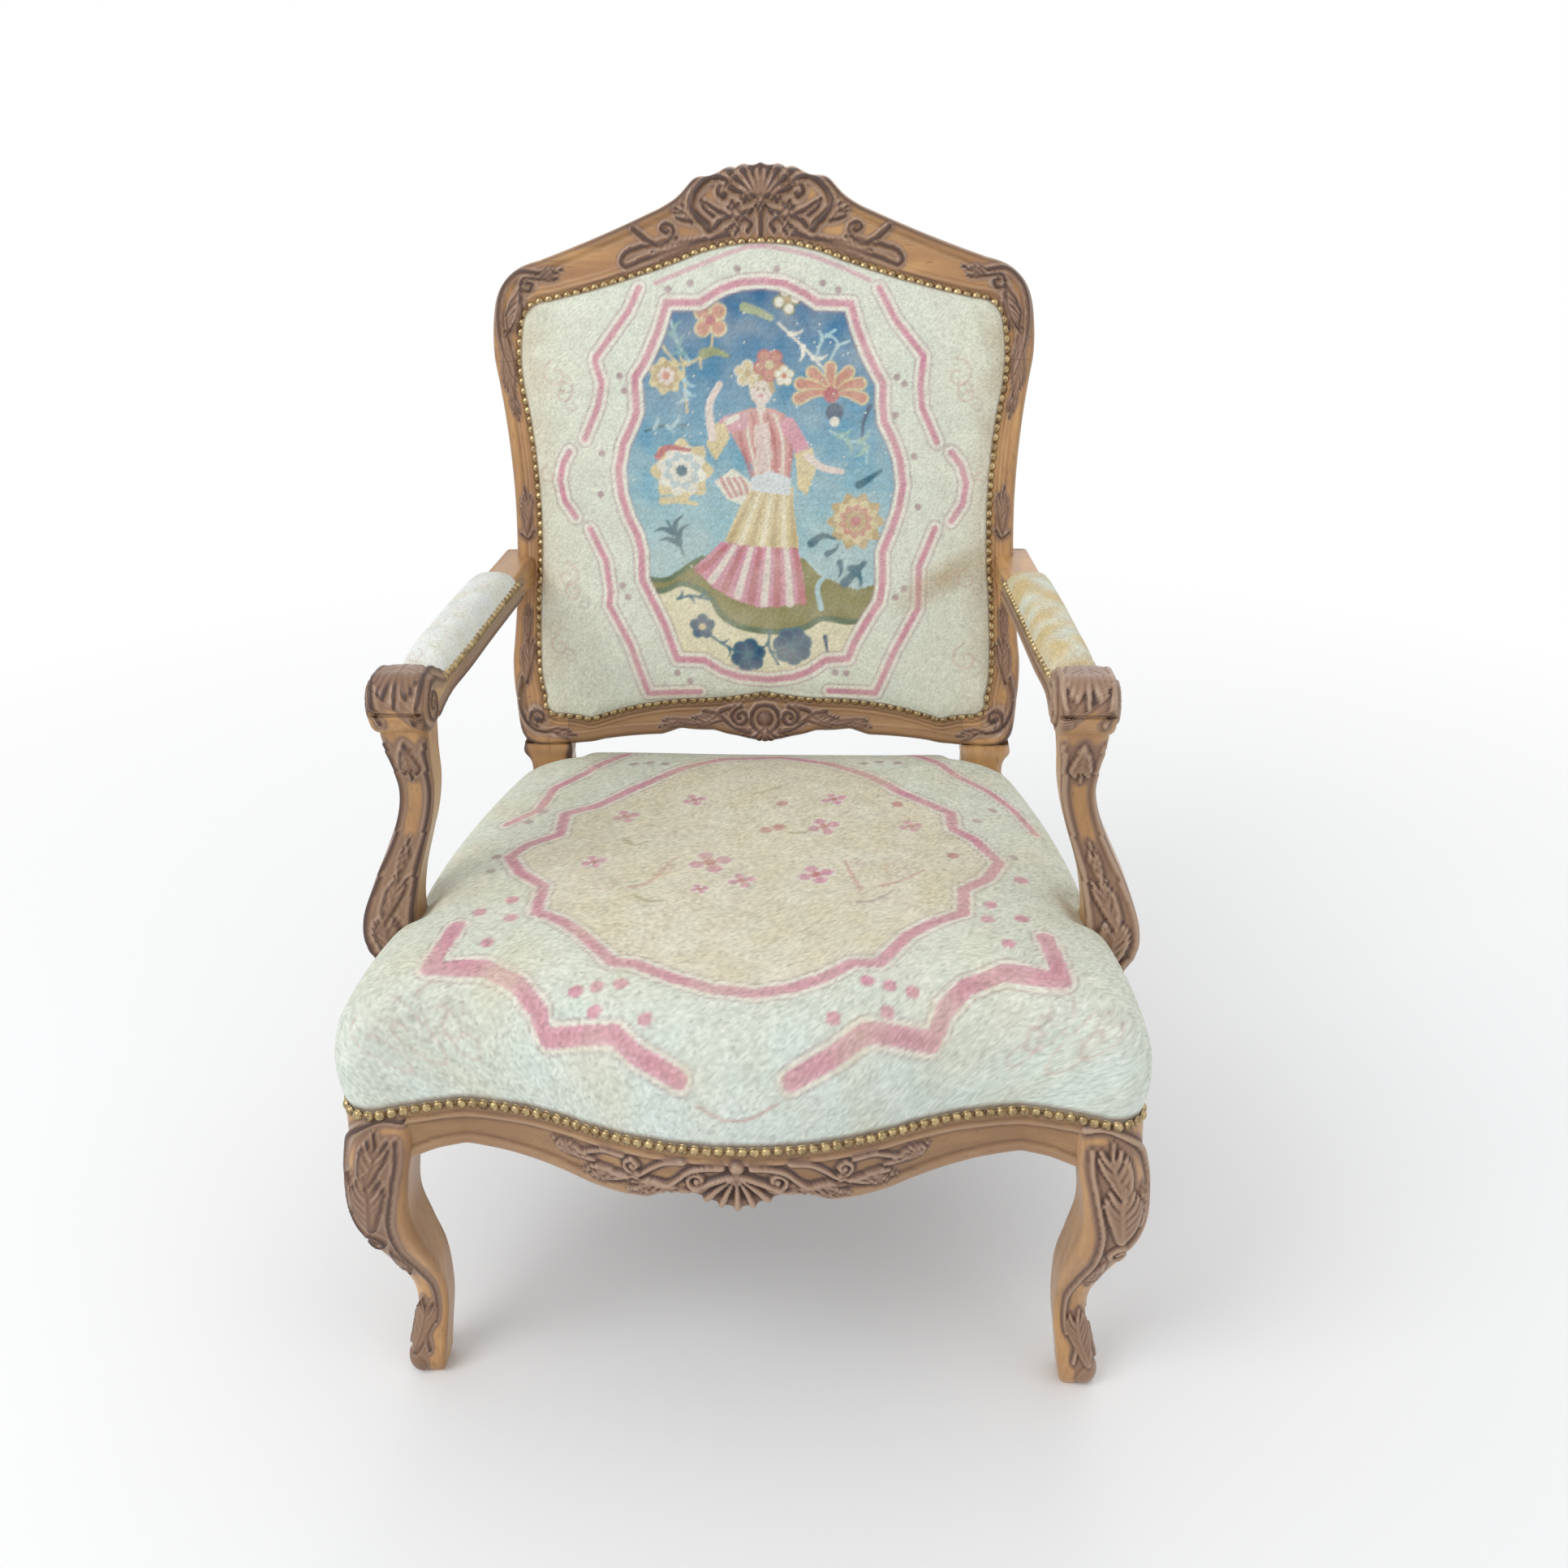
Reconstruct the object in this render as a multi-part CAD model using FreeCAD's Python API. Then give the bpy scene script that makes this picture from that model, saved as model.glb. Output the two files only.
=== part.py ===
import FreeCAD
import Part

import math
import os

# Open armchair with a carved and pegged wooden frame and tacked upholstery.
# Millimetres, z up, the front faces -y. x = 0 is the middle of the chair.
# The frame is drawn from a zero in the middle of the seat, and place_origin moves
# the finished chair so that its origin is the middle of its footprint on the floor.

# Seat frame in plan: half widths from the middle, and y of each point
SEAT_HALF_WIDTH = 341.0
SEAT_REAR_HALF_WIDTH = 268.0
FRONT_BOW_REACH = 327.0
FRONT_BOW_HALF = 133.0
FRONT_BOW_RISE = 30.0
KNEE_BEHIND_BOW = 42.0
KNEE_ROUND_DEPTH = 23.0
KNEE_ROUND_WIDTH = 35.0
HOLLOW_DEPTH = 18.0
HOLLOW_FROM_KNEE = 66.0
SIDE_TURN_INWARD = 23.0
SIDE_TURN_Y = -108.0
SEAT_REAR_Y = 234.0

# Seat frame in height
NAIL_LINE_Z = 320.0
RAIL_TOP_Z = 350.0
RAIL_THICKNESS = 36.0
REBATE = 4.6
FRONT_RAIL_BOTTOM = 268.0
FRONT_RAIL_HOLLOW = 278.0
APRON_FOOT_HALF = 100.0
APRON_TURN_HALF = 190.0
SIDE_RAIL_BOTTOM = 272.0
SIDE_RAIL_ARCH = 8.0
REAR_RAIL_BOTTOM = 278.0
REAR_RAIL_THICKNESS = 30.0

# Joinery
FIT = 0.15
GLUE_GAP = 0.5
LEG_BLOCK = 56.0
TENON_THICKNESS = 10.0
TENON_LENGTH = 25.0
FRONT_TENON_SETBACK = 31.0
SIDE_TENON_SETBACK = 19.0
REAR_TENON_SETBACK = 15.0
TENON_ROOT = 6.0
TENON_BOTTOM_Z = 288.0
TENON_TOP_Z = 338.0
PEG_DIAMETER = 7.0
SCREW_DIAMETER = 4.5
SCREW_HEAD_DIAMETER = 9.0
CORNER_BLOCK_REACH = 62.0
CORNER_BLOCK_HEIGHT = 42.0
CORNER_BLOCK_TOP_Z = 336.0

# Rear posts
POST_FRONT_Y = 196.0
POST_DEPTH = 44.0
POST_INNER_HALF = 213.0
POST_BLOCK_BOTTOM_Z = 272.0
POST_CORNER = 4.0
NECK_Z = 392.0

# Back frame, in its own leaning plane: x across, s up the slope from the back's foot
RAKE = 12.46
BACK_FOOT_Y = 201.2
BACK_FOOT_Z = 450.0
BACK_THICKNESS = 30.0
STILE_FOOT_S = -9.0
HIP_HALF_WIDTH = 272.5
HIP_S = 92.0
WAIST_HALF_WIDTH = 262.3
WAIST_S = 252.0
SHOULDER_HALF_WIDTH = 278.0
SHOULDER_S = 427.0
STILE_TOP_S = 400.0
CREST_PEAK_S = 582.0
CREST_SHELL_HALF = 64.0
CREST_SHELL_S = 572.0
CREST_FLANK_HALF = 112.0
CREST_FLANK_S = 544.0
CREST_END_HALF = 233.0
CREST_END_S = 497.0
LOWER_RAIL_SCALLOP = 12.0
CREST_SHELL_LENGTH = 58.0
CREST_SHELL_RISE = 9.0
CARVING_RISE = 6.0
APRON_LEAF_LENGTH = 38.0

# Show wood left beside the upholstery of the back, and the panel behind it
HIP_SHOW = 32.0
WAIST_SHOW = 29.2
SHOULDER_SHOW = 32.0
PANEL_TOP_S = 513.5
PANEL_TOP_HALF = 80.0
PANEL_TOP_RISE = 16.5
PANEL_CORNER_HALF = 218.0
PANEL_CORNER_S = 458.5
PANEL_FOOT_HALF = 224.0
PANEL_FOOT_S = 30.0
PANEL_HOLLOW_HALF = 190.0
PANEL_HOLLOW_S = 25.0
PANEL_ARCH_HALF = 71.0
PANEL_ARCH_S = 47.0
PANEL_ARCH_PEAK_S = 54.7
PANEL_LAP = 20.0
PANEL_REBATE = 6.0
PANEL_EDGE = 4.0
LOWER_TENON_BOTTOM_S = 6.0
LOWER_TENON_TOP_S = 40.0
CREST_TENON_WIDTH = 22.0
CREST_TENON_SETBACK = 16.0
BACK_TENON_DEPTH = 10.0

# Arms and their consoles
ARM_BOTTOM_Z = 617.0
ARM_TOP_Z = 645.0
ARM_HALF_WIDTH = 20.0
ARM_REAR_HALF_X = 262.0
ARM_SET_OUT = 5.0
ARM_CHAMFER = 7.0
KNUCKLE_Y = -139.0
KNUCKLE_Z = 640.0
KNUCKLE_RADIUS = 24.5
KNUCKLE_HALF_WIDTH = 24.5
VOLUTE_EYE_DIAMETER = 17.0
VOLUTE_EYE_HEIGHT = 3.0
CONSOLE_BEYOND_RAIL = 24.0
CONSOLE_BASE_Z = 352.0
CONSOLE_BASE_WIDTH = 44.0
CONSOLE_BASE_Y = -107.0
CONSOLE_FOOT_LENGTH = 40.0
CONSOLE_TOP_TENON = 12.0
CONSOLE_TENON_HEIGHT = 16.0
ARM_PAD_REAR_Y = 172.0
ARM_PAD_FRONT_Y = -84.0
ARM_PAD_CROWN_Z = 667.0
ARM_PAD_LAP = 9.0

# Upholstery
COVER_THICKNESS = 2.4
SKIN_GAP = 0.3
SEAT_CROWN_Z = 451.0
SEAT_BULGE_Z = 366.0
SEAT_BULGE = 3.0
BACK_CROWN = 20.0
WEB_WIDTH = 50.0
WEB_THICKNESS = 1.5
SEAT_WEB_PITCH = 84.0
SEAT_CROSS_WEB_PITCH = 88.0
SEAT_WEB_MIDDLE_Y = -40.0
BACK_WEB_PITCH = 96.0
BACK_CROSS_WEB_PITCH = 82.0
HESSIAN_THICKNESS = 1.0
BOTTOM_CLOTH_THICKNESS = 1.0
BOTTOM_CLOTH_Z = 284.0

# How full the arm pad is along its length
PAD_SWELL = ((0.0, 0.0), (0.05, 0.62), (0.18, 0.92), (0.5, 1.0), (0.82, 0.92), (0.95, 0.62), (1.0, 0.0))

# Arcs of the soft forms and of the legs' round corners, as chords: turn in degrees, sag in mm
CHORD_TURN = 25.0
CHORD_SAG = 0.7
LEG_CORNER_CHORDS = 3
PAD_CROWN_CHORDS = 5

# Front legs: z, centre inward from the seat's half width, centre behind the knee's front, width
LEG_STATIONS = (
    (0.0, 34.5, 36.0, 26.0),
    (6.0, 34.5, 35.0, 31.0),
    (20.0, 35.0, 35.5, 35.0),
    (42.0, 38.5, 39.0, 34.0),
    (75.0, 43.5, 43.5, 30.5),
    (104.0, 43.5, 41.5, 33.0),
    (140.0, 37.5, 33.0, 43.0),
    (175.0, 27.5, 24.0, 51.0),
    (213.0, 19.5, 20.0, 54.0),
    (250.0, 21.0, 22.0, 57.0),
    (285.0, 26.5, 25.5, 58.0),
)
KNEE_SLANT = 9.0
KNEE_SLANT_Z = 260.0
FOOT_SCROLL_RADIUS = 8.5
FOOT_SCROLL_WIDTH = 22.0
FOOT_SCROLL_Z = 22.0

# Rear legs below the seat: z, inner x and outer x inward from the block's outer face, front y, rear y
REAR_LEG_STATIONS = (
    (0.0, 30.0, 3.0, 296.0, 323.0),
    (20.0, 31.0, 1.0, 291.0, 320.0),
    (80.0, 34.0, 4.0, 272.0, 302.0),
    (150.0, 41.0, 5.0, 243.0, 279.0),
    (220.0, 50.0, 1.0, 210.0, 254.0),
)

# Consoles: z, outer x beyond the base's outer face, width, front y beyond the base's, depth
CONSOLE_STATIONS = (
    (366.0, 0.0, 44.0, 0.0, 46.0),
    (392.0, 9.0, 50.0, 6.0, 50.0),
    (421.0, 9.0, 48.0, 5.0, 48.0),
    (455.0, -2.0, 41.0, -4.0, 43.0),
    (488.0, -17.0, 35.0, -10.0, 40.0),
    (517.0, -29.0, 32.0, -10.0, 38.0),
    (552.0, -38.0, 31.0, -3.0, 38.0),
    (585.0, -37.0, 35.0, 9.0, 40.0),
    (612.0, -34.0, 42.0, 18.0, 40.0),
    (622.0, -34.0, 44.0, 19.0, 36.0),
)

# Sizes that follow from the ones above
KNEE_FRONT = FRONT_BOW_REACH - KNEE_BEHIND_BOW
KNEE_SIDE = KNEE_FRONT - KNEE_ROUND_DEPTH
KNEE_FLAT = SEAT_HALF_WIDTH - KNEE_ROUND_WIDTH
FRONT_HOLLOW_REACH = KNEE_FRONT - HOLLOW_DEPTH
FRONT_HOLLOW_HALF = KNEE_FLAT - HOLLOW_FROM_KNEE
SIDE_TURN_HALF_WIDTH = SEAT_HALF_WIDTH - SIDE_TURN_INWARD
CONSOLE_OUTER_X = SIDE_TURN_HALF_WIDTH + CONSOLE_BEYOND_RAIL
LEG_INNER_X = SEAT_HALF_WIDTH - LEG_BLOCK
LEG_REAR_Y = LEG_BLOCK - KNEE_FRONT - 1.0
POST_REAR_Y = POST_FRONT_Y + POST_DEPTH
FRONT_TENON_Y = LEG_REAR_Y - FRONT_TENON_SETBACK
SIDE_TENON_X = SEAT_HALF_WIDTH - SIDE_TENON_SETBACK
REAR_SIDE_TENON_X = SEAT_REAR_HALF_WIDTH - REAR_TENON_SETBACK
REAR_TENON_Y = SEAT_REAR_Y - REAR_RAIL_THICKNESS / 2

# A reach past the whole chair, for cutting shapes
FAR = 3 * SEAT_HALF_WIDTH

def vec(x, y, z):
    return FreeCAD.Vector(x, y, z)


# Outlines. Each is the right half of a clockwise outline, from its top to its foot on
# the middle line: a list of (x, y, bulge), where the bulge is how far the arc that ends
# at the point stands outward from its chord.


def plan(z):
    """Draws an outline flat, at height z."""
    return lambda x, y: vec(x, y, z)


def elevation(y):
    """Draws an outline upright and facing the front, at depth y."""
    return lambda x, z: vec(x, y, z)


def side_elevation(x):
    """Draws an outline upright and facing the side, at x."""
    return lambda y, z: vec(x, y, z)


def span(here, there, bulge, draw):
    """One side of an outline: a straight line, or an arc that stands out by the bulge."""
    if abs(bulge) < 1e-6:
        return Part.makeLine(draw(*here), draw(*there))
    across = there[0] - here[0]
    along = there[1] - here[1]
    length = math.hypot(across, along)
    middle_x = (here[0] + there[0]) / 2 - along / length * bulge
    middle_y = (here[1] + there[1]) / 2 + across / length * bulge
    return Part.Arc(draw(*here), draw(middle_x, middle_y), draw(*there)).toShape()


def closed(points, draw):
    """Closed wire through all the points of a whole outline."""
    edges = []
    here = points[0][:2]
    for x, y, bulge in points[1:]:
        edges.append(span(here, (x, y), bulge, draw))
        here = (x, y)
    if math.dist(here, points[0][:2]) > 1e-6:
        edges.append(span(here, points[0][:2], points[0][2], draw))
    return Part.Wire(edges)


def chord_counts(points):
    """How many chords stand for each arc of a whole outline: short turns, close to the arc."""
    counts = []
    following = points[1:] + points[:1]
    for here, there in zip(points, following):
        length = math.dist(here[:2], there[:2])
        sweep = 4 * math.atan(2 * abs(there[2]) / length) if length > 1e-6 else 0.0
        by_turn = math.ceil(math.degrees(sweep) / CHORD_TURN)
        by_sag = math.ceil(math.sqrt(abs(there[2]) / CHORD_SAG))
        counts.append(max(1, by_turn, by_sag))
    return counts


def chorded(points, counts, draw):
    """Corners of a closed outline whose arcs are drawn as a few straight chords each."""
    corners = []
    following = points[1:] + points[:1]
    for here, there, count in zip(points, following, counts):
        if math.dist(here[:2], there[:2]) > 1e-6:
            edge = span(here[:2], there[:2], there[2], draw)
            corners += edge.discretize(count + 1)[:-1]
    return corners


def both_halves(half):
    """Whole outline from its right half."""
    left = [(-half[i][0], half[i][1], half[i + 1][2]) for i in range(len(half) - 2, -1, -1)]
    return list(half) + left


def inset(half, middle_y, half_width, distance):
    """The same outline drawn in towards its middle, by a distance at its sides."""
    by = 1 - distance / half_width
    return [(x * by, middle_y + (y - middle_y) * by, bulge * by) for x, y, bulge in half]


def prism(half, draw, direction):
    """Solid of a mirrored outline pushed along a direction."""
    return Part.Face(closed(both_halves(half), draw)).extrude(direction)


def polygon_face(corners):
    return Part.Face(Part.makePolygon(corners + [corners[0]]))


def strip(a, b, c, d):
    """Side of a loft between the edges a-b and d-c: one flat face, or two if it twists."""
    normal = (b - a).cross(c - a)
    if abs(normal.dot(d - a)) < 1e-4 * normal.Length:
        return [polygon_face([a, b, c, d])]
    return [polygon_face([a, b, c]), polygon_face([a, c, d])]


def loft(rings):
    """Solid lofted straight from each ring of corners to the next."""
    faces = [polygon_face(rings[0]), polygon_face(rings[-1])]
    for here, there in zip(rings, rings[1:]):
        for index in range(len(here)):
            after = (index + 1) % len(here)
            faces += strip(here[index], here[after], there[after], there[index])
    shell = Part.makeShell(faces)
    shell.sewShape()
    solid = Part.makeSolid(shell)
    if solid.Volume < 0:
        solid.reverse()
    return solid


def box(x0, x1, y0, y1, z0, z1):
    return Part.makeBox(x1 - x0, y1 - y0, z1 - z0, vec(x0, y0, z0))


def fused(pieces):
    """One solid from pieces that share faces or overlap."""
    return pieces[0].multiFuse(pieces[1:]).removeSplitter()


def group(pieces):
    return Part.makeCompound(pieces)


def single(shape):
    """The one solid in a shape."""
    assert len(shape.Solids) == 1, len(shape.Solids)
    return shape.Solids[0]


def mirrored(shape):
    return shape.mirror(vec(0, 0, 0), vec(1, 0, 0))


def pair(name, shape):
    """The piece of the right side and its mirror image for the left side.

    The chair's left is the side of a sitter's left hand, at +x seen from the front."""
    return {name + "_left": shape, name + "_right": mirrored(shape)}


def leaning(shape):
    """Stands a piece that was drawn in the plane of the back onto the leaning back."""
    turned = shape.copy()
    turned.rotate(vec(0, 0, 0), vec(1, 0, 0), -RAKE)
    turned.translate(vec(0, BACK_FOOT_Y, BACK_FOOT_Z))
    return turned


def eight_corners(middle, direction, radius):
    """Corners of an octagon square to a direction, its flats at the radius."""
    reach = radius / math.cos(math.pi / 8)
    aside = vec(direction.y, direction.z, direction.x)
    across = direction.cross(aside)
    across.normalize()
    aside = across.cross(direction)
    corners = []
    for index in range(8):
        turn = math.pi / 8 + index * math.pi / 4
        corners.append(middle + aside * (reach * math.cos(turn)) + across * (reach * math.sin(turn)))
    return corners


def screw(start, direction, length, grow=0.0):
    """Countersunk wood screw: start is the middle of its head, sunk level with the wood."""
    head = (SCREW_HEAD_DIAMETER - SCREW_DIAMETER) / 2
    wide = SCREW_HEAD_DIAMETER / 2 + grow
    narrow = SCREW_DIAMETER / 2 + grow
    return loft(
        [
            eight_corners(start, direction, wide),
            eight_corners(start + direction * head, direction, narrow),
            eight_corners(start + direction * (length + grow), direction, narrow),
        ]
    )


# Seat frame


def seat_outline(distance=0.0):
    """Right half of the seat frame in plan: serpentine front, bowed side, straight rear."""
    bow_y = FRONT_BOW_RISE - FRONT_BOW_REACH
    half = [
        (0.0, SEAT_REAR_Y, 0.0),
        (SEAT_REAR_HALF_WIDTH - 4.0, SEAT_REAR_Y, 0.0),
        (SEAT_REAR_HALF_WIDTH, POST_FRONT_Y, 0.0),
        (SIDE_TURN_HALF_WIDTH, SIDE_TURN_Y, 11.0),
        (SEAT_HALF_WIDTH, -KNEE_SIDE, 6.0),
        (KNEE_FLAT, -KNEE_FRONT, 11.0),
        (FRONT_HOLLOW_HALF, -FRONT_HOLLOW_REACH, -2.0),
        (FRONT_BOW_HALF, bow_y, -6.0),
        (0.0, -FRONT_BOW_REACH, FRONT_BOW_RISE / 4),
    ]
    middle_y = (SEAT_REAR_Y - FRONT_BOW_REACH) / 2
    return inset(half, middle_y, SEAT_HALF_WIDTH, distance)


def seat_prism(distance, z0, z1):
    return prism(seat_outline(distance), plan(z0), vec(0, 0, z1 - z0))


def inside_prism(distance, z0, z1):
    """Opening between the seat rails, drawn in by a distance."""
    rear_y = SEAT_REAR_Y - REAR_RAIL_THICKNESS
    front_thick = RAIL_THICKNESS - 2.0
    knee_x = SEAT_HALF_WIDTH - RAIL_THICKNESS - 2.0
    hollow_y = front_thick - FRONT_HOLLOW_REACH
    half = [
        (0.0, rear_y, 0.0),
        (SEAT_REAR_HALF_WIDTH - RAIL_THICKNESS, rear_y, 0.0),
        (SIDE_TURN_HALF_WIDTH - RAIL_THICKNESS, SIDE_TURN_Y, 9.0),
        (knee_x, LEG_REAR_Y, 5.0),
        (knee_x, hollow_y, 0.0),
        (FRONT_HOLLOW_HALF, hollow_y, 0.0),
        (FRONT_BOW_HALF - 6.0, FRONT_BOW_RISE - FRONT_BOW_REACH + front_thick, -4.0),
        (0.0, RAIL_THICKNESS - FRONT_BOW_REACH, FRONT_BOW_RISE / 4),
    ]
    middle_y = (SEAT_REAR_Y - FRONT_BOW_REACH) / 2
    drawn_in = inset(half, middle_y, SEAT_HALF_WIDTH, distance)
    return prism(drawn_in, plan(z0), vec(0, 0, z1 - z0))


def rail_ring():
    """The four seat rails as one ring, rebated above the nail line for the cloth."""
    lowest = FRONT_RAIL_BOTTOM - 20.0
    outside = fused(
        [
            seat_prism(0.0, lowest, NAIL_LINE_Z),
            seat_prism(REBATE, NAIL_LINE_Z, RAIL_TOP_Z),
        ]
    )
    return outside.cut(inside_prism(0.0, lowest - 1.0, RAIL_TOP_Z + 1.0))


def front_tenon(grow=0.0):
    """Tenon of the front rail in the leg of the +x side."""
    half = TENON_THICKNESS / 2 + grow
    return box(
        LEG_INNER_X - TENON_ROOT,
        LEG_INNER_X + TENON_LENGTH + grow,
        FRONT_TENON_Y - half,
        FRONT_TENON_Y + half,
        TENON_BOTTOM_Z - grow,
        TENON_TOP_Z + grow,
    )


def side_front_tenon(grow=0.0):
    """Tenon of a side rail in the front leg."""
    half = TENON_THICKNESS / 2 + grow
    return box(
        SIDE_TENON_X - half,
        SIDE_TENON_X + half,
        LEG_REAR_Y - TENON_LENGTH - grow,
        LEG_REAR_Y + TENON_ROOT,
        TENON_BOTTOM_Z - grow,
        TENON_TOP_Z + grow,
    )


def side_rear_tenon(grow=0.0):
    """Tenon of a side rail in the rear post."""
    half = TENON_THICKNESS / 2 + grow
    return box(
        REAR_SIDE_TENON_X - half,
        REAR_SIDE_TENON_X + half,
        POST_FRONT_Y - TENON_ROOT,
        POST_FRONT_Y + TENON_LENGTH + grow,
        TENON_BOTTOM_Z - grow,
        TENON_TOP_Z + grow,
    )


def rear_tenon(grow=0.0):
    """Tenon of the rear rail in a rear post."""
    half = TENON_THICKNESS / 2 + grow
    return box(
        POST_INNER_HALF - TENON_ROOT,
        POST_INNER_HALF + TENON_LENGTH + grow,
        REAR_TENON_Y - half,
        REAR_TENON_Y + half,
        TENON_BOTTOM_Z - grow,
        TENON_TOP_Z + grow,
    )


def apron_elevation():
    """Right half of the front rail seen from the front: its shaped lower edge."""
    return [
        (0.0, RAIL_TOP_Z + 5.0, 0.0),
        (LEG_INNER_X, RAIL_TOP_Z + 5.0, 0.0),
        (LEG_INNER_X, FRONT_RAIL_BOTTOM, 0.0),
        (LEG_INNER_X - 14.0, FRONT_RAIL_HOLLOW - 3.0, -2.0),
        (APRON_TURN_HALF, FRONT_RAIL_HOLLOW - 5.0, -4.0),
        (APRON_FOOT_HALF, FRONT_RAIL_BOTTOM, 0.0),
        (0.0, FRONT_RAIL_BOTTOM + 2.0, 2.0),
    ]


def front_seat_rail():
    shaped = prism(apron_elevation(), elevation(-FAR), vec(0, FAR + LEG_REAR_Y, 0))
    rail = rail_ring().common(shaped)
    return single(
        fused([rail, front_tenon(), mirrored(front_tenon())] + apron_carving())
    )


def rib(foot, away, length, foot_width, tip_width, raised, draw):
    """Carved leaf rib: a tapered ridge lying on the wood, drawn in the plane of draw.

    foot is (x, y, depth of the wood), away the angle from straight up, in degrees."""
    turn = math.radians(away)
    along = (math.sin(turn), math.cos(turn))
    aside = (math.cos(turn), -math.sin(turn))
    sections = []
    for reach, width, height in (
        (0.0, foot_width, raised * 0.5),
        (length * 0.7, tip_width, raised),
        (length, tip_width * 0.45, raised * 0.35),
    ):
        low = height * 0.5
        ring = []
        for side, out in ((-0.5, -3.0), (-0.5, low), (0.0, height), (0.5, low), (0.5, -3.0)):
            x = foot[0] + along[0] * reach + aside[0] * width * side
            y = foot[1] + along[1] * reach + aside[1] * width * side
            ring.append(draw(foot[2] - out)(x, y))
        sections.append(ring)
    return loft(sections)


def scroll(x, y, radius, width, depth0, depth1, open_from, draw_at):
    """C shaped scroll cut from a plank, its gap of 80 degrees starting at an angle."""
    draw = draw_at(depth0)
    start = math.radians(open_from + 80.0)
    sweep = math.radians(280.0)

    def at(reach, share):
        turn = start + sweep * share
        return draw(x + reach * math.cos(turn), y + reach * math.sin(turn))

    inner = radius - width
    edges = [
        Part.Arc(at(radius, 0.0), at(radius, 0.25), at(radius, 0.5)).toShape(),
        Part.Arc(at(radius, 0.5), at(radius, 0.75), at(radius, 1.0)).toShape(),
        Part.makeLine(at(radius, 1.0), at(inner, 1.0)),
        Part.Arc(at(inner, 1.0), at(inner, 0.75), at(inner, 0.5)).toShape(),
        Part.Arc(at(inner, 0.5), at(inner, 0.25), at(inner, 0.0)).toShape(),
        Part.makeLine(at(inner, 0.0), at(radius, 0.0)),
    ]
    return Part.Face(Part.Wire(edges)).extrude(vec(0, depth1 - depth0, 0))


def apron_carving():
    """Raised palmette in the middle of the front rail, with leaves to each side."""
    leaves = []
    for turn in (-66.0, -42.0, -20.0, 0.0, 20.0, 42.0, 66.0):
        foot = (0.0, NAIL_LINE_Z - 17.0, -FRONT_BOW_REACH + 1.0)
        length = APRON_LEAF_LENGTH - abs(turn) * 0.1
        leaves.append(rib(foot, 180.0 - turn, length, 5.0, 12.0, CARVING_RISE, elevation))
    for side in (-1, 1):
        for reach, z, length in ((26.0, 291.0, 34.0), (56.0, 289.0, 34.0), (86.0, 287.0, 36.0)):
            foot = (side * reach, z, front_line_y(reach + 14.0) + 0.5)
            leaves.append(rib(foot, side * 100.0, length, 12.0, 15.0, CARVING_RISE, elevation))
    return leaves


def front_line_y(x):
    """y of the bow at the middle of the front rail, x away from the middle."""
    radius = (FRONT_BOW_HALF**2 + FRONT_BOW_RISE**2) / (2 * FRONT_BOW_RISE)
    return radius - FRONT_BOW_REACH - math.sqrt(radius**2 - x**2)


def side_seat_rail():
    """Side rail of the +x side, with an arched lower edge and a notch for the console."""
    inner = SEAT_REAR_HALF_WIDTH - 2 * RAIL_THICKNESS
    lower = [
        (POST_FRONT_Y + 1.0, SIDE_RAIL_BOTTOM, 0.0),
        (LEG_REAR_Y - 1.0, SIDE_RAIL_BOTTOM, SIDE_RAIL_ARCH),
        (LEG_REAR_Y - 1.0, SIDE_RAIL_BOTTOM - 60.0, 0.0),
        (POST_FRONT_Y + 1.0, SIDE_RAIL_BOTTOM - 60.0, 0.0),
    ]
    arch = Part.Face(closed(lower, side_elevation(inner))).extrude(vec(FAR, 0, 0))
    run = box(inner, FAR, LEG_REAR_Y, POST_FRONT_Y, 0.0, FAR)
    rail = rail_ring().common(run).cut(arch)
    rail = fused([rail, side_front_tenon(), side_rear_tenon()])
    return single(rail.cut(console_base(FIT)).cut(console_screw(FIT)))


def rear_seat_rail():
    rail = box(
        -POST_INNER_HALF,
        POST_INNER_HALF,
        SEAT_REAR_Y - REAR_RAIL_THICKNESS,
        SEAT_REAR_Y,
        REAR_RAIL_BOTTOM,
        RAIL_TOP_Z,
    )
    rebate = box(-FAR, FAR, SEAT_REAR_Y - REBATE, FAR, NAIL_LINE_Z, FAR)
    return single(fused([rail.cut(rebate), rear_tenon(), mirrored(rear_tenon())]))


# Front legs


def leg_section(x0, x1, y0, y1, z, outer_radius, chamfer, slant=0.0):
    """Square of a leg: its front outer corner is round, the others are chamfered."""
    bow = 1 - math.sqrt(0.5)
    near = y0 + slant * (1 - chamfer / (x1 - x0))
    points = [
        (x0 + chamfer, near, 0.0),
        (x0, near + chamfer, 0.0),
        (x0, y1 - chamfer, 0.0),
        (x0 + chamfer, y1, 0.0),
        (x1 - chamfer, y1, 0.0),
        (x1, y1 - chamfer, 0.0),
        (x1, y0 + outer_radius, 0.0),
        (x1 - outer_radius, y0, outer_radius * bow),
    ]
    counts = [1, 1, 1, 1, 1, 1, LEG_CORNER_CHORDS, 1]
    return chorded(points, counts, plan(z))


def smooth(stations, count):
    """More stations along the smooth curve through the given ones, evenly spread between them."""
    run = []
    for index in range(len(stations) - 1):
        before = stations[max(index - 1, 0)]
        here = stations[index]
        there = stations[index + 1]
        after = stations[min(index + 2, len(stations) - 1)]
        for step in range(count):
            share = step / count
            run.append(tuple(curve(before, here, there, after, share, k) for k in range(len(here))))
    return run + [stations[-1]]


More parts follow.
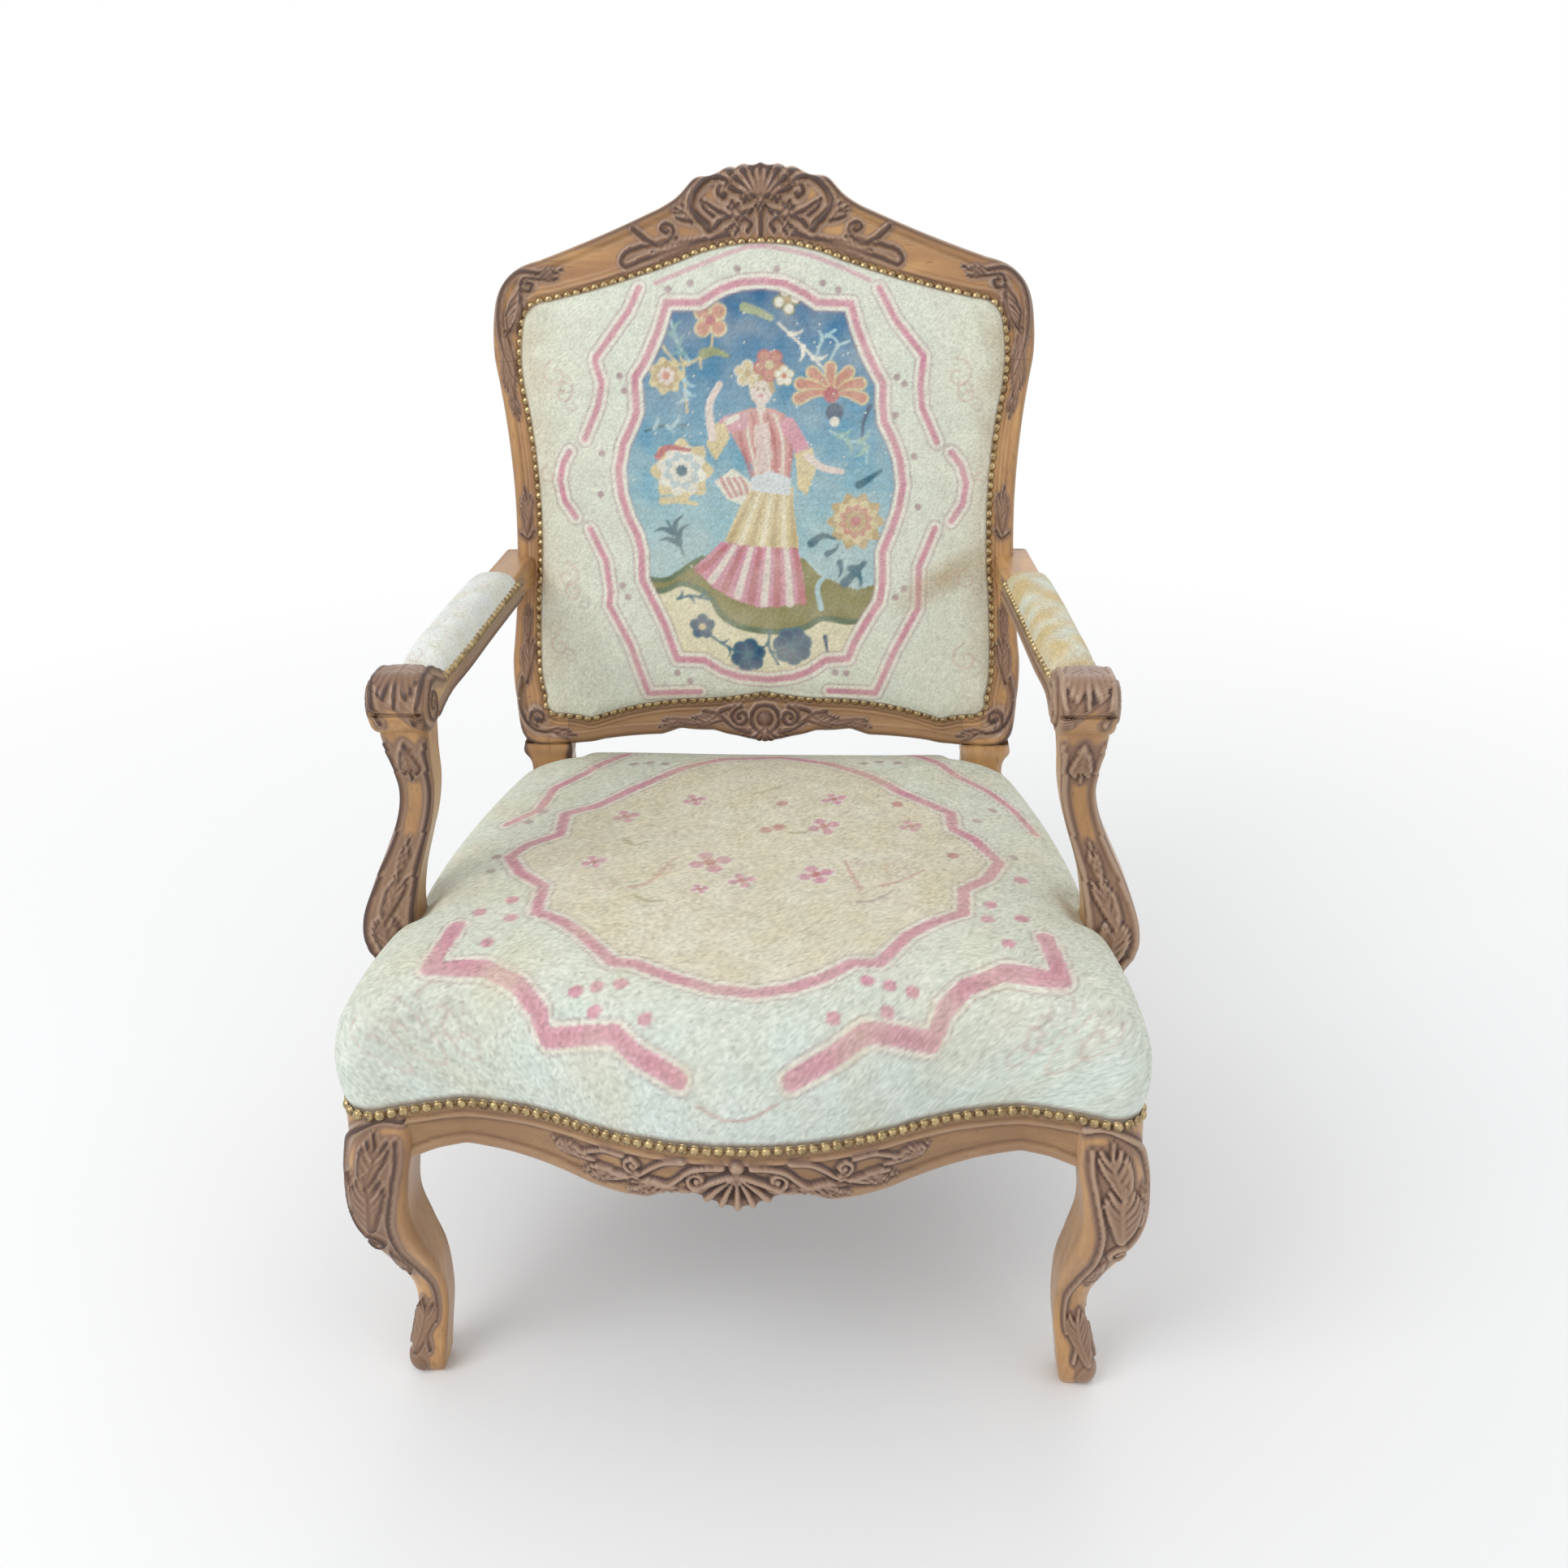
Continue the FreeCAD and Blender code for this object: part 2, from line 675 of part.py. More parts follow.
def curve(before, here, there, after, share, k):
    """One value of the smooth curve between two stations; the first value is the height."""
    if k == 0:
        return here[0] + (there[0] - here[0]) * share
    gap = there[0] - here[0]
    slope_here = (there[k] - before[k]) / (there[0] - before[0]) * gap
    slope_there = (after[k] - here[k]) / (after[0] - here[0]) * gap
    cube = share**3
    square = share**2
    return (
        (2 * cube - 3 * square + 1) * here[k]
        + (cube - 2 * square + share) * slope_here
        + (3 * square - 2 * cube) * there[k]
        + (cube - square) * slope_there
    )


def front_leg():
    """Cabriole leg of the +x side, cut for the tenons of the two rails."""
    sections = []
    for z, inward, behind, width in smooth(LEG_STATIONS, 2):
        x = SEAT_HALF_WIDTH - inward
        y = behind - KNEE_FRONT
        slant = KNEE_SLANT * max(0.0, (z - KNEE_SLANT_Z) / (NAIL_LINE_Z - KNEE_SLANT_Z))
        half = width / 2
        sections.append(
            leg_section(x - half, x + half, y - half, y + half, z, width * 0.4, width * 0.14, slant)
        )
    sections.append(
        leg_section(
            LEG_INNER_X,
            SEAT_HALF_WIDTH - 0.5,
            -KNEE_FRONT - 1.0,
            LEG_REAR_Y,
            NAIL_LINE_Z,
            LEG_BLOCK * 0.44,
            1.5,
            KNEE_SLANT,
        )
    )
    shaft = loft(sections)
    room = box(LEG_INNER_X, FAR, -FAR, LEG_REAR_Y, 0.0, FAR)
    head = seat_prism(REBATE, NAIL_LINE_Z - 1.0, RAIL_TOP_Z).common(room)
    leg = fused([shaft, head, foot_scroll()])
    return single(leg.cut(front_tenon(FIT)).cut(side_front_tenon(FIT)))


def foot_scroll():
    """Small scroll that the toe of a front leg curls into."""
    z, inward, behind, width = LEG_STATIONS[2]
    y = behind - KNEE_FRONT
    out = math.sqrt(0.5)
    reach = width / 2 - 4.0
    across = vec(out, out, 0)
    start = vec(SEAT_HALF_WIDTH - inward + reach * out, y - reach * out, FOOT_SCROLL_Z)
    start = start - across * (FOOT_SCROLL_WIDTH / 2)
    return Part.makeCylinder(FOOT_SCROLL_RADIUS, FOOT_SCROLL_WIDTH, start, across)


# Rear posts: rear leg and back stile cut from one plank


def post_section(x0, x1, y0, y1, z):
    """Chamfered square of a rear post."""
    c = POST_CORNER
    corners = [
        (x0 + c, y0),
        (x0, y0 + c),
        (x0, y1 - c),
        (x0 + c, y1),
        (x1 - c, y1),
        (x1, y1 - c),
        (x1, y0 + c),
        (x1 - c, y0),
    ]
    return [vec(x, y, z) for x, y in corners]


def back_post():
    """Rear leg, seat block and back stile of the +x side."""
    outer = SEAT_REAR_HALF_WIDTH
    inner = POST_INNER_HALF
    leg_sections = [
        post_section(outer - from_inner, outer - from_outer, y0, y1, z)
        for z, from_inner, from_outer, y0, y1 in REAR_LEG_STATIONS
    ]
    block_foot = post_section(inner, outer, POST_FRONT_Y, POST_REAR_Y, POST_BLOCK_BOTTOM_Z)
    block_top = post_section(inner, outer, POST_FRONT_Y, POST_REAR_Y, RAIL_TOP_Z)
    stile_y, stile_z = back_point(0.0, STILE_FOOT_S)
    thick = BACK_THICKNESS * math.cos(math.radians(RAKE))
    top_x = HIP_HALF_WIDTH - 7.0
    leg = loft(leg_sections + [block_foot])
    block = loft([block_foot, block_top])
    neck = loft(
        [
            block_top,
            post_section(inner, outer - 6.0, POST_FRONT_Y - 1.0, POST_REAR_Y - 6.0, NECK_Z),
            post_section(inner, top_x, stile_y, stile_y + thick, stile_z),
        ]
    )
    post = fused([leg, block, neck, leaning(stile())])
    for mortise in (side_rear_tenon(FIT), rear_tenon(FIT), leaning(lower_tenon(FIT))):
        post = post.cut(mortise)
    post = post.cut(seat_pegs_rear(FIT)).cut(leaning(back_pegs_of_stile(FIT)))
    return single(post.cut(arm_screw(FIT)))


def back_point(depth, s):
    """y and z of a point of the back, from its depth behind the front face and its s."""
    lean = math.radians(RAKE)
    y = BACK_FOOT_Y + s * math.sin(lean) + depth * math.cos(lean)
    z = BACK_FOOT_Z + s * math.cos(lean) - depth * math.sin(lean)
    return y, z


# Back frame


def back_outline():
    """Right half of the outer edge of the back, from the crest's peak to the lower rail."""
    return [
        (0.0, CREST_PEAK_S, 0.0),
        (CREST_SHELL_HALF, CREST_SHELL_S, 3.0),
        (CREST_FLANK_HALF, CREST_FLANK_S, -2.0),
        (CREST_END_HALF, CREST_END_S, -1.5),
        (SHOULDER_HALF_WIDTH - 4.0, SHOULDER_S + 30.0, 9.0),
        (SHOULDER_HALF_WIDTH - 1.0, STILE_TOP_S, 2.0),
        (WAIST_HALF_WIDTH, WAIST_S, -3.0),
        (HIP_HALF_WIDTH, HIP_S, -3.0),
        (HIP_HALF_WIDTH - 4.0, 29.0, 2.0),
        (HIP_HALF_WIDTH - 7.0, STILE_FOOT_S, 0.0),
        (POST_INNER_HALF, STILE_FOOT_S, 0.0),
        (POST_INNER_HALF, -2.0, 0.0),
        (PANEL_HOLLOW_HALF, -3.0, 0.0),
        (112.0, LOWER_RAIL_SCALLOP - 6.0, -2.0),
        (0.0, LOWER_RAIL_SCALLOP, 1.0),
    ]


def panel_outline(distance=0.0):
    """Right half of the nail line of the back's upholstery, drawn in by a distance."""
    shoulder_x = SHOULDER_HALF_WIDTH - SHOULDER_SHOW
    waist_x = WAIST_HALF_WIDTH - WAIST_SHOW
    hip_x = HIP_HALF_WIDTH - HIP_SHOW
    half = [
        (0.0, PANEL_TOP_S, 0.0),
        (PANEL_TOP_HALF, PANEL_TOP_S - PANEL_TOP_RISE, PANEL_TOP_RISE / 4),
        (PANEL_CORNER_HALF, PANEL_CORNER_S, -2.5),
        (shoulder_x - 1.0, SHOULDER_S + 8.0, 7.0),
        (shoulder_x - 3.0, SHOULDER_S - 70.0, 4.0),
        (waist_x + 2.0, WAIST_S - 62.0, -4.5),
        (hip_x, HIP_S - 4.0, 1.0),
        (hip_x - 5.0, 48.0, 1.5),
        (PANEL_FOOT_HALF, PANEL_FOOT_S, 6.0),
        (PANEL_HOLLOW_HALF, PANEL_HOLLOW_S, -1.5),
        (PANEL_ARCH_HALF, PANEL_ARCH_S, -5.0),
        (0.0, PANEL_ARCH_PEAK_S, 1.5),
    ]
    middle_s = (PANEL_TOP_S + PANEL_HOLLOW_S) / 2
    return inset(half, middle_s, shoulder_x, distance)


def back_prism(half, depth0, depth1):
    return prism(half, elevation(depth0), vec(0, depth1 - depth0, 0))


def back_ring():
    """Crest, stiles and lower rail as one ring, rebated in front for the upholstery."""
    ring = back_prism(back_outline(), 0.0, BACK_THICKNESS)
    ring = ring.cut(back_prism(panel_outline(PANEL_LAP), -1.0, BACK_THICKNESS + 1.0))
    return ring.cut(back_prism(panel_outline(-PANEL_EDGE), -1.0, PANEL_REBATE))


def stile():
    """Upper part of the rear post of the +x side, drawn in the plane of the back."""
    part = back_ring().common(box(POST_INNER_HALF, FAR, -FAR, FAR, -FAR, STILE_TOP_S))
    return fused([part, crest_tenon()])


def crest_tenon(grow=0.0):
    """Tenon of the stile's top in the crest rail."""
    return box(
        SHOULDER_HALF_WIDTH - CREST_TENON_SETBACK - CREST_TENON_WIDTH - grow,
        SHOULDER_HALF_WIDTH - CREST_TENON_SETBACK + grow,
        BACK_TENON_DEPTH - grow,
        BACK_TENON_DEPTH + TENON_THICKNESS + grow,
        STILE_TOP_S - 5.0,
        STILE_TOP_S + TENON_LENGTH + grow,
    )


def lower_tenon(grow=0.0):
    """Tenon of the lower back rail in the stile."""
    return box(
        POST_INNER_HALF - TENON_ROOT,
        POST_INNER_HALF + TENON_LENGTH + grow,
        BACK_TENON_DEPTH - grow,
        BACK_TENON_DEPTH + TENON_THICKNESS + grow,
        LOWER_TENON_BOTTOM_S - grow,
        LOWER_TENON_TOP_S + grow,
    )


def crest_rail():
    """Arched top rail with its shell, and a mortise over each stile."""
    part = back_ring().common(box(-FAR, FAR, -FAR, FAR, STILE_TOP_S, FAR))
    part = fused([part] + crest_carving())
    for cut in (crest_tenon(FIT), back_peg_of_crest(FIT)):
        part = part.cut(cut).cut(mirrored(cut))
    return leaning(single(part))


def crest_carving():
    """Scallop shell of ribs at the peak between C scrolls and leaves."""
    carving = []
    for index in range(-3, 4):
        turn = index * 23.0
        foot = (0.0, PANEL_TOP_S + 17.0, 0.0)
        length = CREST_SHELL_LENGTH - 9.0 * abs(math.sin(math.radians(turn)))
        carving.append(rib(foot, turn, length, 6.0, 19.0, CREST_SHELL_RISE, elevation))
    for side in (-1, 1):
        open_from = -60.0 if side > 0 else 160.0
        carving.append(
            scroll(side * 73.0, 546.0, 22.0, 9.0, -CARVING_RISE, 2.0, open_from, elevation)
        )
        for x, s, turn in ((96.0, 528.0, 104.0), (128.0, 517.0, 112.0), (160.0, 508.0, 112.0)):
            foot = (side * x, s, 0.0)
            carving.append(rib(foot, side * turn, 32.0, 8.0, 13.0, CARVING_RISE, elevation))
    return carving


def lower_back_rail():
    """Lower rail of the back with its carved middle and a tenon at each end."""
    part = back_ring().common(
        box(-POST_INNER_HALF, POST_INNER_HALF, -FAR, FAR, -FAR, PANEL_ARCH_PEAK_S + PANEL_LAP)
    )
    part = fused([part, lower_tenon(), mirrored(lower_tenon())] + lower_carving())
    pegs = back_pegs_of_rail(FIT)
    return leaning(single(part.cut(pegs).cut(mirrored(pegs))))


def lower_carving():
    """Cabochon between scrolls and leaves in the middle of the lower back rail."""
    carving = []
    foot = (0.0, 34.0, 0.0)
    for turn in (-60.0, -30.0, 0.0, 30.0, 60.0):
        carving.append(rib(foot, 180.0 - turn, 32.0, 8.0, 15.0, CARVING_RISE, elevation))
    for side in (-1, 1):
        open_from = 20.0 if side > 0 else 80.0
        carving.append(
            scroll(side * 38.0, 25.0, 14.0, 6.0, -CARVING_RISE, 2.0, open_from, elevation)
        )
        for x, s in ((52.0, 23.0), (74.0, 21.0)):
            foot = (side * x, s, 0.0)
            carving.append(rib(foot, side * 92.0, 26.0, 7.0, 13.0, CARVING_RISE, elevation))
    return carving


# Pegs


def peg(start, direction, length, grow=0.0):
    """Eight sided peg, split from straight wood and driven home."""
    corners = eight_corners(start, direction, PEG_DIAMETER / 2 + grow)
    return polygon_face(corners).extrude(direction * length)


def seat_pegs_front(grow=0.0):
    """Pegs of the front leg: two through the front rail's tenon, one through the side's."""
    x = LEG_INNER_X + 13.0
    length = LEG_BLOCK - 14.0
    low = TENON_BOTTOM_Z + 12.0
    high = TENON_TOP_Z - 12.0
    side_z = (low + high) / 2
    return group(
        [
            peg(vec(x, LEG_REAR_Y, low), vec(0, -1, 0), length, grow),
            peg(vec(x, LEG_REAR_Y, high), vec(0, -1, 0), length, grow),
            peg(vec(LEG_INNER_X, LEG_REAR_Y - 10.0, side_z), vec(1, 0, 0), length, grow),
        ]
    )


def seat_pegs_rear(grow=0.0):
    """Pegs of the rear post: two through the rear rail's tenon, one through the side's."""
    x = POST_INNER_HALF + 13.0
    low = TENON_BOTTOM_Z + 12.0
    high = TENON_TOP_Z - 12.0
    side_z = (low + high) / 2
    outer = SEAT_REAR_HALF_WIDTH
    return group(
        [
            peg(vec(x, POST_REAR_Y, low), vec(0, -1, 0), POST_DEPTH - 8.0, grow),
            peg(vec(x, POST_REAR_Y, high), vec(0, -1, 0), POST_DEPTH - 8.0, grow),
            peg(vec(outer, POST_FRONT_Y + 11.0, side_z), vec(-1, 0, 0), 32.0, grow),
        ]
    )


def back_pegs_of_rail(grow=0.0):
    """Two pegs through each tenon of the lower back rail, driven from behind."""
    x = POST_INNER_HALF + 13.0
    start = BACK_THICKNESS
    length = BACK_THICKNESS - PANEL_REBATE - 2.0
    return group(
        [
            peg(vec(x, start, LOWER_TENON_BOTTOM_S + 9.0), vec(0, -1, 0), length, grow),
            peg(vec(x, start, LOWER_TENON_TOP_S - 9.0), vec(0, -1, 0), length, grow),
        ]
    )


def back_peg_of_crest(grow=0.0):
    """Peg through the stile's tenon in the crest rail, driven from behind."""
    x = SHOULDER_HALF_WIDTH - CREST_TENON_SETBACK - CREST_TENON_WIDTH / 2
    start = vec(x, BACK_THICKNESS, STILE_TOP_S + TENON_LENGTH / 2)
    return peg(start, vec(0, -1, 0), BACK_THICKNESS - 9.0, grow)


def back_pegs_of_stile(grow=0.0):
    return group(back_pegs_of_rail(grow).Solids + [back_peg_of_crest(grow)])


# Arms


def console_base(grow=0.0):
    """Foot of a console, let into the side rail behind the cloth."""
    x0 = CONSOLE_OUTER_X - CONSOLE_BASE_WIDTH - grow
    x1 = SIDE_TURN_HALF_WIDTH - REBATE - 1.0
    half = CONSOLE_FOOT_LENGTH / 2 + grow
    bottom = NAIL_LINE_Z - 2.0 - grow
    reach = REBATE if grow else 0.0
    return box(x0, x1 + reach, CONSOLE_BASE_Y - half, CONSOLE_BASE_Y + half, bottom, CONSOLE_BASE_Z)


def console_shaft(grow=0.0):
    """S shaped body of the console of the +x side, grown on every side."""
    sections = []
    for z, out, width, forward, depth in CONSOLE_STATIONS:
        x1 = CONSOLE_OUTER_X + out
        y0 = CONSOLE_BASE_Y - 23.0 - forward
        sections.append(
            leg_section(
                x1 - width - grow, x1 + grow, y0 - grow, y0 + depth + grow, z, 9.0 + grow, 5.0 + grow
            )
        )
    z, out, width, forward, depth = CONSOLE_STATIONS[0]
    foot = leg_section(
        CONSOLE_OUTER_X - width - grow,
        CONSOLE_OUTER_X + grow,
        CONSOLE_BASE_Y - 23.0 - grow,
        CONSOLE_BASE_Y - 23.0 + depth + grow,
        CONSOLE_BASE_Z - grow,
        9.0 + grow,
        5.0 + grow,
    )
    return loft([foot] + sections)


def console_top_tenon(grow=0.0):
    """Square tenon of the console in the arm's knuckle."""
    z, out, width, forward, depth = CONSOLE_STATIONS[-1]
    x = CONSOLE_OUTER_X + out - width / 2
    y = CONSOLE_BASE_Y - 23.0 - forward + depth / 2
    half = CONSOLE_TOP_TENON / 2 + grow
    return box(x - half, x + half, y - half, y + half, z - 10.0, z + CONSOLE_TENON_HEIGHT + grow)


def arm_support():
    """Console from the side rail up to the knuckle, hollowed on top to seat under it."""
    body = console_shaft().cut(knuckle(FIT)).cut(arm_bar(FIT))
    body = max(body.Solids, key=lambda solid: solid.Volume)
    body = fused([body, console_base(), console_top_tenon()])
    return single(body.cut(console_screw(FIT)))


def console_screw(grow=0.0):
    """Screw from inside the side rail into the console's foot."""
    x = SIDE_TURN_HALF_WIDTH - RAIL_THICKNESS + 0.5
    z = (NAIL_LINE_Z + RAIL_TOP_Z) / 2
    return screw(vec(x, CONSOLE_BASE_Y, z), vec(1, 0, 0), 24.0, grow)


def knuckle(grow=0.0):
    """Drum of the scroll at the front end of an arm."""
    half = KNUCKLE_HALF_WIDTH + grow
    start = vec(knuckle_x() - half, KNUCKLE_Y, KNUCKLE_Z)
    return Part.makeCylinder(KNUCKLE_RADIUS + grow, 2 * half, start, vec(1, 0, 0))


def knuckle_x():
    """Middle of the knuckle, over the top of its console."""
    z, out, width, forward, depth = CONSOLE_STATIONS[-1]
    return CONSOLE_OUTER_X + out - width / 2


def volute_eyes():
    """Raised eyes in the middle of the scroll's two faces."""
    x = knuckle_x()
    half = KNUCKLE_HALF_WIDTH + VOLUTE_EYE_HEIGHT
    start = vec(x - half, KNUCKLE_Y, KNUCKLE_Z)
    return Part.makeCylinder(VOLUTE_EYE_DIAMETER / 2, 2 * half, start, vec(1, 0, 0))


def arm_centre_x(y):
    """Middle of the arm in plan: a shallow bow from the stile to the knuckle."""
    rear_y = POST_FRONT_Y + 40.0
    share = (rear_y - y) / (rear_y - KNUCKLE_Y)
    straight = ARM_REAR_HALF_X + (knuckle_x() - ARM_REAR_HALF_X) * share
    return straight + ARM_SET_OUT * 4 * share * (1 - share) * 0.5


ARM_Y_STATIONS = (280.0, 225.0, 172.0, 110.0, 50.0, -10.0, -60.0, -100.0, -139.0)


def arm_section(y, half_width, bottom, top):
    """Upright section of an arm: flat sides and top, chamfered below."""
    x = arm_centre_x(y)
    edge = 1.5
    points = [
        (x - half_width, bottom + ARM_CHAMFER),
        (x - half_width, top - edge),
        (x - half_width + edge, top),
        (x + half_width - edge, top),
        (x + half_width, top - edge),
        (x + half_width, bottom + ARM_CHAMFER),
        (x + half_width - ARM_CHAMFER, bottom),
        (x - half_width + ARM_CHAMFER, bottom),
    ]
    return [vec(across, y, z) for across, z in points]


def arm_bar(grow=0.0):
    """Arm from behind the stile to the knuckle, wider towards the front."""
    sections = []
    for y in ARM_Y_STATIONS:
        spread = max(0.0, -y - 60.0) * 0.05
        half = ARM_HALF_WIDTH + spread + grow
        sections.append(arm_section(y, half, ARM_BOTTOM_Z - grow, ARM_TOP_Z + grow))
    return loft(sections)


def arm():
    """Arm of the +x side: notched round the stile, with a ledge for the pad's cloth."""
    wood = fused([arm_bar(), knuckle(), volute_eyes()])
    behind = leaning(box(0.0, FAR, BACK_THICKNESS - 8.0, FAR, 0.0, FAR))
    stile_room = leaning(back_prism_one_side(FIT))
    wood = wood.cut(behind).cut(stile_room)
    wood = max(wood.Solids, key=lambda solid: solid.Volume)
    ledge = arm_pad_ring()
    return single(wood.cut(ledge).cut(console_top_tenon(FIT)).cut(arm_screw(FIT)))


def back_prism_one_side(grow):
    """Room that the stile of the +x side takes, with a clearance round it."""
    scale = 1 + grow / HIP_HALF_WIDTH
    half = [(x * scale, s, bulge) for x, s, bulge in back_outline()]
    whole = back_prism(half, -grow, BACK_THICKNESS)
    return whole.common(box(0.0, FAR, -FAR, FAR, HIP_S - 30.0, STILE_TOP_S - 70.0))


def arm_pad_ring():
    """Wood taken off round the top of the arm, where the pad's cloth is tacked."""
    outer = pad_block(6.0, ARM_TOP_Z - ARM_PAD_LAP, ARM_TOP_Z + 5.0)
    inner = pad_block(-4.0, ARM_TOP_Z - ARM_PAD_LAP - 1.0, ARM_TOP_Z + 6.0)
    return outer.cut(inner)


def pad_block(grow, z0, z1):
    """Upright block that follows the arm in plan from the pad's rear to its front."""
    stations = [ARM_PAD_REAR_Y, 110.0, 50.0, -10.0, ARM_PAD_FRONT_Y]
    outer = [(arm_centre_x(y) + ARM_HALF_WIDTH + grow, y, 0.0) for y in stations]
    inner = [(arm_centre_x(y) - ARM_HALF_WIDTH - grow, y, 0.0) for y in reversed(stations)]
    return Part.Face(closed(outer + inner, plan(z0))).extrude(vec(0, 0, z1 - z0))


def arm_screw(grow=0.0):
    """Screw through the stile into the rear end of the arm."""
    s = (ARM_BOTTOM_Z + 13.0 - BACK_FOOT_Z) / math.cos(math.radians(RAKE))
    y, z = back_point(BACK_THICKNESS, s)
    toward = vec(0, -math.cos(math.radians(RAKE)), math.sin(math.radians(RAKE)))
    return screw(vec(WAIST_HALF_WIDTH - 8.5, y, z), toward, BACK_THICKNESS + 22.0, grow)


# Upholstery


def soft_seat(shrink, bottom_z):
    """Domed seat form: pulled in at the nail line, bulging over the rails, crowned."""
    levels = [
        (bottom_z, 1.0),
        (NAIL_LINE_Z + 18.0, 1.0 - SEAT_BULGE * 0.75),
        (SEAT_BULGE_Z, -SEAT_BULGE),
        (SEAT_BULGE_Z + 24.0, 3.0 - SEAT_BULGE),
        (SEAT_BULGE_Z + 44.0, 8.0),
        (SEAT_CROWN_Z - 26.0, 20.0),
        (SEAT_CROWN_Z - 14.0, 46.0),
        (SEAT_CROWN_Z - 5.0, 100.0),
        (SEAT_CROWN_Z, 190.0),
    ]
    counts = chord_counts(both_halves(seat_outline()))
    rings = []
    for z, distance in levels:
        lift = shrink if z > SEAT_BULGE_Z else 0.0
        whole = both_halves(seat_outline(distance + shrink))
        rings.append(chorded(whole, counts, plan(z - lift)))
    return loft(rings)


def post_room():
    """Corners of the seat that the rear posts stand in."""
    room = box(POST_INNER_HALF - SKIN_GAP, FAR, POST_FRONT_Y - 1.0 - SKIN_GAP, FAR, 0.0, FAR)
    return group([room, mirrored(room)])


def console_room(grow):
    room = console_shaft(grow)
    return group([room, mirrored(room)])


def seat_cover():
    """Cloth over the whole seat down to the nail line, cut round posts and consoles."""
    skin = soft_seat(0.0, NAIL_LINE_Z + 0.2).cut(soft_seat(COVER_THICKNESS, NAIL_LINE_Z - 6.0))
    return single(skin.cut(post_room()).cut(console_room(SKIN_GAP)))


HESSIAN_Z = RAIL_TOP_Z + 2 * WEB_THICKNESS


def seat_stuffing():
    """Hair stuffing over the hessian, filling the cover."""
    bottom = HESSIAN_Z + HESSIAN_THICKNESS
    body = soft_seat(COVER_THICKNESS + SKIN_GAP, NAIL_LINE_Z - 6.0)
    body = body.common(box(-FAR, FAR, -FAR, FAR, bottom, FAR))
    return single(body.cut(post_room()).cut(console_room(SKIN_GAP)))


def seat_hessian():
    sheet = seat_prism(REBATE + 6.0, HESSIAN_Z, HESSIAN_Z + HESSIAN_THICKNESS)
    return single(sheet.cut(post_room()).cut(console_room(SKIN_GAP)))


def seat_webbing():
    """Webs from front to rear on the rails, and webs across on top of them."""
    low = RAIL_TOP_Z
    middle = RAIL_TOP_Z + WEB_THICKNESS
    high = RAIL_TOP_Z + 2 * WEB_THICKNESS
    half = WEB_WIDTH / 2
    along = [box(x - half, x + half, -FAR, FAR, low, middle) for x in spread(6, 0.0, SEAT_WEB_PITCH)]
    across = [
        box(-FAR, FAR, y - half, y + half, middle, high)
        for y in spread(5, SEAT_WEB_MIDDLE_Y, SEAT_CROSS_WEB_PITCH)
    ]
    limit = seat_prism(REBATE + 12.0, RAIL_TOP_Z - 1.0, RAIL_TOP_Z + 10.0)
    limit = limit.cut(post_room()).cut(console_room(SKIN_GAP))
    return group([single(web.common(limit)) for web in along + across])


def spread(count, middle, pitch):
    """Evenly spaced places about a middle."""
    return [middle + (index - (count - 1) / 2) * pitch for index in range(count)]


def seat_bottom_cloth():
    """Dust cloth inside the rails, under the webs."""
    sheet = inside_prism(SKIN_GAP, BOTTOM_CLOTH_Z, BOTTOM_CLOTH_Z + BOTTOM_CLOTH_THICKNESS)
    return single(sheet.cut(frame_corner_room(SKIN_GAP)))


def corner_blocks():
    """Glued blocks in the four corners inside the seat frame."""
    low = CORNER_BLOCK_TOP_Z - CORNER_BLOCK_HEIGHT
    high = CORNER_BLOCK_TOP_Z
    reach = CORNER_BLOCK_REACH
    inside = inside_prism(GLUE_GAP, low, high)
    blocks = []
    for sign in (1, -1):
        x = sign * (LEG_INNER_X + 30.0)
        front = [(x, -300.0), (x, LEG_REAR_Y + reach), (x - sign * (reach + 34.0), -300.0)]
        x = sign * SEAT_REAR_HALF_WIDTH
        rear = [(x, SEAT_REAR_Y), (x, POST_FRONT_Y - reach), (x - sign * (reach + 55.0), SEAT_REAR_Y)]
        for corners in (front, rear):
            outline = [(px, py, 0.0) for px, py in corners]
            block = Part.Face(closed(outline, plan(low))).extrude(vec(0, 0, high - low))
            blocks.append(block.common(inside).cut(frame_corner_room(FIT)))
    return [single(block) for block in blocks]


def frame_corner_room(gap):
    """Room of the leg blocks, posts and rear rail, with a gap round them."""
    leg = box(LEG_INNER_X - gap, FAR, -FAR, LEG_REAR_Y + gap, 0.0, FAR)
    post = box(POST_INNER_HALF - gap, FAR, POST_FRONT_Y - gap, FAR, 0.0, FAR)
    rear = box(-FAR, FAR, SEAT_REAR_Y - REAR_RAIL_THICKNESS - gap, FAR, 0.0, FAR)
    return group([leg, mirrored(leg), post, mirrored(post), rear])


def soft_back(shrink, floor_depth):
    """Domed form of the back's upholstery, drawn in at the nail line."""
    levels = [
        (floor_depth, 1.0 - PANEL_EDGE),
        (2.0, 1.0 - PANEL_EDGE),
        (-BACK_CROWN * 0.32, 4.0),
        (-BACK_CROWN * 0.7, 24.0),
        (-BACK_CROWN * 0.92, 64.0),
        (-BACK_CROWN, 120.0),
    ]
    counts = chord_counts(both_halves(panel_outline()))
    rings = []
    for depth, distance in levels:
        sink = shrink if depth < 0 else 0.0
        whole = both_halves(panel_outline(distance + shrink))
        rings.append(chorded(whole, counts, elevation(depth + sink)))
    return loft(rings)


def back_cover():
    """Cloth in front of the back, down to the floor of the rebate."""
    skin = soft_back(0.0, PANEL_REBATE - 0.2).cut(soft_back(COVER_THICKNESS, PANEL_REBATE + 4.0))
    return leaning(single(skin))


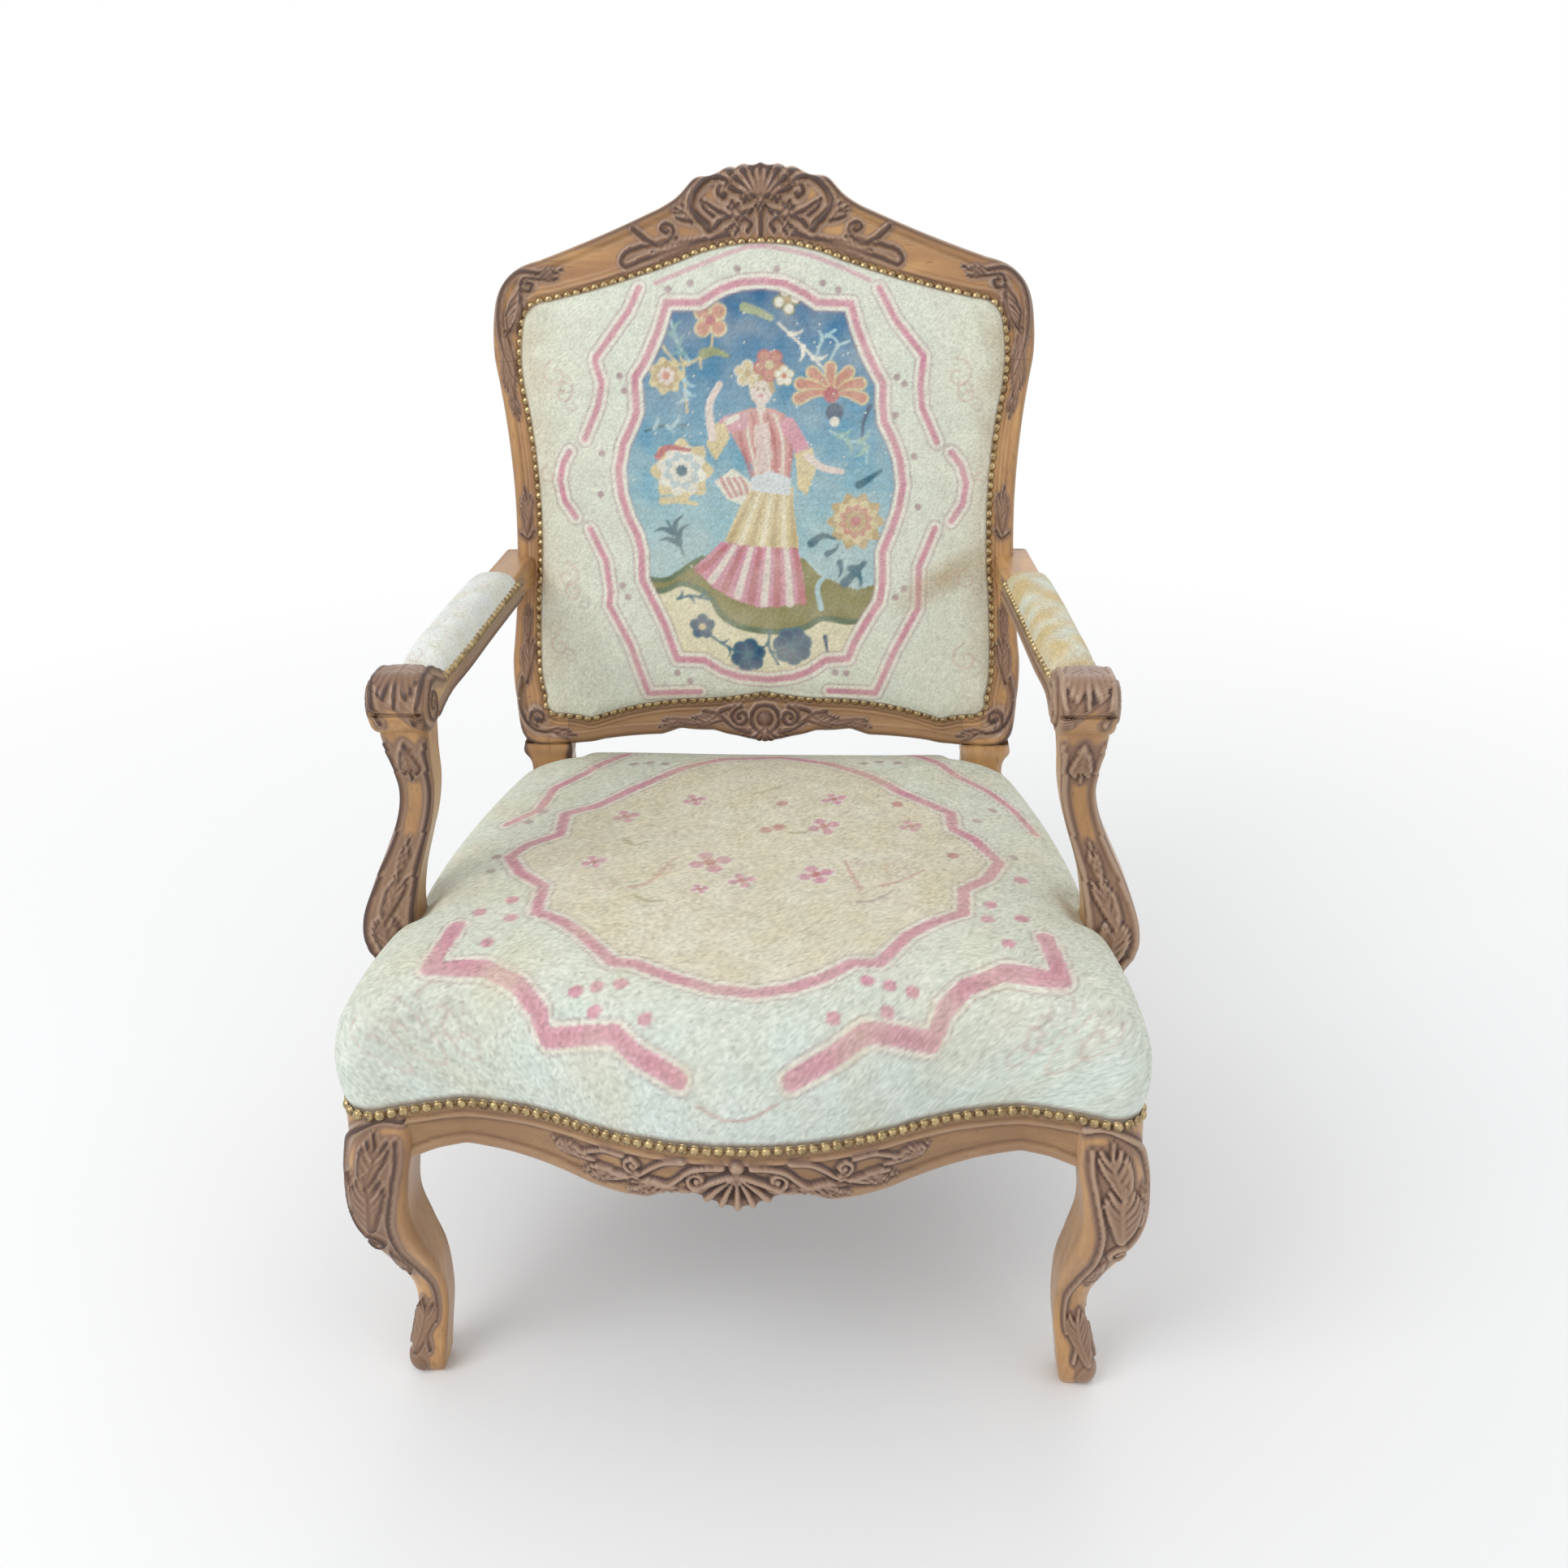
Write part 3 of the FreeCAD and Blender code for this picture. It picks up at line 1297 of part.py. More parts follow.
def back_stuffing():
    """Stuffing between the webs and the cover of the back."""
    body = soft_back(COVER_THICKNESS + SKIN_GAP, PANEL_REBATE + 4.0)
    limit = PANEL_REBATE - 2 * WEB_THICKNESS - SKIN_GAP
    return leaning(single(body.common(box(-FAR, FAR, -FAR, limit, -FAR, FAR))))


def back_webbing():
    """Webs across the opening of the back, and webs up in front of them."""
    floor = PANEL_REBATE
    limit = back_prism(panel_outline(6.0), floor - 2 * WEB_THICKNESS, floor)
    middle_s = (PANEL_TOP_S + PANEL_HOLLOW_S) / 2
    between = floor - WEB_THICKNESS
    front = floor - 2 * WEB_THICKNESS
    half = WEB_WIDTH / 2
    across = [
        box(-FAR, FAR, between, floor, s - half, s + half)
        for s in spread(5, middle_s, BACK_CROSS_WEB_PITCH)
    ]
    upright = [box(x - half, x + half, front, between, -FAR, FAR) for x in spread(4, 0.0, BACK_WEB_PITCH)]
    return leaning(group([single(web.common(limit)) for web in across + upright]))


def outside_back_cover():
    """Cloth tacked over the rear of the back frame."""
    sheet = back_prism(panel_outline(4.0), BACK_THICKNESS, BACK_THICKNESS + COVER_THICKNESS)
    return leaning(single(sheet))


def pad_form(shrink):
    """Crowned pad over the arm, drawn in at its ends and along its lower edges."""
    length = ARM_PAD_REAR_Y - ARM_PAD_FRONT_Y
    rings = []
    for share, swell in PAD_SWELL:
        y = ARM_PAD_FRONT_Y + shrink + (length - 2 * shrink) * share
        x = arm_centre_x(y)
        half = ARM_HALF_WIDTH + 0.8 + 1.8 * swell - shrink
        shoulder = ARM_TOP_Z + 1.0 + 8.0 * swell - shrink * 0.5
        crown = 4.0 + (ARM_PAD_CROWN_Z - ARM_TOP_Z - 13.0) * swell - shrink * 0.4
        foot = ARM_TOP_Z - ARM_PAD_LAP + 0.3
        points = [
            (x - half + 1.5, foot, 0.0),
            (x - half, shoulder, 0.0),
            (x + half, shoulder, crown),
            (x + half - 1.5, foot, 0.0),
        ]
        rings.append(chorded(points, [1, PAD_CROWN_CHORDS, 1, 1], elevation(y)))
    return loft(rings)


def pad_room(grow):
    """Top of the arm inside the pad's cloth."""
    return pad_block(-4.0 + grow, ARM_TOP_Z - ARM_PAD_LAP - 5.0, ARM_TOP_Z + grow)


def arm_pad_cover():
    skin = pad_form(0.0).cut(pad_form(COVER_THICKNESS))
    return single(skin.cut(pad_room(SKIN_GAP)))


def arm_pad_stuffing():
    body = pad_form(COVER_THICKNESS + SKIN_GAP)
    body = body.cut(box(0.0, FAR, -FAR, FAR, 0.0, ARM_TOP_Z + SKIN_GAP))
    return single(body)


# The whole chair


def build():
    blocks = corner_blocks()
    pieces = {}
    pieces.update(pair("front_leg", single(front_leg().cut(seat_pegs_front(FIT)))))
    pieces.update(pair("back_post", back_post()))
    front = front_seat_rail().cut(seat_pegs_front(FIT)).cut(mirrored(seat_pegs_front(FIT)))
    pieces["front_seat_rail"] = single(front)
    side = side_seat_rail().cut(seat_pegs_front(FIT)).cut(seat_pegs_rear(FIT))
    pieces.update(pair("side_seat_rail", single(side)))
    rear = rear_seat_rail().cut(seat_pegs_rear(FIT)).cut(mirrored(seat_pegs_rear(FIT)))
    pieces["rear_seat_rail"] = single(rear)
    pieces["crest_rail"] = crest_rail()
    pieces["lower_back_rail"] = lower_back_rail()
    pieces.update(pair("arm", arm()))
    pieces.update(pair("arm_support", arm_support()))
    pieces["corner_blocks"] = group(blocks)
    seat_pegs = seat_pegs_front().Solids + seat_pegs_rear().Solids
    pieces["seat_frame_pegs"] = group(seat_pegs + [mirrored(one) for one in seat_pegs])
    back_pegs = leaning(back_pegs_of_stile()).Solids
    pieces["back_frame_pegs"] = group(back_pegs + [mirrored(one) for one in back_pegs])
    pieces["arm_screws"] = group([arm_screw(), mirrored(arm_screw())])
    pieces["arm_support_screws"] = group([console_screw(), mirrored(console_screw())])
    pieces["seat_webbing"] = seat_webbing()
    pieces["seat_hessian"] = seat_hessian()
    pieces["seat_stuffing"] = seat_stuffing()
    pieces["seat_cover"] = seat_cover()
    pieces["seat_bottom_cloth"] = seat_bottom_cloth()
    pieces["back_webbing"] = back_webbing()
    pieces["back_stuffing"] = back_stuffing()
    pieces["back_cover"] = back_cover()
    pieces["outside_back_cover"] = outside_back_cover()
    pieces.update(pair("arm_pad_stuffing", arm_pad_stuffing()))
    pieces.update(pair("arm_pad_cover", arm_pad_cover()))
    return pieces


def place_origin(pieces):
    """Moves the chair so that its origin is the middle of its footprint on the floor."""
    whole = group(list(pieces.values())).optimalBoundingBox(False, False)
    shift = vec(0, -(whole.YMin + whole.YMax) / 2, 0)
    for shape in pieces.values():
        shape.translate(shift)
    return shift


def main():
    os.makedirs("parts", exist_ok=True)
    pieces = build()
    shift = place_origin(pieces)
    print("moved by", round(shift.y, 3))
    for name, shape in pieces.items():
        assert shape.isValid(), name
        shape.exportStep("parts/" + name + ".step")


main()
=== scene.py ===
import math

import bpy
import numpy as np
from mathutils import Matrix, Vector


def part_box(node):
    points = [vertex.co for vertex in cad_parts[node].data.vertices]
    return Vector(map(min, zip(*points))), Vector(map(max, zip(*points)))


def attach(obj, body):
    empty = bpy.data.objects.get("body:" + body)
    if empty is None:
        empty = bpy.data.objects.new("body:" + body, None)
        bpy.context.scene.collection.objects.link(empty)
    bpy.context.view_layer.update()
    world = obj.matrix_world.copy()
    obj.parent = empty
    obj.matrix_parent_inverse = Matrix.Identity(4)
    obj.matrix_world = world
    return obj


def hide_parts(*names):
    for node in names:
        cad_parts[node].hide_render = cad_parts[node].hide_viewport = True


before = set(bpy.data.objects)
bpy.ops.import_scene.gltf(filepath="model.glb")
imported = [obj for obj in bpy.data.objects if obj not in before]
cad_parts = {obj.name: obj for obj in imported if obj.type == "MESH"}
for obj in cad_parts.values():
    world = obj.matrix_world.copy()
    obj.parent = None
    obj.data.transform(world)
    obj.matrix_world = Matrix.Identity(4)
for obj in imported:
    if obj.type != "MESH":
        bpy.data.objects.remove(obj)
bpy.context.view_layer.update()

# The chair is drawn in millimetres from a zero in the middle of the seat: x to the sitter's
# left, y to the rear, z up. SHIFT_Y takes it to the row's frame.
SEAT_REAR_Y = 234.0
SHIFT_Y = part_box("rear_seat_rail")[1][1] * 1000 - SEAT_REAR_Y
RAKE = math.radians(12.46)
BACK_FOOT_Y = 201.2
BACK_FOOT_Z = 450.0
NAIL_Z = 320.0
NAIL_PITCH = 9.8


# Outlines


def arc(a, b, bulge, step):
    """Points from a up to b, which is left out, along an arc that stands out by the bulge."""
    a = np.array(a, float)
    b = np.array(b, float)
    chord = b - a
    length = np.hypot(*chord)
    count = max(1, int(round(length / step)))
    share = np.arange(count) / count
    side = np.array([-chord[1], chord[0]]) / length
    if abs(bulge) < 1e-6:
        return a + chord * share[:, None]
    radius = (length * length / 4 + bulge * bulge) / (2 * abs(bulge))
    along = (share - 0.5) * length
    rise = np.sqrt(radius**2 - along**2) - (radius - abs(bulge))
    return a + chord * share[:, None] + side * (np.sign(bulge) * rise)[:, None]


def trace(half, step=1.0):
    """Closed clockwise line from the right half of an outline, given from top to foot."""
    points = []
    for here, there in zip(half, half[1:]):
        points.append(arc(here[:2], there[:2], there[2], step))
    right = np.concatenate(points + [np.array([half[-1][:2]])])
    left = right[1:-1][::-1] * (-1, 1)
    return np.concatenate([right, left])


def spaced(points, count=None, step=None, closed=True):
    """The same line with evenly spaced points."""
    line = np.concatenate([points, points[:1]]) if closed else np.asarray(points, float)
    gaps = np.linalg.norm(np.diff(line, axis=0), axis=1)
    at = np.concatenate([[0.0], np.cumsum(gaps)])
    if count is None:
        count = max(2, int(round(at[-1] / step)))
    where = np.linspace(0.0, at[-1], count + 1) if closed else np.linspace(0.0, at[-1], count)
    if closed:
        where = where[:-1]
    return np.stack([np.interp(where, at, line[:, k]) for k in range(line.shape[1])], 1)


def softened(points, passes):
    """A closed line with its corners rounded."""
    for _ in range(passes):
        points = (np.roll(points, 1, 0) + 2 * points + np.roll(points, -1, 0)) / 4
    return points


def outward(points):
    """Unit normals of a closed clockwise line, pointing out of it."""
    run = np.roll(points, -1, 0) - np.roll(points, 1, 0)
    run /= np.linalg.norm(run, axis=1)[:, None] + 1e-9
    return np.stack([-run[:, 1], run[:, 0]], 1)


def curve(points, step=1.5):
    """Smooth open line through a few points."""
    points = np.array(points, float)
    ends = np.concatenate([[2 * points[0] - points[1]], points, [2 * points[-1] - points[-2]]])
    share = np.linspace(0, 1, 12, endpoint=False)[:, None]
    line = []
    for k in range(len(points) - 1):
        p0, p1, p2, p3 = ends[k:k + 4]
        line.append(
            0.5
            * (
                2 * p1
                + (p2 - p0) * share
                + (2 * p0 - 5 * p1 + 4 * p2 - p3) * share**2
                + (3 * p1 - p0 - 3 * p2 + p3) * share**3
            )
        )
    line.append(points[-1:])
    return spaced(np.concatenate(line), step=step, closed=False)


def outline(half, count, passes):
    """Closed line of even points from the right half of an outline, with soft corners."""
    return softened(spaced(trace(half), count=count), passes)


# Right half of each outline from its top to its foot: x, then y or the way up the back, then
# how far the arc from the point before stands out

SEAT_HALF = [
    (0.0, 234.0, 0.0),
    (264.0, 234.0, 0.0),
    (268.0, 196.0, 0.0),
    (318.0, -108.0, 11.0),
    (341.0, -262.0, 6.0),
    (306.0, -285.0, 11.0),
    (240.0, -267.0, -2.0),
    (133.0, -297.0, -6.0),
    (0.0, -327.0, 7.5),
]
BACK_HALF = [
    (0.0, 587.0, 0.0),
    (30.0, 585.0, 0.5),
    (63.0, 574.5, 1.5),
    (84.0, 559.0, 1.0),
    (112.0, 544.0, -1.0),
    (233.0, 497.0, -1.5),
    (274.0, 457.0, 9.0),
    (277.0, 400.0, 2.0),
    (262.3, 252.0, -3.0),
    (272.5, 92.0, -3.0),
    (268.5, 29.0, 2.0),
    (264.0, -7.0, 1.0),
    (200.0, -4.0, 0.0),
    (112.0, 6.0, -2.0),
    (92.0, 13.0, 0.0),
    (55.0, 11.0, 1.0),
    (30.0, 4.5, 1.0),
    (0.0, -1.0, 1.0),
]
PANEL_HALF = [
    (0.0, 513.5, 0.0),
    (80.0, 497.0, 4.125),
    (218.0, 458.5, -2.5),
    (245.0, 435.0, 7.0),
    (243.0, 357.0, 4.0),
    (235.1, 190.0, -4.5),
    (240.5, 88.0, 1.0),
    (235.5, 48.0, 1.5),
    (224.0, 30.0, 6.0),
    (190.0, 25.0, -1.5),
    (71.0, 47.0, -5.0),
    (0.0, 54.7, 1.5),
]
SEAT_LINE = outline(SEAT_HALF, 2400, 12)
PANEL_LINE = outline(PANEL_HALF, 1300, 8)
SEAT_HALF_WIDTH = 341.0
PANEL_HALF_WIDTH = 245.0
CREST_FOOT = 400.0
SHOULDER_X = 240.0
LOWER_RAIL_TOP = 90.0
POST_INNER_X = 213.0
POST_FRONT_Y = 196.0


# Surfaces: a grid of points, rows by columns, in millimetres


def grid_faces(rows, cols, wrap_rows, wrap_cols, start):
    """Quads of a grid whose first point has the index start."""
    r = np.arange(rows if wrap_rows else rows - 1)
    c = np.arange(cols if wrap_cols else cols - 1)
    r0, c0 = np.meshgrid(r, c, indexing="ij")
    r1 = (r0 + 1) % rows
    c1 = (c0 + 1) % cols
    quads = np.stack([r0 * cols + c0, r0 * cols + c1, r1 * cols + c1, r1 * cols + c0], -1)
    return quads.reshape(-1, 4) + start


def grid_normals(points, wrap_rows, wrap_cols):
    """Unit normal of a grid at each of its points."""

    def slope(axis, wrap):
        ahead = np.roll(points, -1, axis)
        behind = np.roll(points, 1, axis)
        if not wrap:
            first = [slice(None)] * 3
            last = [slice(None)] * 3
            first[axis] = 0
            last[axis] = -1
            behind[tuple(first)] = points[tuple(first)]
            ahead[tuple(last)] = points[tuple(last)]
        return ahead - behind

    normal = np.cross(slope(1, wrap_cols), slope(0, wrap_rows))
    return normal / (np.linalg.norm(normal, axis=-1, keepdims=True) + 1e-9)


def hollows(points, normals, wrap_rows, wrap_cols, reach=2):
    """How far each point lies below its neighbours: over 0 in a recess, under 0 on an edge."""
    total = np.zeros(points.shape[:2])
    for axis, wrap in ((0, wrap_rows), (1, wrap_cols)):
        both = np.roll(points, reach, axis) + np.roll(points, -reach, axis) - 2 * points
        if not wrap:
            ends = [slice(None), slice(None)]
            for edge in (slice(0, reach), slice(-reach, None)):
                ends[axis] = edge
                both[tuple(ends)] = 0
        total += (both * normals).sum(-1)
    return total


def spread_out(mask, passes):
    """A mask of carved places, widened and with soft edges."""
    field = mask.astype(float)
    for _ in range(passes):
        for axis in (0, 1):
            ahead = np.roll(field, 1, axis)
            behind = np.roll(field, -1, axis)
            field = np.maximum(field, (ahead + behind + field) / 2.4).clip(0, 1)
    return field


class Grid:
    """One grid of a piece, with what its material reads at each point."""

    def __init__(self, points, wrap_rows=False, wrap_cols=False, caps=False, colour=None, carved=None):
        self.points = points
        self.wrap_rows = wrap_rows
        self.wrap_cols = wrap_cols
        self.caps = caps
        self.colour = colour
        self.carved = np.zeros(points.shape[:2]) if carved is None else carved
        self.normals = grid_normals(points, wrap_rows, wrap_cols)

    def raised(self, height):
        """The same grid with each point moved out along its normal."""
        moved = self.points + self.normals * height[..., None]
        carved = spread_out(height > 0.4, 6)
        return Grid(moved, self.wrap_rows, self.wrap_cols, self.caps, self.colour, carved)

    def flipped(self):
        """The same grid with its columns, and so its normals, the other way round."""
        colour = None if self.colour is None else self.colour[:, ::-1]
        carved = self.carved[:, ::-1]
        return Grid(self.points[:, ::-1], self.wrap_rows, self.wrap_cols, self.caps, colour, carved)

    def mirrored(self):
        """The same grid on the other side of the chair."""
        turned = self.flipped()
        turned.points = turned.points * (-1, 1, 1)
        turned.normals = turned.normals * (-1, 1, 1)
        return turned


def piece(name, grids, material, nodes=()):
    """One object made of grids, which stands for the CAD nodes named."""
    points = []
    quads = []
    caps = []
    hollow = []
    carved = []
    colours = []
    start = 0
    for grid in grids:
        rows, cols = grid.points.shape[:2]
        points.append(grid.points.reshape(-1, 3))
        quads.append(grid_faces(rows, cols, grid.wrap_rows, grid.wrap_cols, start))
        depth = hollows(grid.points, grid.normals, grid.wrap_rows, grid.wrap_cols)
        depth = np.where(grid.carved < 0, 0.0, depth)
        hollow.append(depth.reshape(-1))
        carved.append(grid.carved.reshape(-1))
        if grid.colour is not None:
            colours.append(grid.colour.reshape(-1, 3))
        if grid.caps:
            caps.append(start + np.arange(cols))
            caps.append(start + (rows - 1) * cols + np.arange(cols)[::-1])
        start += rows * cols
    points = np.concatenate(points)
    quads = np.concatenate(quads)
    loops = np.concatenate([quads.reshape(-1)] + caps)
    totals = np.concatenate([np.full(len(quads), 4), np.array([len(c) for c in caps], int)])
    mesh = bpy.data.meshes.new(name)
    mesh.vertices.add(len(points))
    placed = (points + (0, SHIFT_Y, 0)) / 1000
    mesh.vertices.foreach_set("co", placed.astype(np.float32).ravel())
    mesh.loops.add(len(loops))
    mesh.loops.foreach_set("vertex_index", loops.astype(np.int32))
    mesh.polygons.add(len(totals))
    firsts = np.concatenate([[0], np.cumsum(totals)[:-1]])
    mesh.polygons.foreach_set("loop_start", firsts.astype(np.int32))
    mesh.polygons.foreach_set("use_smooth", np.full(len(totals), True))
    mesh.update(calc_edges=True)
    for key, values in (("hollow", hollow), ("carved", carved)):
        layer = mesh.attributes.new(key, "FLOAT", "POINT")
        layer.data.foreach_set("value", np.concatenate(values).astype(np.float32))
    if colours:
        tint = np.ones((len(points), 4), np.float32)
        tint[:, :3] = np.concatenate(colours)
        layer = mesh.attributes.new("needlework", "FLOAT_COLOR", "POINT")
        layer.data.foreach_set("color", tint.ravel())
    mesh.validate()
    mesh.materials.append(material)
    obj = bpy.data.objects.new(name, mesh)
    bpy.context.scene.collection.objects.link(obj)
    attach(obj, "root")
    if nodes:
        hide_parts(*nodes)
    return obj


def leaning(points):
    """From the plane of the back (x, depth behind its face, s up its slope) to the chair."""
    x, depth, s = points[..., 0], points[..., 1], points[..., 2]
    y = BACK_FOOT_Y + s * math.sin(RAKE) + depth * math.cos(RAKE)
    z = BACK_FOOT_Z + s * math.cos(RAKE) - depth * math.sin(RAKE)
    return np.stack([x, y, z], -1)


# Relief: mouldings and carving, as heights over a plain surface


def ridge(distance, centre, half_width, height):
    """Round moulding along a line at a distance."""
    share = np.clip(np.abs(distance - centre) / half_width, 0, 1)
    return height * np.sqrt(1 - share**2)


def rounding(to_edge, radius):
    """How far a rounded edge falls away, for the distance to its end."""
    near = np.clip(radius - to_edge, 0, radius)
    return radius - np.sqrt(radius**2 - near**2)


def stroke(u, v, line, radius, height, end=None):
    """Height of a round carved stroke along a line, its half width going from radius to end."""
    end = radius if end is None else end
    line = np.asarray(line, float)
    result = np.zeros(u.shape)
    low = line.min(0) - max(radius, end)
    high = line.max(0) + max(radius, end)
    near = (u > low[0]) & (u < high[0]) & (v > low[1]) & (v < high[1])
    if not near.any():
        return result
    p = np.stack([u[near], v[near]], 1)
    best = np.full(len(p), np.inf)
    count = len(line) - 1
    for k in range(count):
        a = line[k]
        run = line[k + 1] - a
        share = np.clip(((p - a) @ run) / (run @ run + 1e-9), 0, 1)
        away = np.linalg.norm(p - a - share[:, None] * run, axis=1)
        width = radius + (end - radius) * (k + share) / count
        best = np.minimum(best, away / np.maximum(width, 0.05))
    result[near] = height * np.sqrt(np.maximum(1 - best**2, 0))
    return result


def leaf(u, v, foot, tip, width, height, bend=0.0, veins=4):
    """Carved leaf: a lens of tapered lobes either side of a groove."""
    foot = np.array(foot, float)
    tip = np.array(tip, float)
    run = tip - foot
    side = np.array([-run[1], run[0]])
    stem = curve([foot, (foot + tip) / 2 + side * bend, tip], 2.0)
    result = np.zeros(u.shape)
    for k in range(veins):
        share = (k + 0.4) / (veins + 0.3)
        base = stem[int(share * 0.75 * (len(stem) - 1))]
        spread = width * math.sin(math.pi * (0.25 + 0.65 * share)) * 0.5
        for turn in (-1, 1):
            aside = side / np.hypot(*side) * turn * spread
            reach = base + run * (0.32 * (1 - share) + 0.2) + aside
            middle = (base + reach) / 2 + aside * 0.18
            lobe = curve([base, middle, reach], 2.0)
            result = np.maximum(result, stroke(u, v, lobe, width * 0.2, height, width * 0.08))
    vein = stroke(u, v, stem, width * 0.15, height * 1.15, width * 0.05)
    return np.maximum(result, vein)


def dome(u, v, centre, radius, height):
    """Round boss."""
    away = np.hypot(u - centre[0], v - centre[1]) / radius
    return height * np.sqrt(np.clip(1 - away**2, 0, 1))


def blossom(u, v, centre, radius, height, petals=5):
    """Small carved flower."""
    du = u - centre[0]
    dv = v - centre[1]
    away = np.hypot(du, dv) / radius
    turn = np.arctan2(dv, du)
    edge = 0.82 + 0.18 * np.cos(petals * turn)
    share = np.clip(away / edge, 0, 1)
    petal = height * (1 - share**4) * (0.55 + 0.45 * share)
    return np.maximum(np.where(away < edge, petal, 0), dome(u, v, centre, radius * 0.28, height))


# Materials


def shader(name, roughness, **values):
    """A new material: its node tree, its principled node and its object coordinates."""
    material = bpy.data.materials.new(name)
    material.use_nodes = True
    tree = material.node_tree
    surface = tree.nodes["Principled BSDF"]
    surface.inputs["Roughness"].default_value = roughness
    for key, value in values.items():
        surface.inputs[key.replace("_", " ")].default_value = value
    place = tree.nodes.new("ShaderNodeTexCoord").outputs["Object"]
    return material, tree, surface, place


def added(tree, kind, **values):
    """A new node, with a number, a colour or another node's output in each input named."""
    node = tree.nodes.new(kind)
    for key, value in values.items():
        socket = node.inputs[key.replace("_", " ")]
        if isinstance(value, bpy.types.NodeSocket):
            tree.links.new(value, socket)
        else:
            socket.default_value = value
    return node


def noise(tree, place, scale, detail=4.0, stretch=None, rough=0.55):
    """Uneven field, drawn out along the axis whose stretch is small."""
    if stretch is not None:
        place = added(tree, "ShaderNodeMapping", Scale=stretch, Vector=place).outputs["Vector"]
    values = {"Scale": scale, "Detail": detail, "Roughness": rough, "Vector": place}
    return added(tree, "ShaderNodeTexNoise", **values).outputs["Fac"]


def between(tree, value, low, high, to_low=0.0, to_high=1.0):
    """Value mapped from one range to another, held at its ends."""
    ends = {"From Min": low, "From Max": high, "To Min": to_low, "To Max": to_high}
    return added(tree, "ShaderNodeMapRange", Value=value, **ends).outputs["Result"]


def maths(tree, kind, a, b):
    """Sum, product or the like of two values, each a socket or a number."""
    node = tree.nodes.new("ShaderNodeMath")
    node.operation = kind
    for socket, value in ((node.inputs[0], a), (node.inputs[1], b)):
        if isinstance(value, (int, float)):
            socket.default_value = value
        else:
            tree.links.new(value, socket)
    return node.outputs[0]


def blend(tree, factor, a, b, kind="MIX"):
    """Mix of two colours, each a socket or (r, g, b)."""
    node = tree.nodes.new("ShaderNodeMix")
    node.data_type = "RGBA"
    node.blend_type = kind
    if isinstance(factor, float):
        node.inputs["Factor"].default_value = factor
    else:
        tree.links.new(factor, node.inputs["Factor"])
    for socket, value in ((node.inputs["A"], a), (node.inputs["B"], b)):
        socket = [s for s in node.inputs if s.name == socket.name and s.type == "RGBA"][0]
        if isinstance(value, tuple):
            socket.default_value = (*value, 1.0)
        else:
            tree.links.new(value, socket)
    return [s for s in node.outputs if s.type == "RGBA"][0]


def bumped(tree, surface, height, distance, strength=1.0):
    """Let the light fall on a surface as if it stood up by the height."""
    values = {"Distance": distance, "Strength": strength, "Height": height}
    bump = added(tree, "ShaderNodeBump", **values)
    tree.links.new(bump.outputs["Normal"], surface.inputs["Normal"])


def attribute(tree, name):
    """Node that reads what a mesh says at each point."""
    node = tree.nodes.new("ShaderNodeAttribute")
    node.attribute_name = name
    return node


HONEY = (0.60, 0.335, 0.125)
RAIL_HONEY = (0.40, 0.225, 0.090)
UMBER = (0.36, 0.178, 0.070)
RAIL_UMBER = (0.26, 0.132, 0.055)
CARVED_BROWN = (0.205, 0.112, 0.074)
# Dark brown of wax in the pores and recesses, also used as painted shade in the recesses.
WAX_AND_SHADE_BROWN = (0.060, 0.026, 0.018)
# Light tone of the ridges: partly rubbed wear, partly a painted highlight.
RUBBED_AND_HIGHLIT = (0.52, 0.36, 0.25)
GRAIN_UP = (1.0, 1.0, 0.12)
GRAIN_ACROSS = (0.12, 1.0, 1.0)
GRAIN_ALONG = (1.0, 0.12, 1.0)


def carved_wood(name, stretch, light=HONEY, mid=UMBER, dark=WAX_AND_SHADE_BROWN):
    """Waxed wood: grain along the piece, dark wax with painted shade in the recesses, worn light edges
    with a painted highlight.
    """
    coat = {"Coat Weight": 0.4, "Coat Roughness": 0.22}
    material, tree, surface, place = shader(name, 0.42, **coat)
    grain = noise(tree, place, 70.0, 7.0, stretch, 0.62)
    pores = noise(tree, place, 420.0, 3.0, stretch)
    cloud = noise(tree, place, 7.0, 4.0)
    base = blend(tree, between(tree, grain, 0.32, 0.66), mid, light)
    base = blend(tree, between(tree, cloud, 0.42, 0.70, 0.0, 0.8), base, mid)
    base = blend(tree, between(tree, pores, 0.60, 0.74, 0.0, 0.45), base, dark)
    hollow = attribute(tree, "hollow").outputs["Fac"]
    carved = attribute(tree, "carved").outputs["Fac"]
    base = blend(tree, between(tree, carved, 0.15, 0.9, 0.0, 0.8), base, CARVED_BROWN)
    # Ridges get a lighter tone: partly rubbed wear, partly a painted highlight.
    worn = between(tree, hollow, -0.3, -4.5, 0.0, 0.6)
    base = blend(tree, worn, base, RUBBED_AND_HIGHLIT)
    # Recesses get a darker tone: partly wax in the hollows, partly painted shade.
    filled = between(tree, hollow, 0.2, 4.6, 0.0, 0.93)
    base = blend(tree, filled, base, dark)
    tree.links.new(base, surface.inputs["Base Color"])
    along_grain = between(tree, grain, 0.2, 0.8, 0.34, 0.5)
    in_hollows = between(tree, hollow, 0.0, 0.4, 0.0, 0.25)
    tree.links.new(maths(tree, "ADD", along_grain, in_hollows), surface.inputs["Roughness"])
    bumped(tree, surface, grain, 0.0004, 0.6)
    return material


# Back frame


FAR_OFF = 1e9


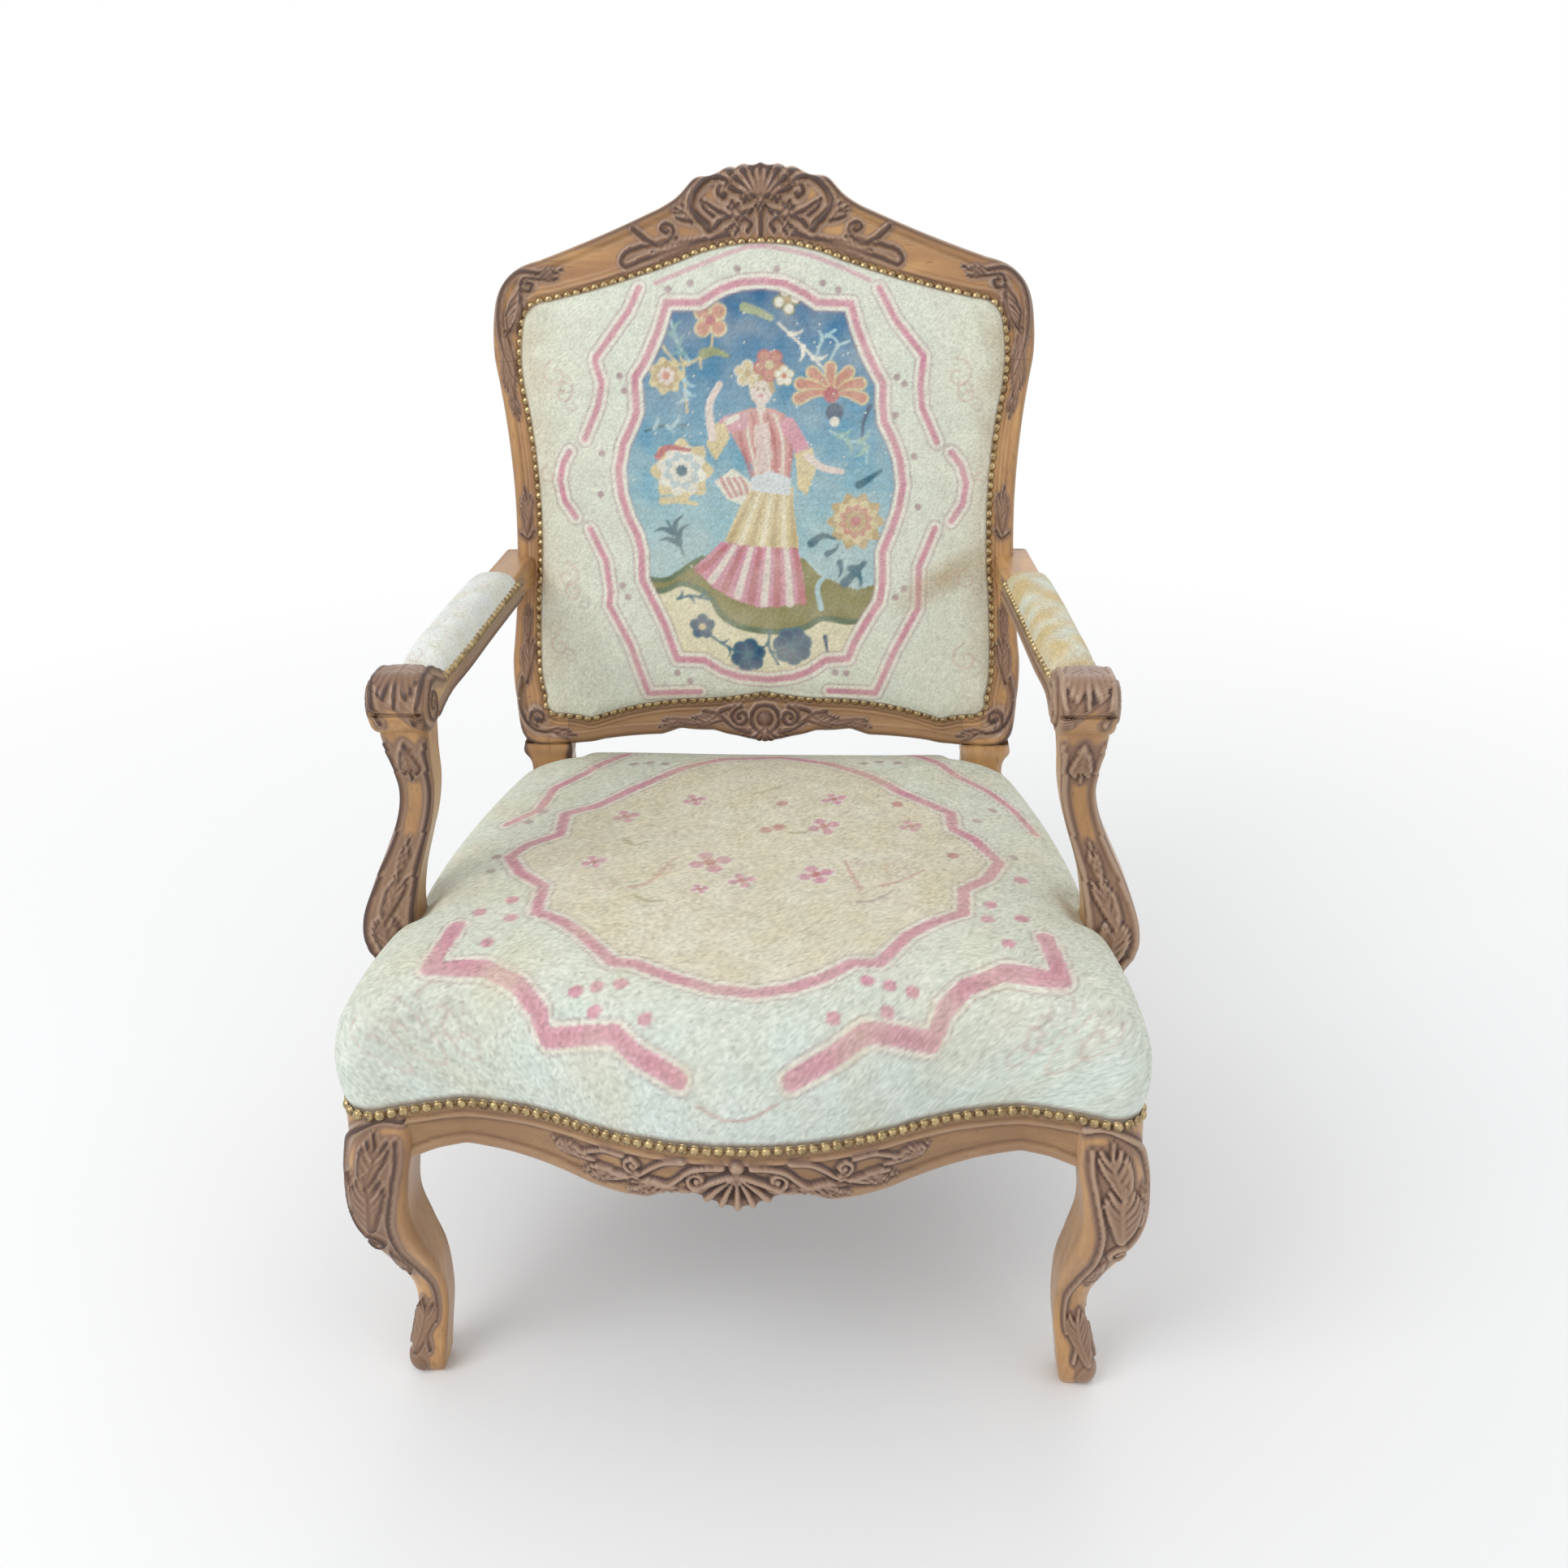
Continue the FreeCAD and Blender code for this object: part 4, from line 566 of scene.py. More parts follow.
def reach_to(points, directions, line):
    """How far each point lies from a closed line along its direction."""
    a = line
    run = np.roll(line, -1, 0) - line
    away = a[None] - points[:, None]
    across = directions[:, None, 0] * run[None, :, 1] - directions[:, None, 1] * run[None, :, 0]
    across = np.where(np.abs(across) < 1e-9, 1e-9, across)
    right, up = away[..., 0], away[..., 1]
    reach = (right * run[None, :, 1] - up * run[None, :, 0]) / across
    share = (right * directions[:, None, 1] - up * directions[:, None, 0]) / across
    reach = np.where((share >= 0) & (share <= 1) & (reach > 0), reach, FAR_OFF)
    return reach.min(1)


def spiral(centre, start, end, turns, from_angle, hand=1):
    """Points of a scroll that winds in from radius start to radius end."""
    share = np.linspace(0, 1, int(24 * turns) + 2)
    radius = start + (end - start) * share
    angle = math.radians(from_angle) + hand * share * turns * 2 * math.pi
    return np.stack([centre[0] + radius * np.cos(angle), centre[1] + radius * np.sin(angle)], 1)


# Carving: x and the way up the back in millimetres, sizes as width and height


def crest_carving(x, s):
    """Shell, flowers and C scrolls over the middle of the crest, for x over 0."""
    big_c = curve(
        [(37, 557), (41.7, 561), (40, 567), (34, 568), (35, 573), (48.9, 576), (61, 568), (69, 557),
         (70, 547), (63, 538), (56, 532), (52, 526)]
    )
    low_c = curve([(13, 525), (10.6, 531.6), (16.6, 537), (28.6, 538.4), (40.5, 534.7), (47, 528)])
    curl = curve([(26, 523), (22.8, 525.8), (24.9, 529), (31, 528), (39.3, 521.6), (50, 517)])
    volute = curve(
        [(95, 524), (99, 526), (100.6, 529), (97, 532.4), (91, 530), (89, 523), (93.5, 516.5),
         (103, 512), (114.5, 516), (122, 522), (129, 528)]
    )
    loop = curve(
        [(33, 521), (52, 518), (76, 511.5), (100, 504.5), (122, 497.5), (137, 491.5), (142, 498),
         (136, 506), (124, 510), (105, 514), (86, 519)]
    )
    parts = [
        stroke(x, s, big_c, 3.0, 7.0, 5.2),
        stroke(x, s, low_c, 2.4, 5.5, 3.0),
        stroke(x, s, curl, 1.8, 4.5, 2.6),
        stroke(x, s, volute, 2.2, 5.0, 3.4),
        stroke(x, s, loop, 3.2, 4.2, 2.4),
        leaf(x, s, (70, 534), (88, 548), 15, 4.0, 0.1, 3),
        leaf(x, s, (60, 516), (118, 500), 13, 3.2, 0.0, 5),
        dome(x, s, (37, 561), 4.5, 7.0),
        dome(x, s, (93, 525.5), 3.6, 5.6),
        dome(x, s, (30, 579), 5.0, 6.0),
        blossom(x, s, (27, 547), 8.5, 6.5),
        blossom(x, s, (15, 556), 7.5, 8.0),
        stroke(x, s, curve([(34, 540), (45, 545), (55, 552)]), 3.0, 4.5, 1.5),
        stroke(x, s, curve([(48, 540), (56, 546), (60, 556)]), 2.4, 4.0, 1.2),
        leaf(x, s, (8, 545), (30, 530), 11, 5.0, 0.1, 3),
    ]
    for turn in (0, 15, 31, 48, 66):
        away = math.radians(turn)
        tip = (33 * math.sin(away), 552 + 34 * math.cos(away))
        parts.append(stroke(x, s, curve([(5 * math.sin(away), 556), tip]), 2.2, 7.5, 4.6))
    parts.append(blossom(x, s, (0, 549), 8.0, 9.5, 6))
    parts.append(stroke(x, s, curve([(0, 543), (0, 530), (0, 521)]), 3.6, 6.5, 2.0))
    return np.maximum.reduce(parts)


def shoulder_carving(x, s):
    """Leaves that wrap the shoulder, and bellflowers down the stile."""
    outer = curve([(229, 486), (247, 487), (262, 474), (269, 455), (270, 430), (264, 402), (258, 384)])
    parts = [
        stroke(x, s, outer, 3.2, 5.0, 2.0),
        stroke(x, s, spiral((239, 474), 8, 2.5, 1.2, 120, -1), 2.4, 5.0, 1.6),
        leaf(x, s, (246, 470), (263, 424), 17, 4.8, -0.1, 5),
        leaf(x, s, (264, 430), (256, 362), 13, 4.0, 0.05, 6),
        leaf(x, s, (262, 384), (254, 340), 8, 3.0, 0.0, 4),
        leaf(x, s, (236, 481), (203, 490), 11, 3.6, 0.1, 3),
    ]
    return np.maximum.reduce(parts)


def stile_carving(x, s):
    """Leaf above the arm, leaves low on the stile and the scroll at the lower corner."""
    parts = [
        leaf(x, s, (250, 222), (251, 272), 12, 3.8, 0.05, 5),
        stroke(x, s, curve([(243, 226), (249, 219), (257, 224)]), 2.4, 4.0, 1.8),
        leaf(x, s, (258, 64), (255, 118), 13, 3.8, 0.05, 5),
        leaf(x, s, (256, 104), (252, 150), 8, 2.8, 0.0, 4),
        stroke(x, s, curve([(262, 70), (266, 50), (263, 28), (252, 14), (238, 10)]), 3.4, 5.0, 2.6),
        stroke(x, s, spiral((247, 26), 10, 2.5, 1.3, -80, 1), 2.8, 5.0, 1.8),
        leaf(x, s, (236, 12), (206, 6), 10, 3.4, 0.05, 3),
        dome(x, s, (247, 26), 4.0, 5.4),
    ]
    return np.maximum.reduce(parts)


def lower_carving(x, s):
    """Cabochon between scrolls and leaves in the middle of the lower rail, for x over 0."""
    parts = [
        dome(x, s, (0, 25), 9.5, 7.0),
        stroke(x, s, curve([(0, 40), (10, 37), (15, 26), (11, 14), (0, 9)]), 2.4, 5.5),
        stroke(x, s, spiral((26, 27), 11, 2.6, 1.4, 90, -1), 2.8, 5.0, 1.8),
        stroke(x, s, curve([(16, 10), (28, 13), (40, 20), (52, 30), (66, 33)]), 3.0, 5.0, 2.0),
        stroke(x, s, curve([(32, 38), (46, 34), (58, 24), (74, 19), (92, 21)]), 3.0, 4.6, 1.6),
        leaf(x, s, (44, 24), (80, 26), 13, 4.0, -0.1, 4),
        leaf(x, s, (76, 22), (116, 15), 10, 3.2, 0.08, 5),
        leaf(x, s, (6, 12), (26, 6), 9, 3.8, 0.0, 3),
    ]
    for turn in (0, 24, 50):
        away = math.radians(turn)
        tip = (16 * math.sin(away), 14 - 14 * math.cos(away))
        parts.append(stroke(x, s, curve([(0, 14), tip]), 2.0, 6.0, 3.2))
    return np.maximum.reduce(parts)


FRONT_COLUMNS = 34
BACK_DEPTH = 30.0
PANEL_LAP = 2.0
BACK_ROUNDING = 5.0

# Mouldings: how far the middle lies from the edge it follows, half width, height

INNER_BEAD = (9.0, 2.8, 2.4)
INNER_FILLET = (14.5, 1.6, 0.8)
OUTER_BEAD = (7.0, 5.5, 3.0)
RAIL_BEAD = (6.5, 5.5, 3.0)
NAIL_BEAD = (10.0, 2.6, 1.8)


def lobed_edge(across):
    """How far the crest's edge stands out, for the distance from its middle."""
    lobes = 3.0 * np.abs(np.cos(math.pi * across / 17.0)) * np.exp(-((across / 38.0) ** 6))
    scroll = 3.4 * np.exp(-(((across - 66.0) / 9.0) ** 2))
    return lobes + (scroll - 2.2 * np.exp(-(((across - 50.0) / 6.0) ** 2)))


def back_frame_points():
    """Rows round the back frame and columns round its section, with the line of its rows."""
    away = outward(PANEL_LINE)
    inner = PANEL_LINE - away * PANEL_LAP
    reach = reach_to(inner, away, outline(BACK_HALF, 1700, 2))
    for _ in range(6):
        reach = (np.roll(reach, 1) + 2 * reach + np.roll(reach, -1)) / 4
    across = np.abs(inner[:, 0] + away[:, 0] * reach)
    reach = reach + np.where(inner[:, 1] > CREST_FOOT, lobed_edge(across), 0.0)
    out = np.linspace(0, 1, FRONT_COLUMNS)[None] * reach[:, None]
    x = inner[:, None, 0] + away[:, None, 0] * out
    s = inner[:, None, 1] + away[:, None, 1] * out
    to_edge = reach[:, None] - out
    height = ridge(out, *INNER_BEAD) + ridge(to_edge, *OUTER_BEAD)
    height += ridge(out, *INNER_FILLET)
    carved = np.zeros_like(height)
    mirrored_x = np.abs(x)
    for carving in (crest_carving, shoulder_carving, stile_carving, lower_carving):
        carved = np.maximum(carved, carving(mirrored_x, s))
    middle = np.exp(-((mirrored_x / 60) ** 4)) * (s > 500)
    under = np.maximum(height * 0.35, 0) + carved
    height = np.where(carved > 0.05, under, height * (1 - 0.6 * middle))
    height -= rounding(to_edge, BACK_ROUNDING)
    height *= np.clip((out - 4.5) / 2.0, 0, 1)
    front = np.stack([x, -height, s], -1)
    rim = []
    for out_by, back in ((0.0, 8.0), (0.3, 14.0), (0.3, 20.0), (0.0, 26.0), (-1.2, 29.0)):
        rim.append((reach + out_by, back))
    for at in (reach - 4.0, reach * 0.6, reach * 0.2, -17.0):
        rim.append((at, BACK_DEPTH))
    rim += [(-17.0, 18.0), (-17.0, 6.0), (-8.0, 6.0), (0.5, 6.0), (0.5, 3.0)]
    columns = []
    for at, back in rim:
        line = inner + away * np.reshape(at, (-1, 1))
        columns.append(np.column_stack([line[:, 0], np.full(len(line), back), line[:, 1]]))
    points = np.concatenate([front, np.stack(columns, 1)], 1)
    mask = np.full(points.shape[:2], -1.0)
    mask[:, : FRONT_COLUMNS - 1] = spread_out(carved > 0.05, 4)[:, :-1]
    return points, inner, mask


def rows_between(points, start, end):
    """Rows of a closed run from start up to end, passing its first row if need be."""
    if start <= end:
        return points[start:end]
    return np.concatenate([points[start:], points[:end]])


def rounded_box(x0, x1, y0, y1, radius, count):
    """Closed line round a box in plan, from its rear inner corner past its front."""
    radii = np.broadcast_to(radius, 4)
    corners = ((x0, y1, 90), (x0, y0, 180), (x1, y0, 270), (x1, y1, 0))
    sides = ((1, -1), (1, 1), (-1, 1), (-1, -1))
    line = []
    for (x, y, start), (sx, sy), r in zip(corners, sides, radii):
        angle = np.radians(start + np.linspace(0, 90, 9))
        line.append(np.stack([x + sx * r + r * np.cos(angle), y + sy * r + r * np.sin(angle)], 1))
    return spaced(np.concatenate(line), count=count)


def stations_at(stations, levels):
    """Values of the stations at more levels, on smooth curves through them."""
    table = np.array(stations, float)
    keys = table[:, 0]
    slopes = np.gradient(table, keys, axis=0)
    result = []
    for level in levels:
        k = min(max(int(np.searchsorted(keys, level)) - 1, 0), len(keys) - 2)
        gap = keys[k + 1] - keys[k]
        t = (level - keys[k]) / gap
        result.append(
            (2 * t**3 - 3 * t**2 + 1) * table[k]
            + (t**3 - 2 * t**2 + t) * gap * slopes[k]
            + (3 * t**2 - 2 * t**3) * table[k + 1]
            + (t**3 - t**2) * gap * slopes[k + 1]
        )
    return np.array(result)


def level(line, z):
    """A line in plan, put at a height."""
    return np.column_stack([line, np.full(len(line), z)])


def along_from(line, x, y):
    """How far each point of a closed line lies along it from the point nearest to x, y."""
    gaps = np.linalg.norm(np.roll(line, -1, 0) - line, axis=1)
    at = np.concatenate([[0], np.cumsum(gaps)[:-1]])
    return at - at[np.argmin((line[:, 0] - x) ** 2 + (line[:, 1] - y) ** 2)]


def post_below():
    """Neck, seat block and rear leg of the +x post, as z, x and y from and to, and rounding."""
    stations = [
        (0.0, 238.0, 265.0, 296.0, 323.0, 5.0),
        (20.0, 237.0, 267.0, 291.0, 320.0, 6.0),
        (80.0, 234.0, 264.0, 272.0, 302.0, 6.0),
        (150.0, 227.0, 263.0, 243.0, 279.0, 6.0),
        (220.0, 218.0, 267.0, 210.0, 254.0, 5.0),
        (270.0, 213.0, 268.0, 196.5, 240.0, 3.0),
        (350.0, 213.0, 267.5, 196.0, 240.0, 3.0),
        (392.0, 213.0, 261.0, 195.5, 235.0, 5.0),
        (412.0, 213.0, 257.5, 196.5, 232.0, 6.0),
        (428.0, 213.0, 260.0, 197.0, 231.0, 6.0),
        (436.0, 212.0, 265.0, 197.5, 230.0, 4.0),
        (446.0, 212.5, 264.0, 200.5, 229.5, 3.0),
    ]
    levels = np.concatenate([np.arange(0, 350, 6.0), np.arange(350, 446.5, 3.0)])
    points = []
    for z, x0, x1, y0, y1, radius in stations_at(stations, levels):
        points.append(level(rounded_box(x0, x1, y0, y1, radius, 64), z))
    return Grid(np.array(points), wrap_cols=True, caps=True)


# Front legs: z, how far the middle stands in from the seat's side, y of the middle, width

LEG_STATIONS = [
    (0.0, 34.5, -249.0, 27.0),
    (6.0, 34.5, -250.0, 32.0),
    (20.0, 35.0, -250.0, 35.0),
    (42.0, 38.5, -246.0, 33.0),
    (75.0, 43.5, -241.5, 30.5),
    (104.0, 43.5, -243.5, 33.0),
    (140.0, 37.5, -252.0, 43.0),
    (175.0, 27.5, -261.0, 51.0),
    (213.0, 19.5, -265.0, 54.0),
    (250.0, 21.0, -263.0, 57.0),
    (285.0, 26.5, -259.5, 58.0),
    (322.0, 28.3, -258.0, 57.0),
]
LEG_COLUMNS = 132


def leg_carving(u, z):
    """Carving of a front leg: u runs in millimetres from the front corner, outward over 0."""
    parts = [
        stroke(
            u, z,
            curve([
                (-46, 312), (-28, 315), (-8, 306), (8, 286), (15, 256), (13, 226), (3, 202), (-6, 190),
            ]),
            3.2, 4.2, 2.4,
        ),
        stroke(u, z, spiral((-10, 184), 9, 2.4, 1.3, 60, 1), 2.6, 4.6, 1.8),
        stroke(
            u, z,
            curve([
                (-40, 292), (-41, 262), (-36, 228), (-29, 200), (-24, 168), (-22, 130), (-19, 92),
                (-18, 60),
            ]),
            2.8, 3.4, 1.7,
        ),
        leaf(u, z, (-14, 202), (-16, 262), 30, 4.4, 0.06, 5),
        leaf(u, z, (-16, 248), (-22, 302), 24, 4.0, 0.06, 4),
        leaf(u, z, (2, 214), (4, 262), 12, 3.2, 0.0, 4),
        leaf(u, z, (-16, 170), (-10, 128), 10, 2.4, 0.0, 4),
        leaf(u, z, (-4, 26), (-6, 88), 20, 3.4, 0.04, 6),
        leaf(u, z, (14, 24), (10, 62), 10, 2.6, 0.0, 4),
        stroke(u, z, curve([(-17, 30), (-12, 44), (-14, 62)]), 2.2, 3.0, 1.4),
        stroke(u, z, curve([(16, 74), (15, 130), (20, 180)]), 2.0, 2.0, 1.6),
    ]
    toe = dome(u, z * 1.15, (0, 15), 15.0, 3.0)
    return np.maximum(np.maximum.reduce(parts), toe)


def front_leg():
    """Cabriole leg at +x."""
    levels = np.concatenate([[0.0, 1.2], np.arange(3.0, 322.1, 1.7)])
    points = []
    corner = []
    for z, inward, y, width in stations_at(LEG_STATIONS, levels):
        half = width / 2
        x = SEAT_HALF_WIDTH - inward
        radius = (width * 0.1, width * 0.13, width * 0.4, width * 0.13)
        line = rounded_box(x - half, x + half, y - half, y + half, radius, LEG_COLUMNS)
        slant = 9.0 * max(0.0, (z - 260.0) / 60.0)
        inner_share = np.clip((x + half - line[:, 0]) / width, 0, 1)
        front_share = np.clip((y + half - line[:, 1]) / width, 0, 1)
        line[:, 1] += slant * (inner_share * front_share)
        if z < 1.0:
            line = (line - (x, y)) * 0.94 + (x, y)
        points.append(level(line, z))
        corner.append(along_from(line, x + half, y - half))
    grid = Grid(np.array(points), wrap_cols=True, caps=True)
    u = np.array(corner)
    z = grid.points[..., 2]
    height = leg_carving(u, z)
    height *= np.clip((319.5 - z) / 3.0, 0, 1) * np.clip(z / 4.0, 0, 1)
    return grid.raised(height)


# Seat rails: x and z of the front rail's lower edge, for x over 0

APRON_BOTTOM = [
    (0, 262.5), (12, 266), (24, 271), (35, 276), (52, 277.5), (66, 271), (78, 264), (100, 262.5),
    (125, 263.5), (160, 268), (200, 273.5), (240, 278), (265, 275.5), (286, 270),
]


FRONT_RAIL_TO_Y = -262.0
FRONT_RAIL_HALF = 292.0
RAIL_TOP = 323.0
RAIL_DEPTH = 34.0
RAIL_COLUMNS = 34
RAIL_ROUNDING = 4.0


def apron_carving(x, z):
    """Palmette, scrolls and leaves of the front rail, for x over 0."""
    parts = [
        stroke(x, z, spiral((33, 292), 10, 2.4, 1.3, 200, 1), 2.8, 5.0, 1.8),
        stroke(
            x, z, curve([(12, 306), (26, 305), (40, 300), (50, 290), (62, 283), (76, 283)]), 2.8, 5.0,
            2.0,
        ),
        stroke(x, z, curve([(44, 309), (60, 306), (72, 298), (84, 288), (100, 284)]), 2.6, 4.4, 1.8),
        stroke(x, z, spiral((88, 298), 8, 2.2, 1.2, 240, 1), 2.4, 4.4, 1.6),
        stroke(x, z, curve([(96, 305), (112, 306), (126, 300), (140, 295), (156, 297)]), 2.4, 4.0, 1.4),
        leaf(x, z, (52, 284), (92, 272), 14, 4.6, 0.1, 5),
        leaf(x, z, (92, 284), (132, 279), 13, 4.0, 0.05, 5),
        leaf(x, z, (122, 292), (160, 302), 11, 3.4, -0.08, 5),
        leaf(x, z, (36, 282), (62, 276), 9, 4.0, 0.0, 3),
        dome(x, z, (33, 292), 3.6, 5.6),
        dome(x, z, (88, 298), 3.2, 5.0),
        dome(x, z, (0, 306), 6.5, 6.0),
    ]
    for turn in (0, 20, 40, 60):
        away = math.radians(turn)
        tip = (40 * math.sin(away), 303 - 37 * math.cos(away))
        parts.append(stroke(x, z, curve([(2 * math.sin(away), 300), tip]), 1.8, 6.5, 3.4))
    return np.maximum.reduce(parts)


def rail_bands(z, up):
    """Mouldings of a rail, for a height and the distance up from the lower edge."""
    return ridge(up, *RAIL_BEAD) + ridge(NAIL_Z - z, *NAIL_BEAD)


def below_cloth(z):
    """1 on the wood that shows under the seat's cloth, 0 behind the cloth."""
    return np.clip((NAIL_Z - 4.0 - z) / 2.0, 0, 1)


def rail_grid(line, bottom, relief):
    """Rail whose outer face stands on a line in plan, with a bottom at each of its points."""
    run = np.gradient(line, axis=0)
    run /= np.linalg.norm(run, axis=1)[:, None]
    away = np.stack([run[:, 1], -run[:, 0]], 1)
    share = np.linspace(0, 1, RAIL_COLUMNS)
    z = RAIL_TOP + (bottom[:, None] - RAIL_TOP) * share[None]
    height, carved = relief(z, z - bottom[:, None])
    x = line[:, None, 0] + away[:, None, 0] * height
    y = line[:, None, 1] + away[:, None, 1] * height
    front = np.stack([x, y, z], -1)
    inside = []
    for by in (8.0, 20.0, RAIL_DEPTH - 1.0):
        inside.append(level(line - away * by, bottom))
    for lift in (1.0, 20.0):
        inside.append(level(line - away * RAIL_DEPTH, bottom + lift))
    for by in (RAIL_DEPTH, 12.0):
        inside.append(level(line - away * by, RAIL_TOP))
    points = np.concatenate([front, np.stack(inside, 1)], 1)
    mask = np.full(points.shape[:2], -1.0)
    mask[:, :RAIL_COLUMNS] = carved
    return Grid(points, wrap_cols=True, caps=True, carved=mask)


def front_rail():
    """Carved rail over the whole front of the seat."""
    across, deep = SEAT_LINE.T
    front = SEAT_LINE[(deep < FRONT_RAIL_TO_Y) & (np.abs(across) < FRONT_RAIL_HALF)]
    line = spaced(front[np.argsort(front[:, 0])], count=380, closed=False)
    bottom = np.interp(np.abs(line[:, 0]), *np.array(APRON_BOTTOM).T)
    for _ in range(3):
        bottom[1:-1] = (bottom[:-2] + 2 * bottom[1:-1] + bottom[2:]) / 4

    def relief(z, up):
        x = np.abs(line[:, None, 0]) + np.zeros_like(z)
        plain = rail_bands(z, up)
        carved = apron_carving(x, z)
        height = np.where(carved > 0.05, plain * 0.3 + carved, plain)
        height -= rounding(up, RAIL_ROUNDING)
        return height * below_cloth(z), spread_out(carved > 0.05, 4)

    return rail_grid(line, bottom, relief)


def side_rail():
    """Side rail at +x."""
    x, y = SEAT_LINE.T
    side = SEAT_LINE[(x > 250.0) & (y > -240.0) & (y < 200.0)]
    line = spaced(side[np.argsort(side[:, 1])], count=240, closed=False)
    share = np.linspace(-1, 1, len(line))
    bottom = 271.0 + 8.5 * (1 - share**2)

    def relief(z, up):
        height = (rail_bands(z, up) - rounding(up, RAIL_ROUNDING)) * below_cloth(z)
        return height, np.zeros(height.shape)

    return rail_grid(line, bottom, relief)


# Arms: y, x of the middle, half width, z from and to

KNUCKLE_Y = -139.0
KNUCKLE_Z = 640.0
KNUCKLE_RADIUS = 24.5
ARM_LEAN_FROM = 236.0
ARM_MIDDLE_Z = 631.0
ARM_STATIONS = [
    (-139.0, 286.0, 24.5, 615.5, 664.5),
    (-112.0, 286.5, 24.0, 616.0, 661.0),
    (-92.0, 286.0, 22.5, 617.0, 650.5),
    (-74.0, 285.0, 21.0, 617.0, 645.0),
    (-10.0, 279.5, 20.0, 617.0, 645.0),
    (60.0, 275.5, 20.0, 617.0, 645.0),
    (140.0, 270.0, 20.0, 617.0, 645.0),
    (200.0, 265.5, 19.5, 617.0, 645.0),
    (266.0, 261.0, 19.0, 617.0, 645.0),
]


def arm_wood():
    """Arm at +x: bar under the pad, rising to the scroll of the knuckle."""
    nose = KNUCKLE_Y - KNUCKLE_RADIUS * np.sin(np.radians(np.linspace(88, 4, 16)))
    levels = np.concatenate([np.arange(-139.0, -70.0, 1.6), np.arange(-70.0, 266.5, 5.0)])
    rows = list(stations_at(ARM_STATIONS, levels))
    first = rows[0]
    front = []
    for y in nose:
        rise = math.sqrt(max(KNUCKLE_RADIUS**2 - (y - KNUCKLE_Y) ** 2, 0.5))
        half = first[2] - 1.5 * (1 - rise / KNUCKLE_RADIUS)
        front.append((y, first[1], half, KNUCKLE_Z - rise, KNUCKLE_Z + rise))
    points = []
    around = []
    for y, x, half, low, high in front + rows:
        radius = min(5.0, (high - low) * 0.45)
        section = rounded_box(x - half, x + half, low, high, radius, 104)
        behind = max(0.0, y - ARM_LEAN_FROM) / 30.0
        lean = (section[:, 1] - ARM_MIDDLE_Z) * math.tan(RAKE) * behind
        points.append(np.column_stack([section[:, 0], y + lean, section[:, 1]]))
        around.append(section - (x, 0.0))
    grid = Grid(np.array(points), wrap_cols=True, caps=True)
    if grid.normals[len(front) + 60, 0, 0] > 0:
        grid = grid.flipped()
        around = [line[::-1] for line in around]
    across = np.array(around)[..., 0]
    y = grid.points[..., 1]
    z = grid.points[..., 2]
    side = np.abs(grid.normals[..., 0]) > 0.7
    top = grid.normals[..., 2] > 0.35
    scroll = stroke(y, z, spiral((-138.0, 640.0), 19.0, 4.0, 1.6, 60, 1), 2.6, 3.2, 1.8)
    scroll = np.maximum(scroll, dome(y, z, (-138.0, 640.0), 5.0, 4.2))
    tail = curve([(-120, 656), (-104, 648), (-84, 640), (-40, 637), (60, 636), (180, 636)])
    low_tail = curve([(-118, 622), (-90, 622.5), (0, 622.5), (180, 622.5)])
    scroll = np.maximum(scroll, stroke(y, z, tail, 2.4, 2.2, 1.6))
    scroll = np.maximum(scroll, stroke(y, z, low_tail, 2.4, 2.2, 2.2))
    height = np.where(side, scroll, 0.0)
    run = np.where(y < KNUCKLE_Y, KNUCKLE_Y - (KNUCKLE_Z + KNUCKLE_RADIUS - z), y)
    crown = leaf(across, run, (0, -98), (0, -158), 34, 3.6, 0.0, 6)
    border = np.maximum(
        stroke(
            np.abs(across), run, curve([(19, -88), (20, -120), (20, -150), (14, -172)]), 2.6, 3.0, 2.0,
        ),
        leaf(np.abs(across), run, (10, -104), (17, -140), 10, 3.0, 0.0, 4),
    )
    height = np.where(top | (grid.normals[..., 1] < -0.5), np.maximum(crown, border), height)
    height *= np.clip((250.0 - y) / 10.0, 0, 1)
    return grid.raised(height)


# Consoles: z, outermost x, width, foremost y, depth

CONSOLE_STATIONS = [
    (346.0, 342.0, 44.0, -130.0, 46.0),
    (366.0, 342.5, 44.0, -130.0, 46.0),
    (392.0, 351.0, 50.0, -136.0, 50.0),
    (421.0, 351.0, 48.0, -135.0, 48.0),
    (455.0, 340.0, 41.0, -126.0, 43.0),
    (488.0, 325.0, 35.0, -120.0, 40.0),
    (517.0, 313.0, 32.0, -120.0, 38.0),
    (552.0, 304.5, 31.0, -127.0, 38.0),
    (585.0, 305.0, 35.0, -139.0, 40.0),
    (612.0, 308.0, 42.0, -148.0, 40.0),
    (626.0, 308.0, 44.0, -149.0, 36.0),
]


def console_carving(u, z):
    """Leaf and edge mouldings of a console: u runs from the middle of its front, outward over 0."""
    parts = [
        stroke(
            np.abs(u), z,
            curve([
                (16, 380), (21, 400), (21, 425), (17, 455), (13, 490), (12, 530), (13, 570), (17, 606),
            ]),
            2.6, 2.8, 1.8,
        ),
        leaf(u, z, (0, 380), (4, 432), 24, 4.0, 0.05, 5),
        leaf(u, z, (3, 416), (-2, 470), 17, 3.6, 0.05, 5),
        leaf(u, z, (-3, 458), (0, 500), 9, 2.8, 0.0, 4),
        stroke(u, z, curve([(-15, 384), (-6, 374), (8, 376), (15, 388)]), 3.0, 4.0, 2.2),
        leaf(u, z, (0, 606), (0, 566), 17, 3.2, 0.0, 5),
    ]
    return np.maximum.reduce(parts)


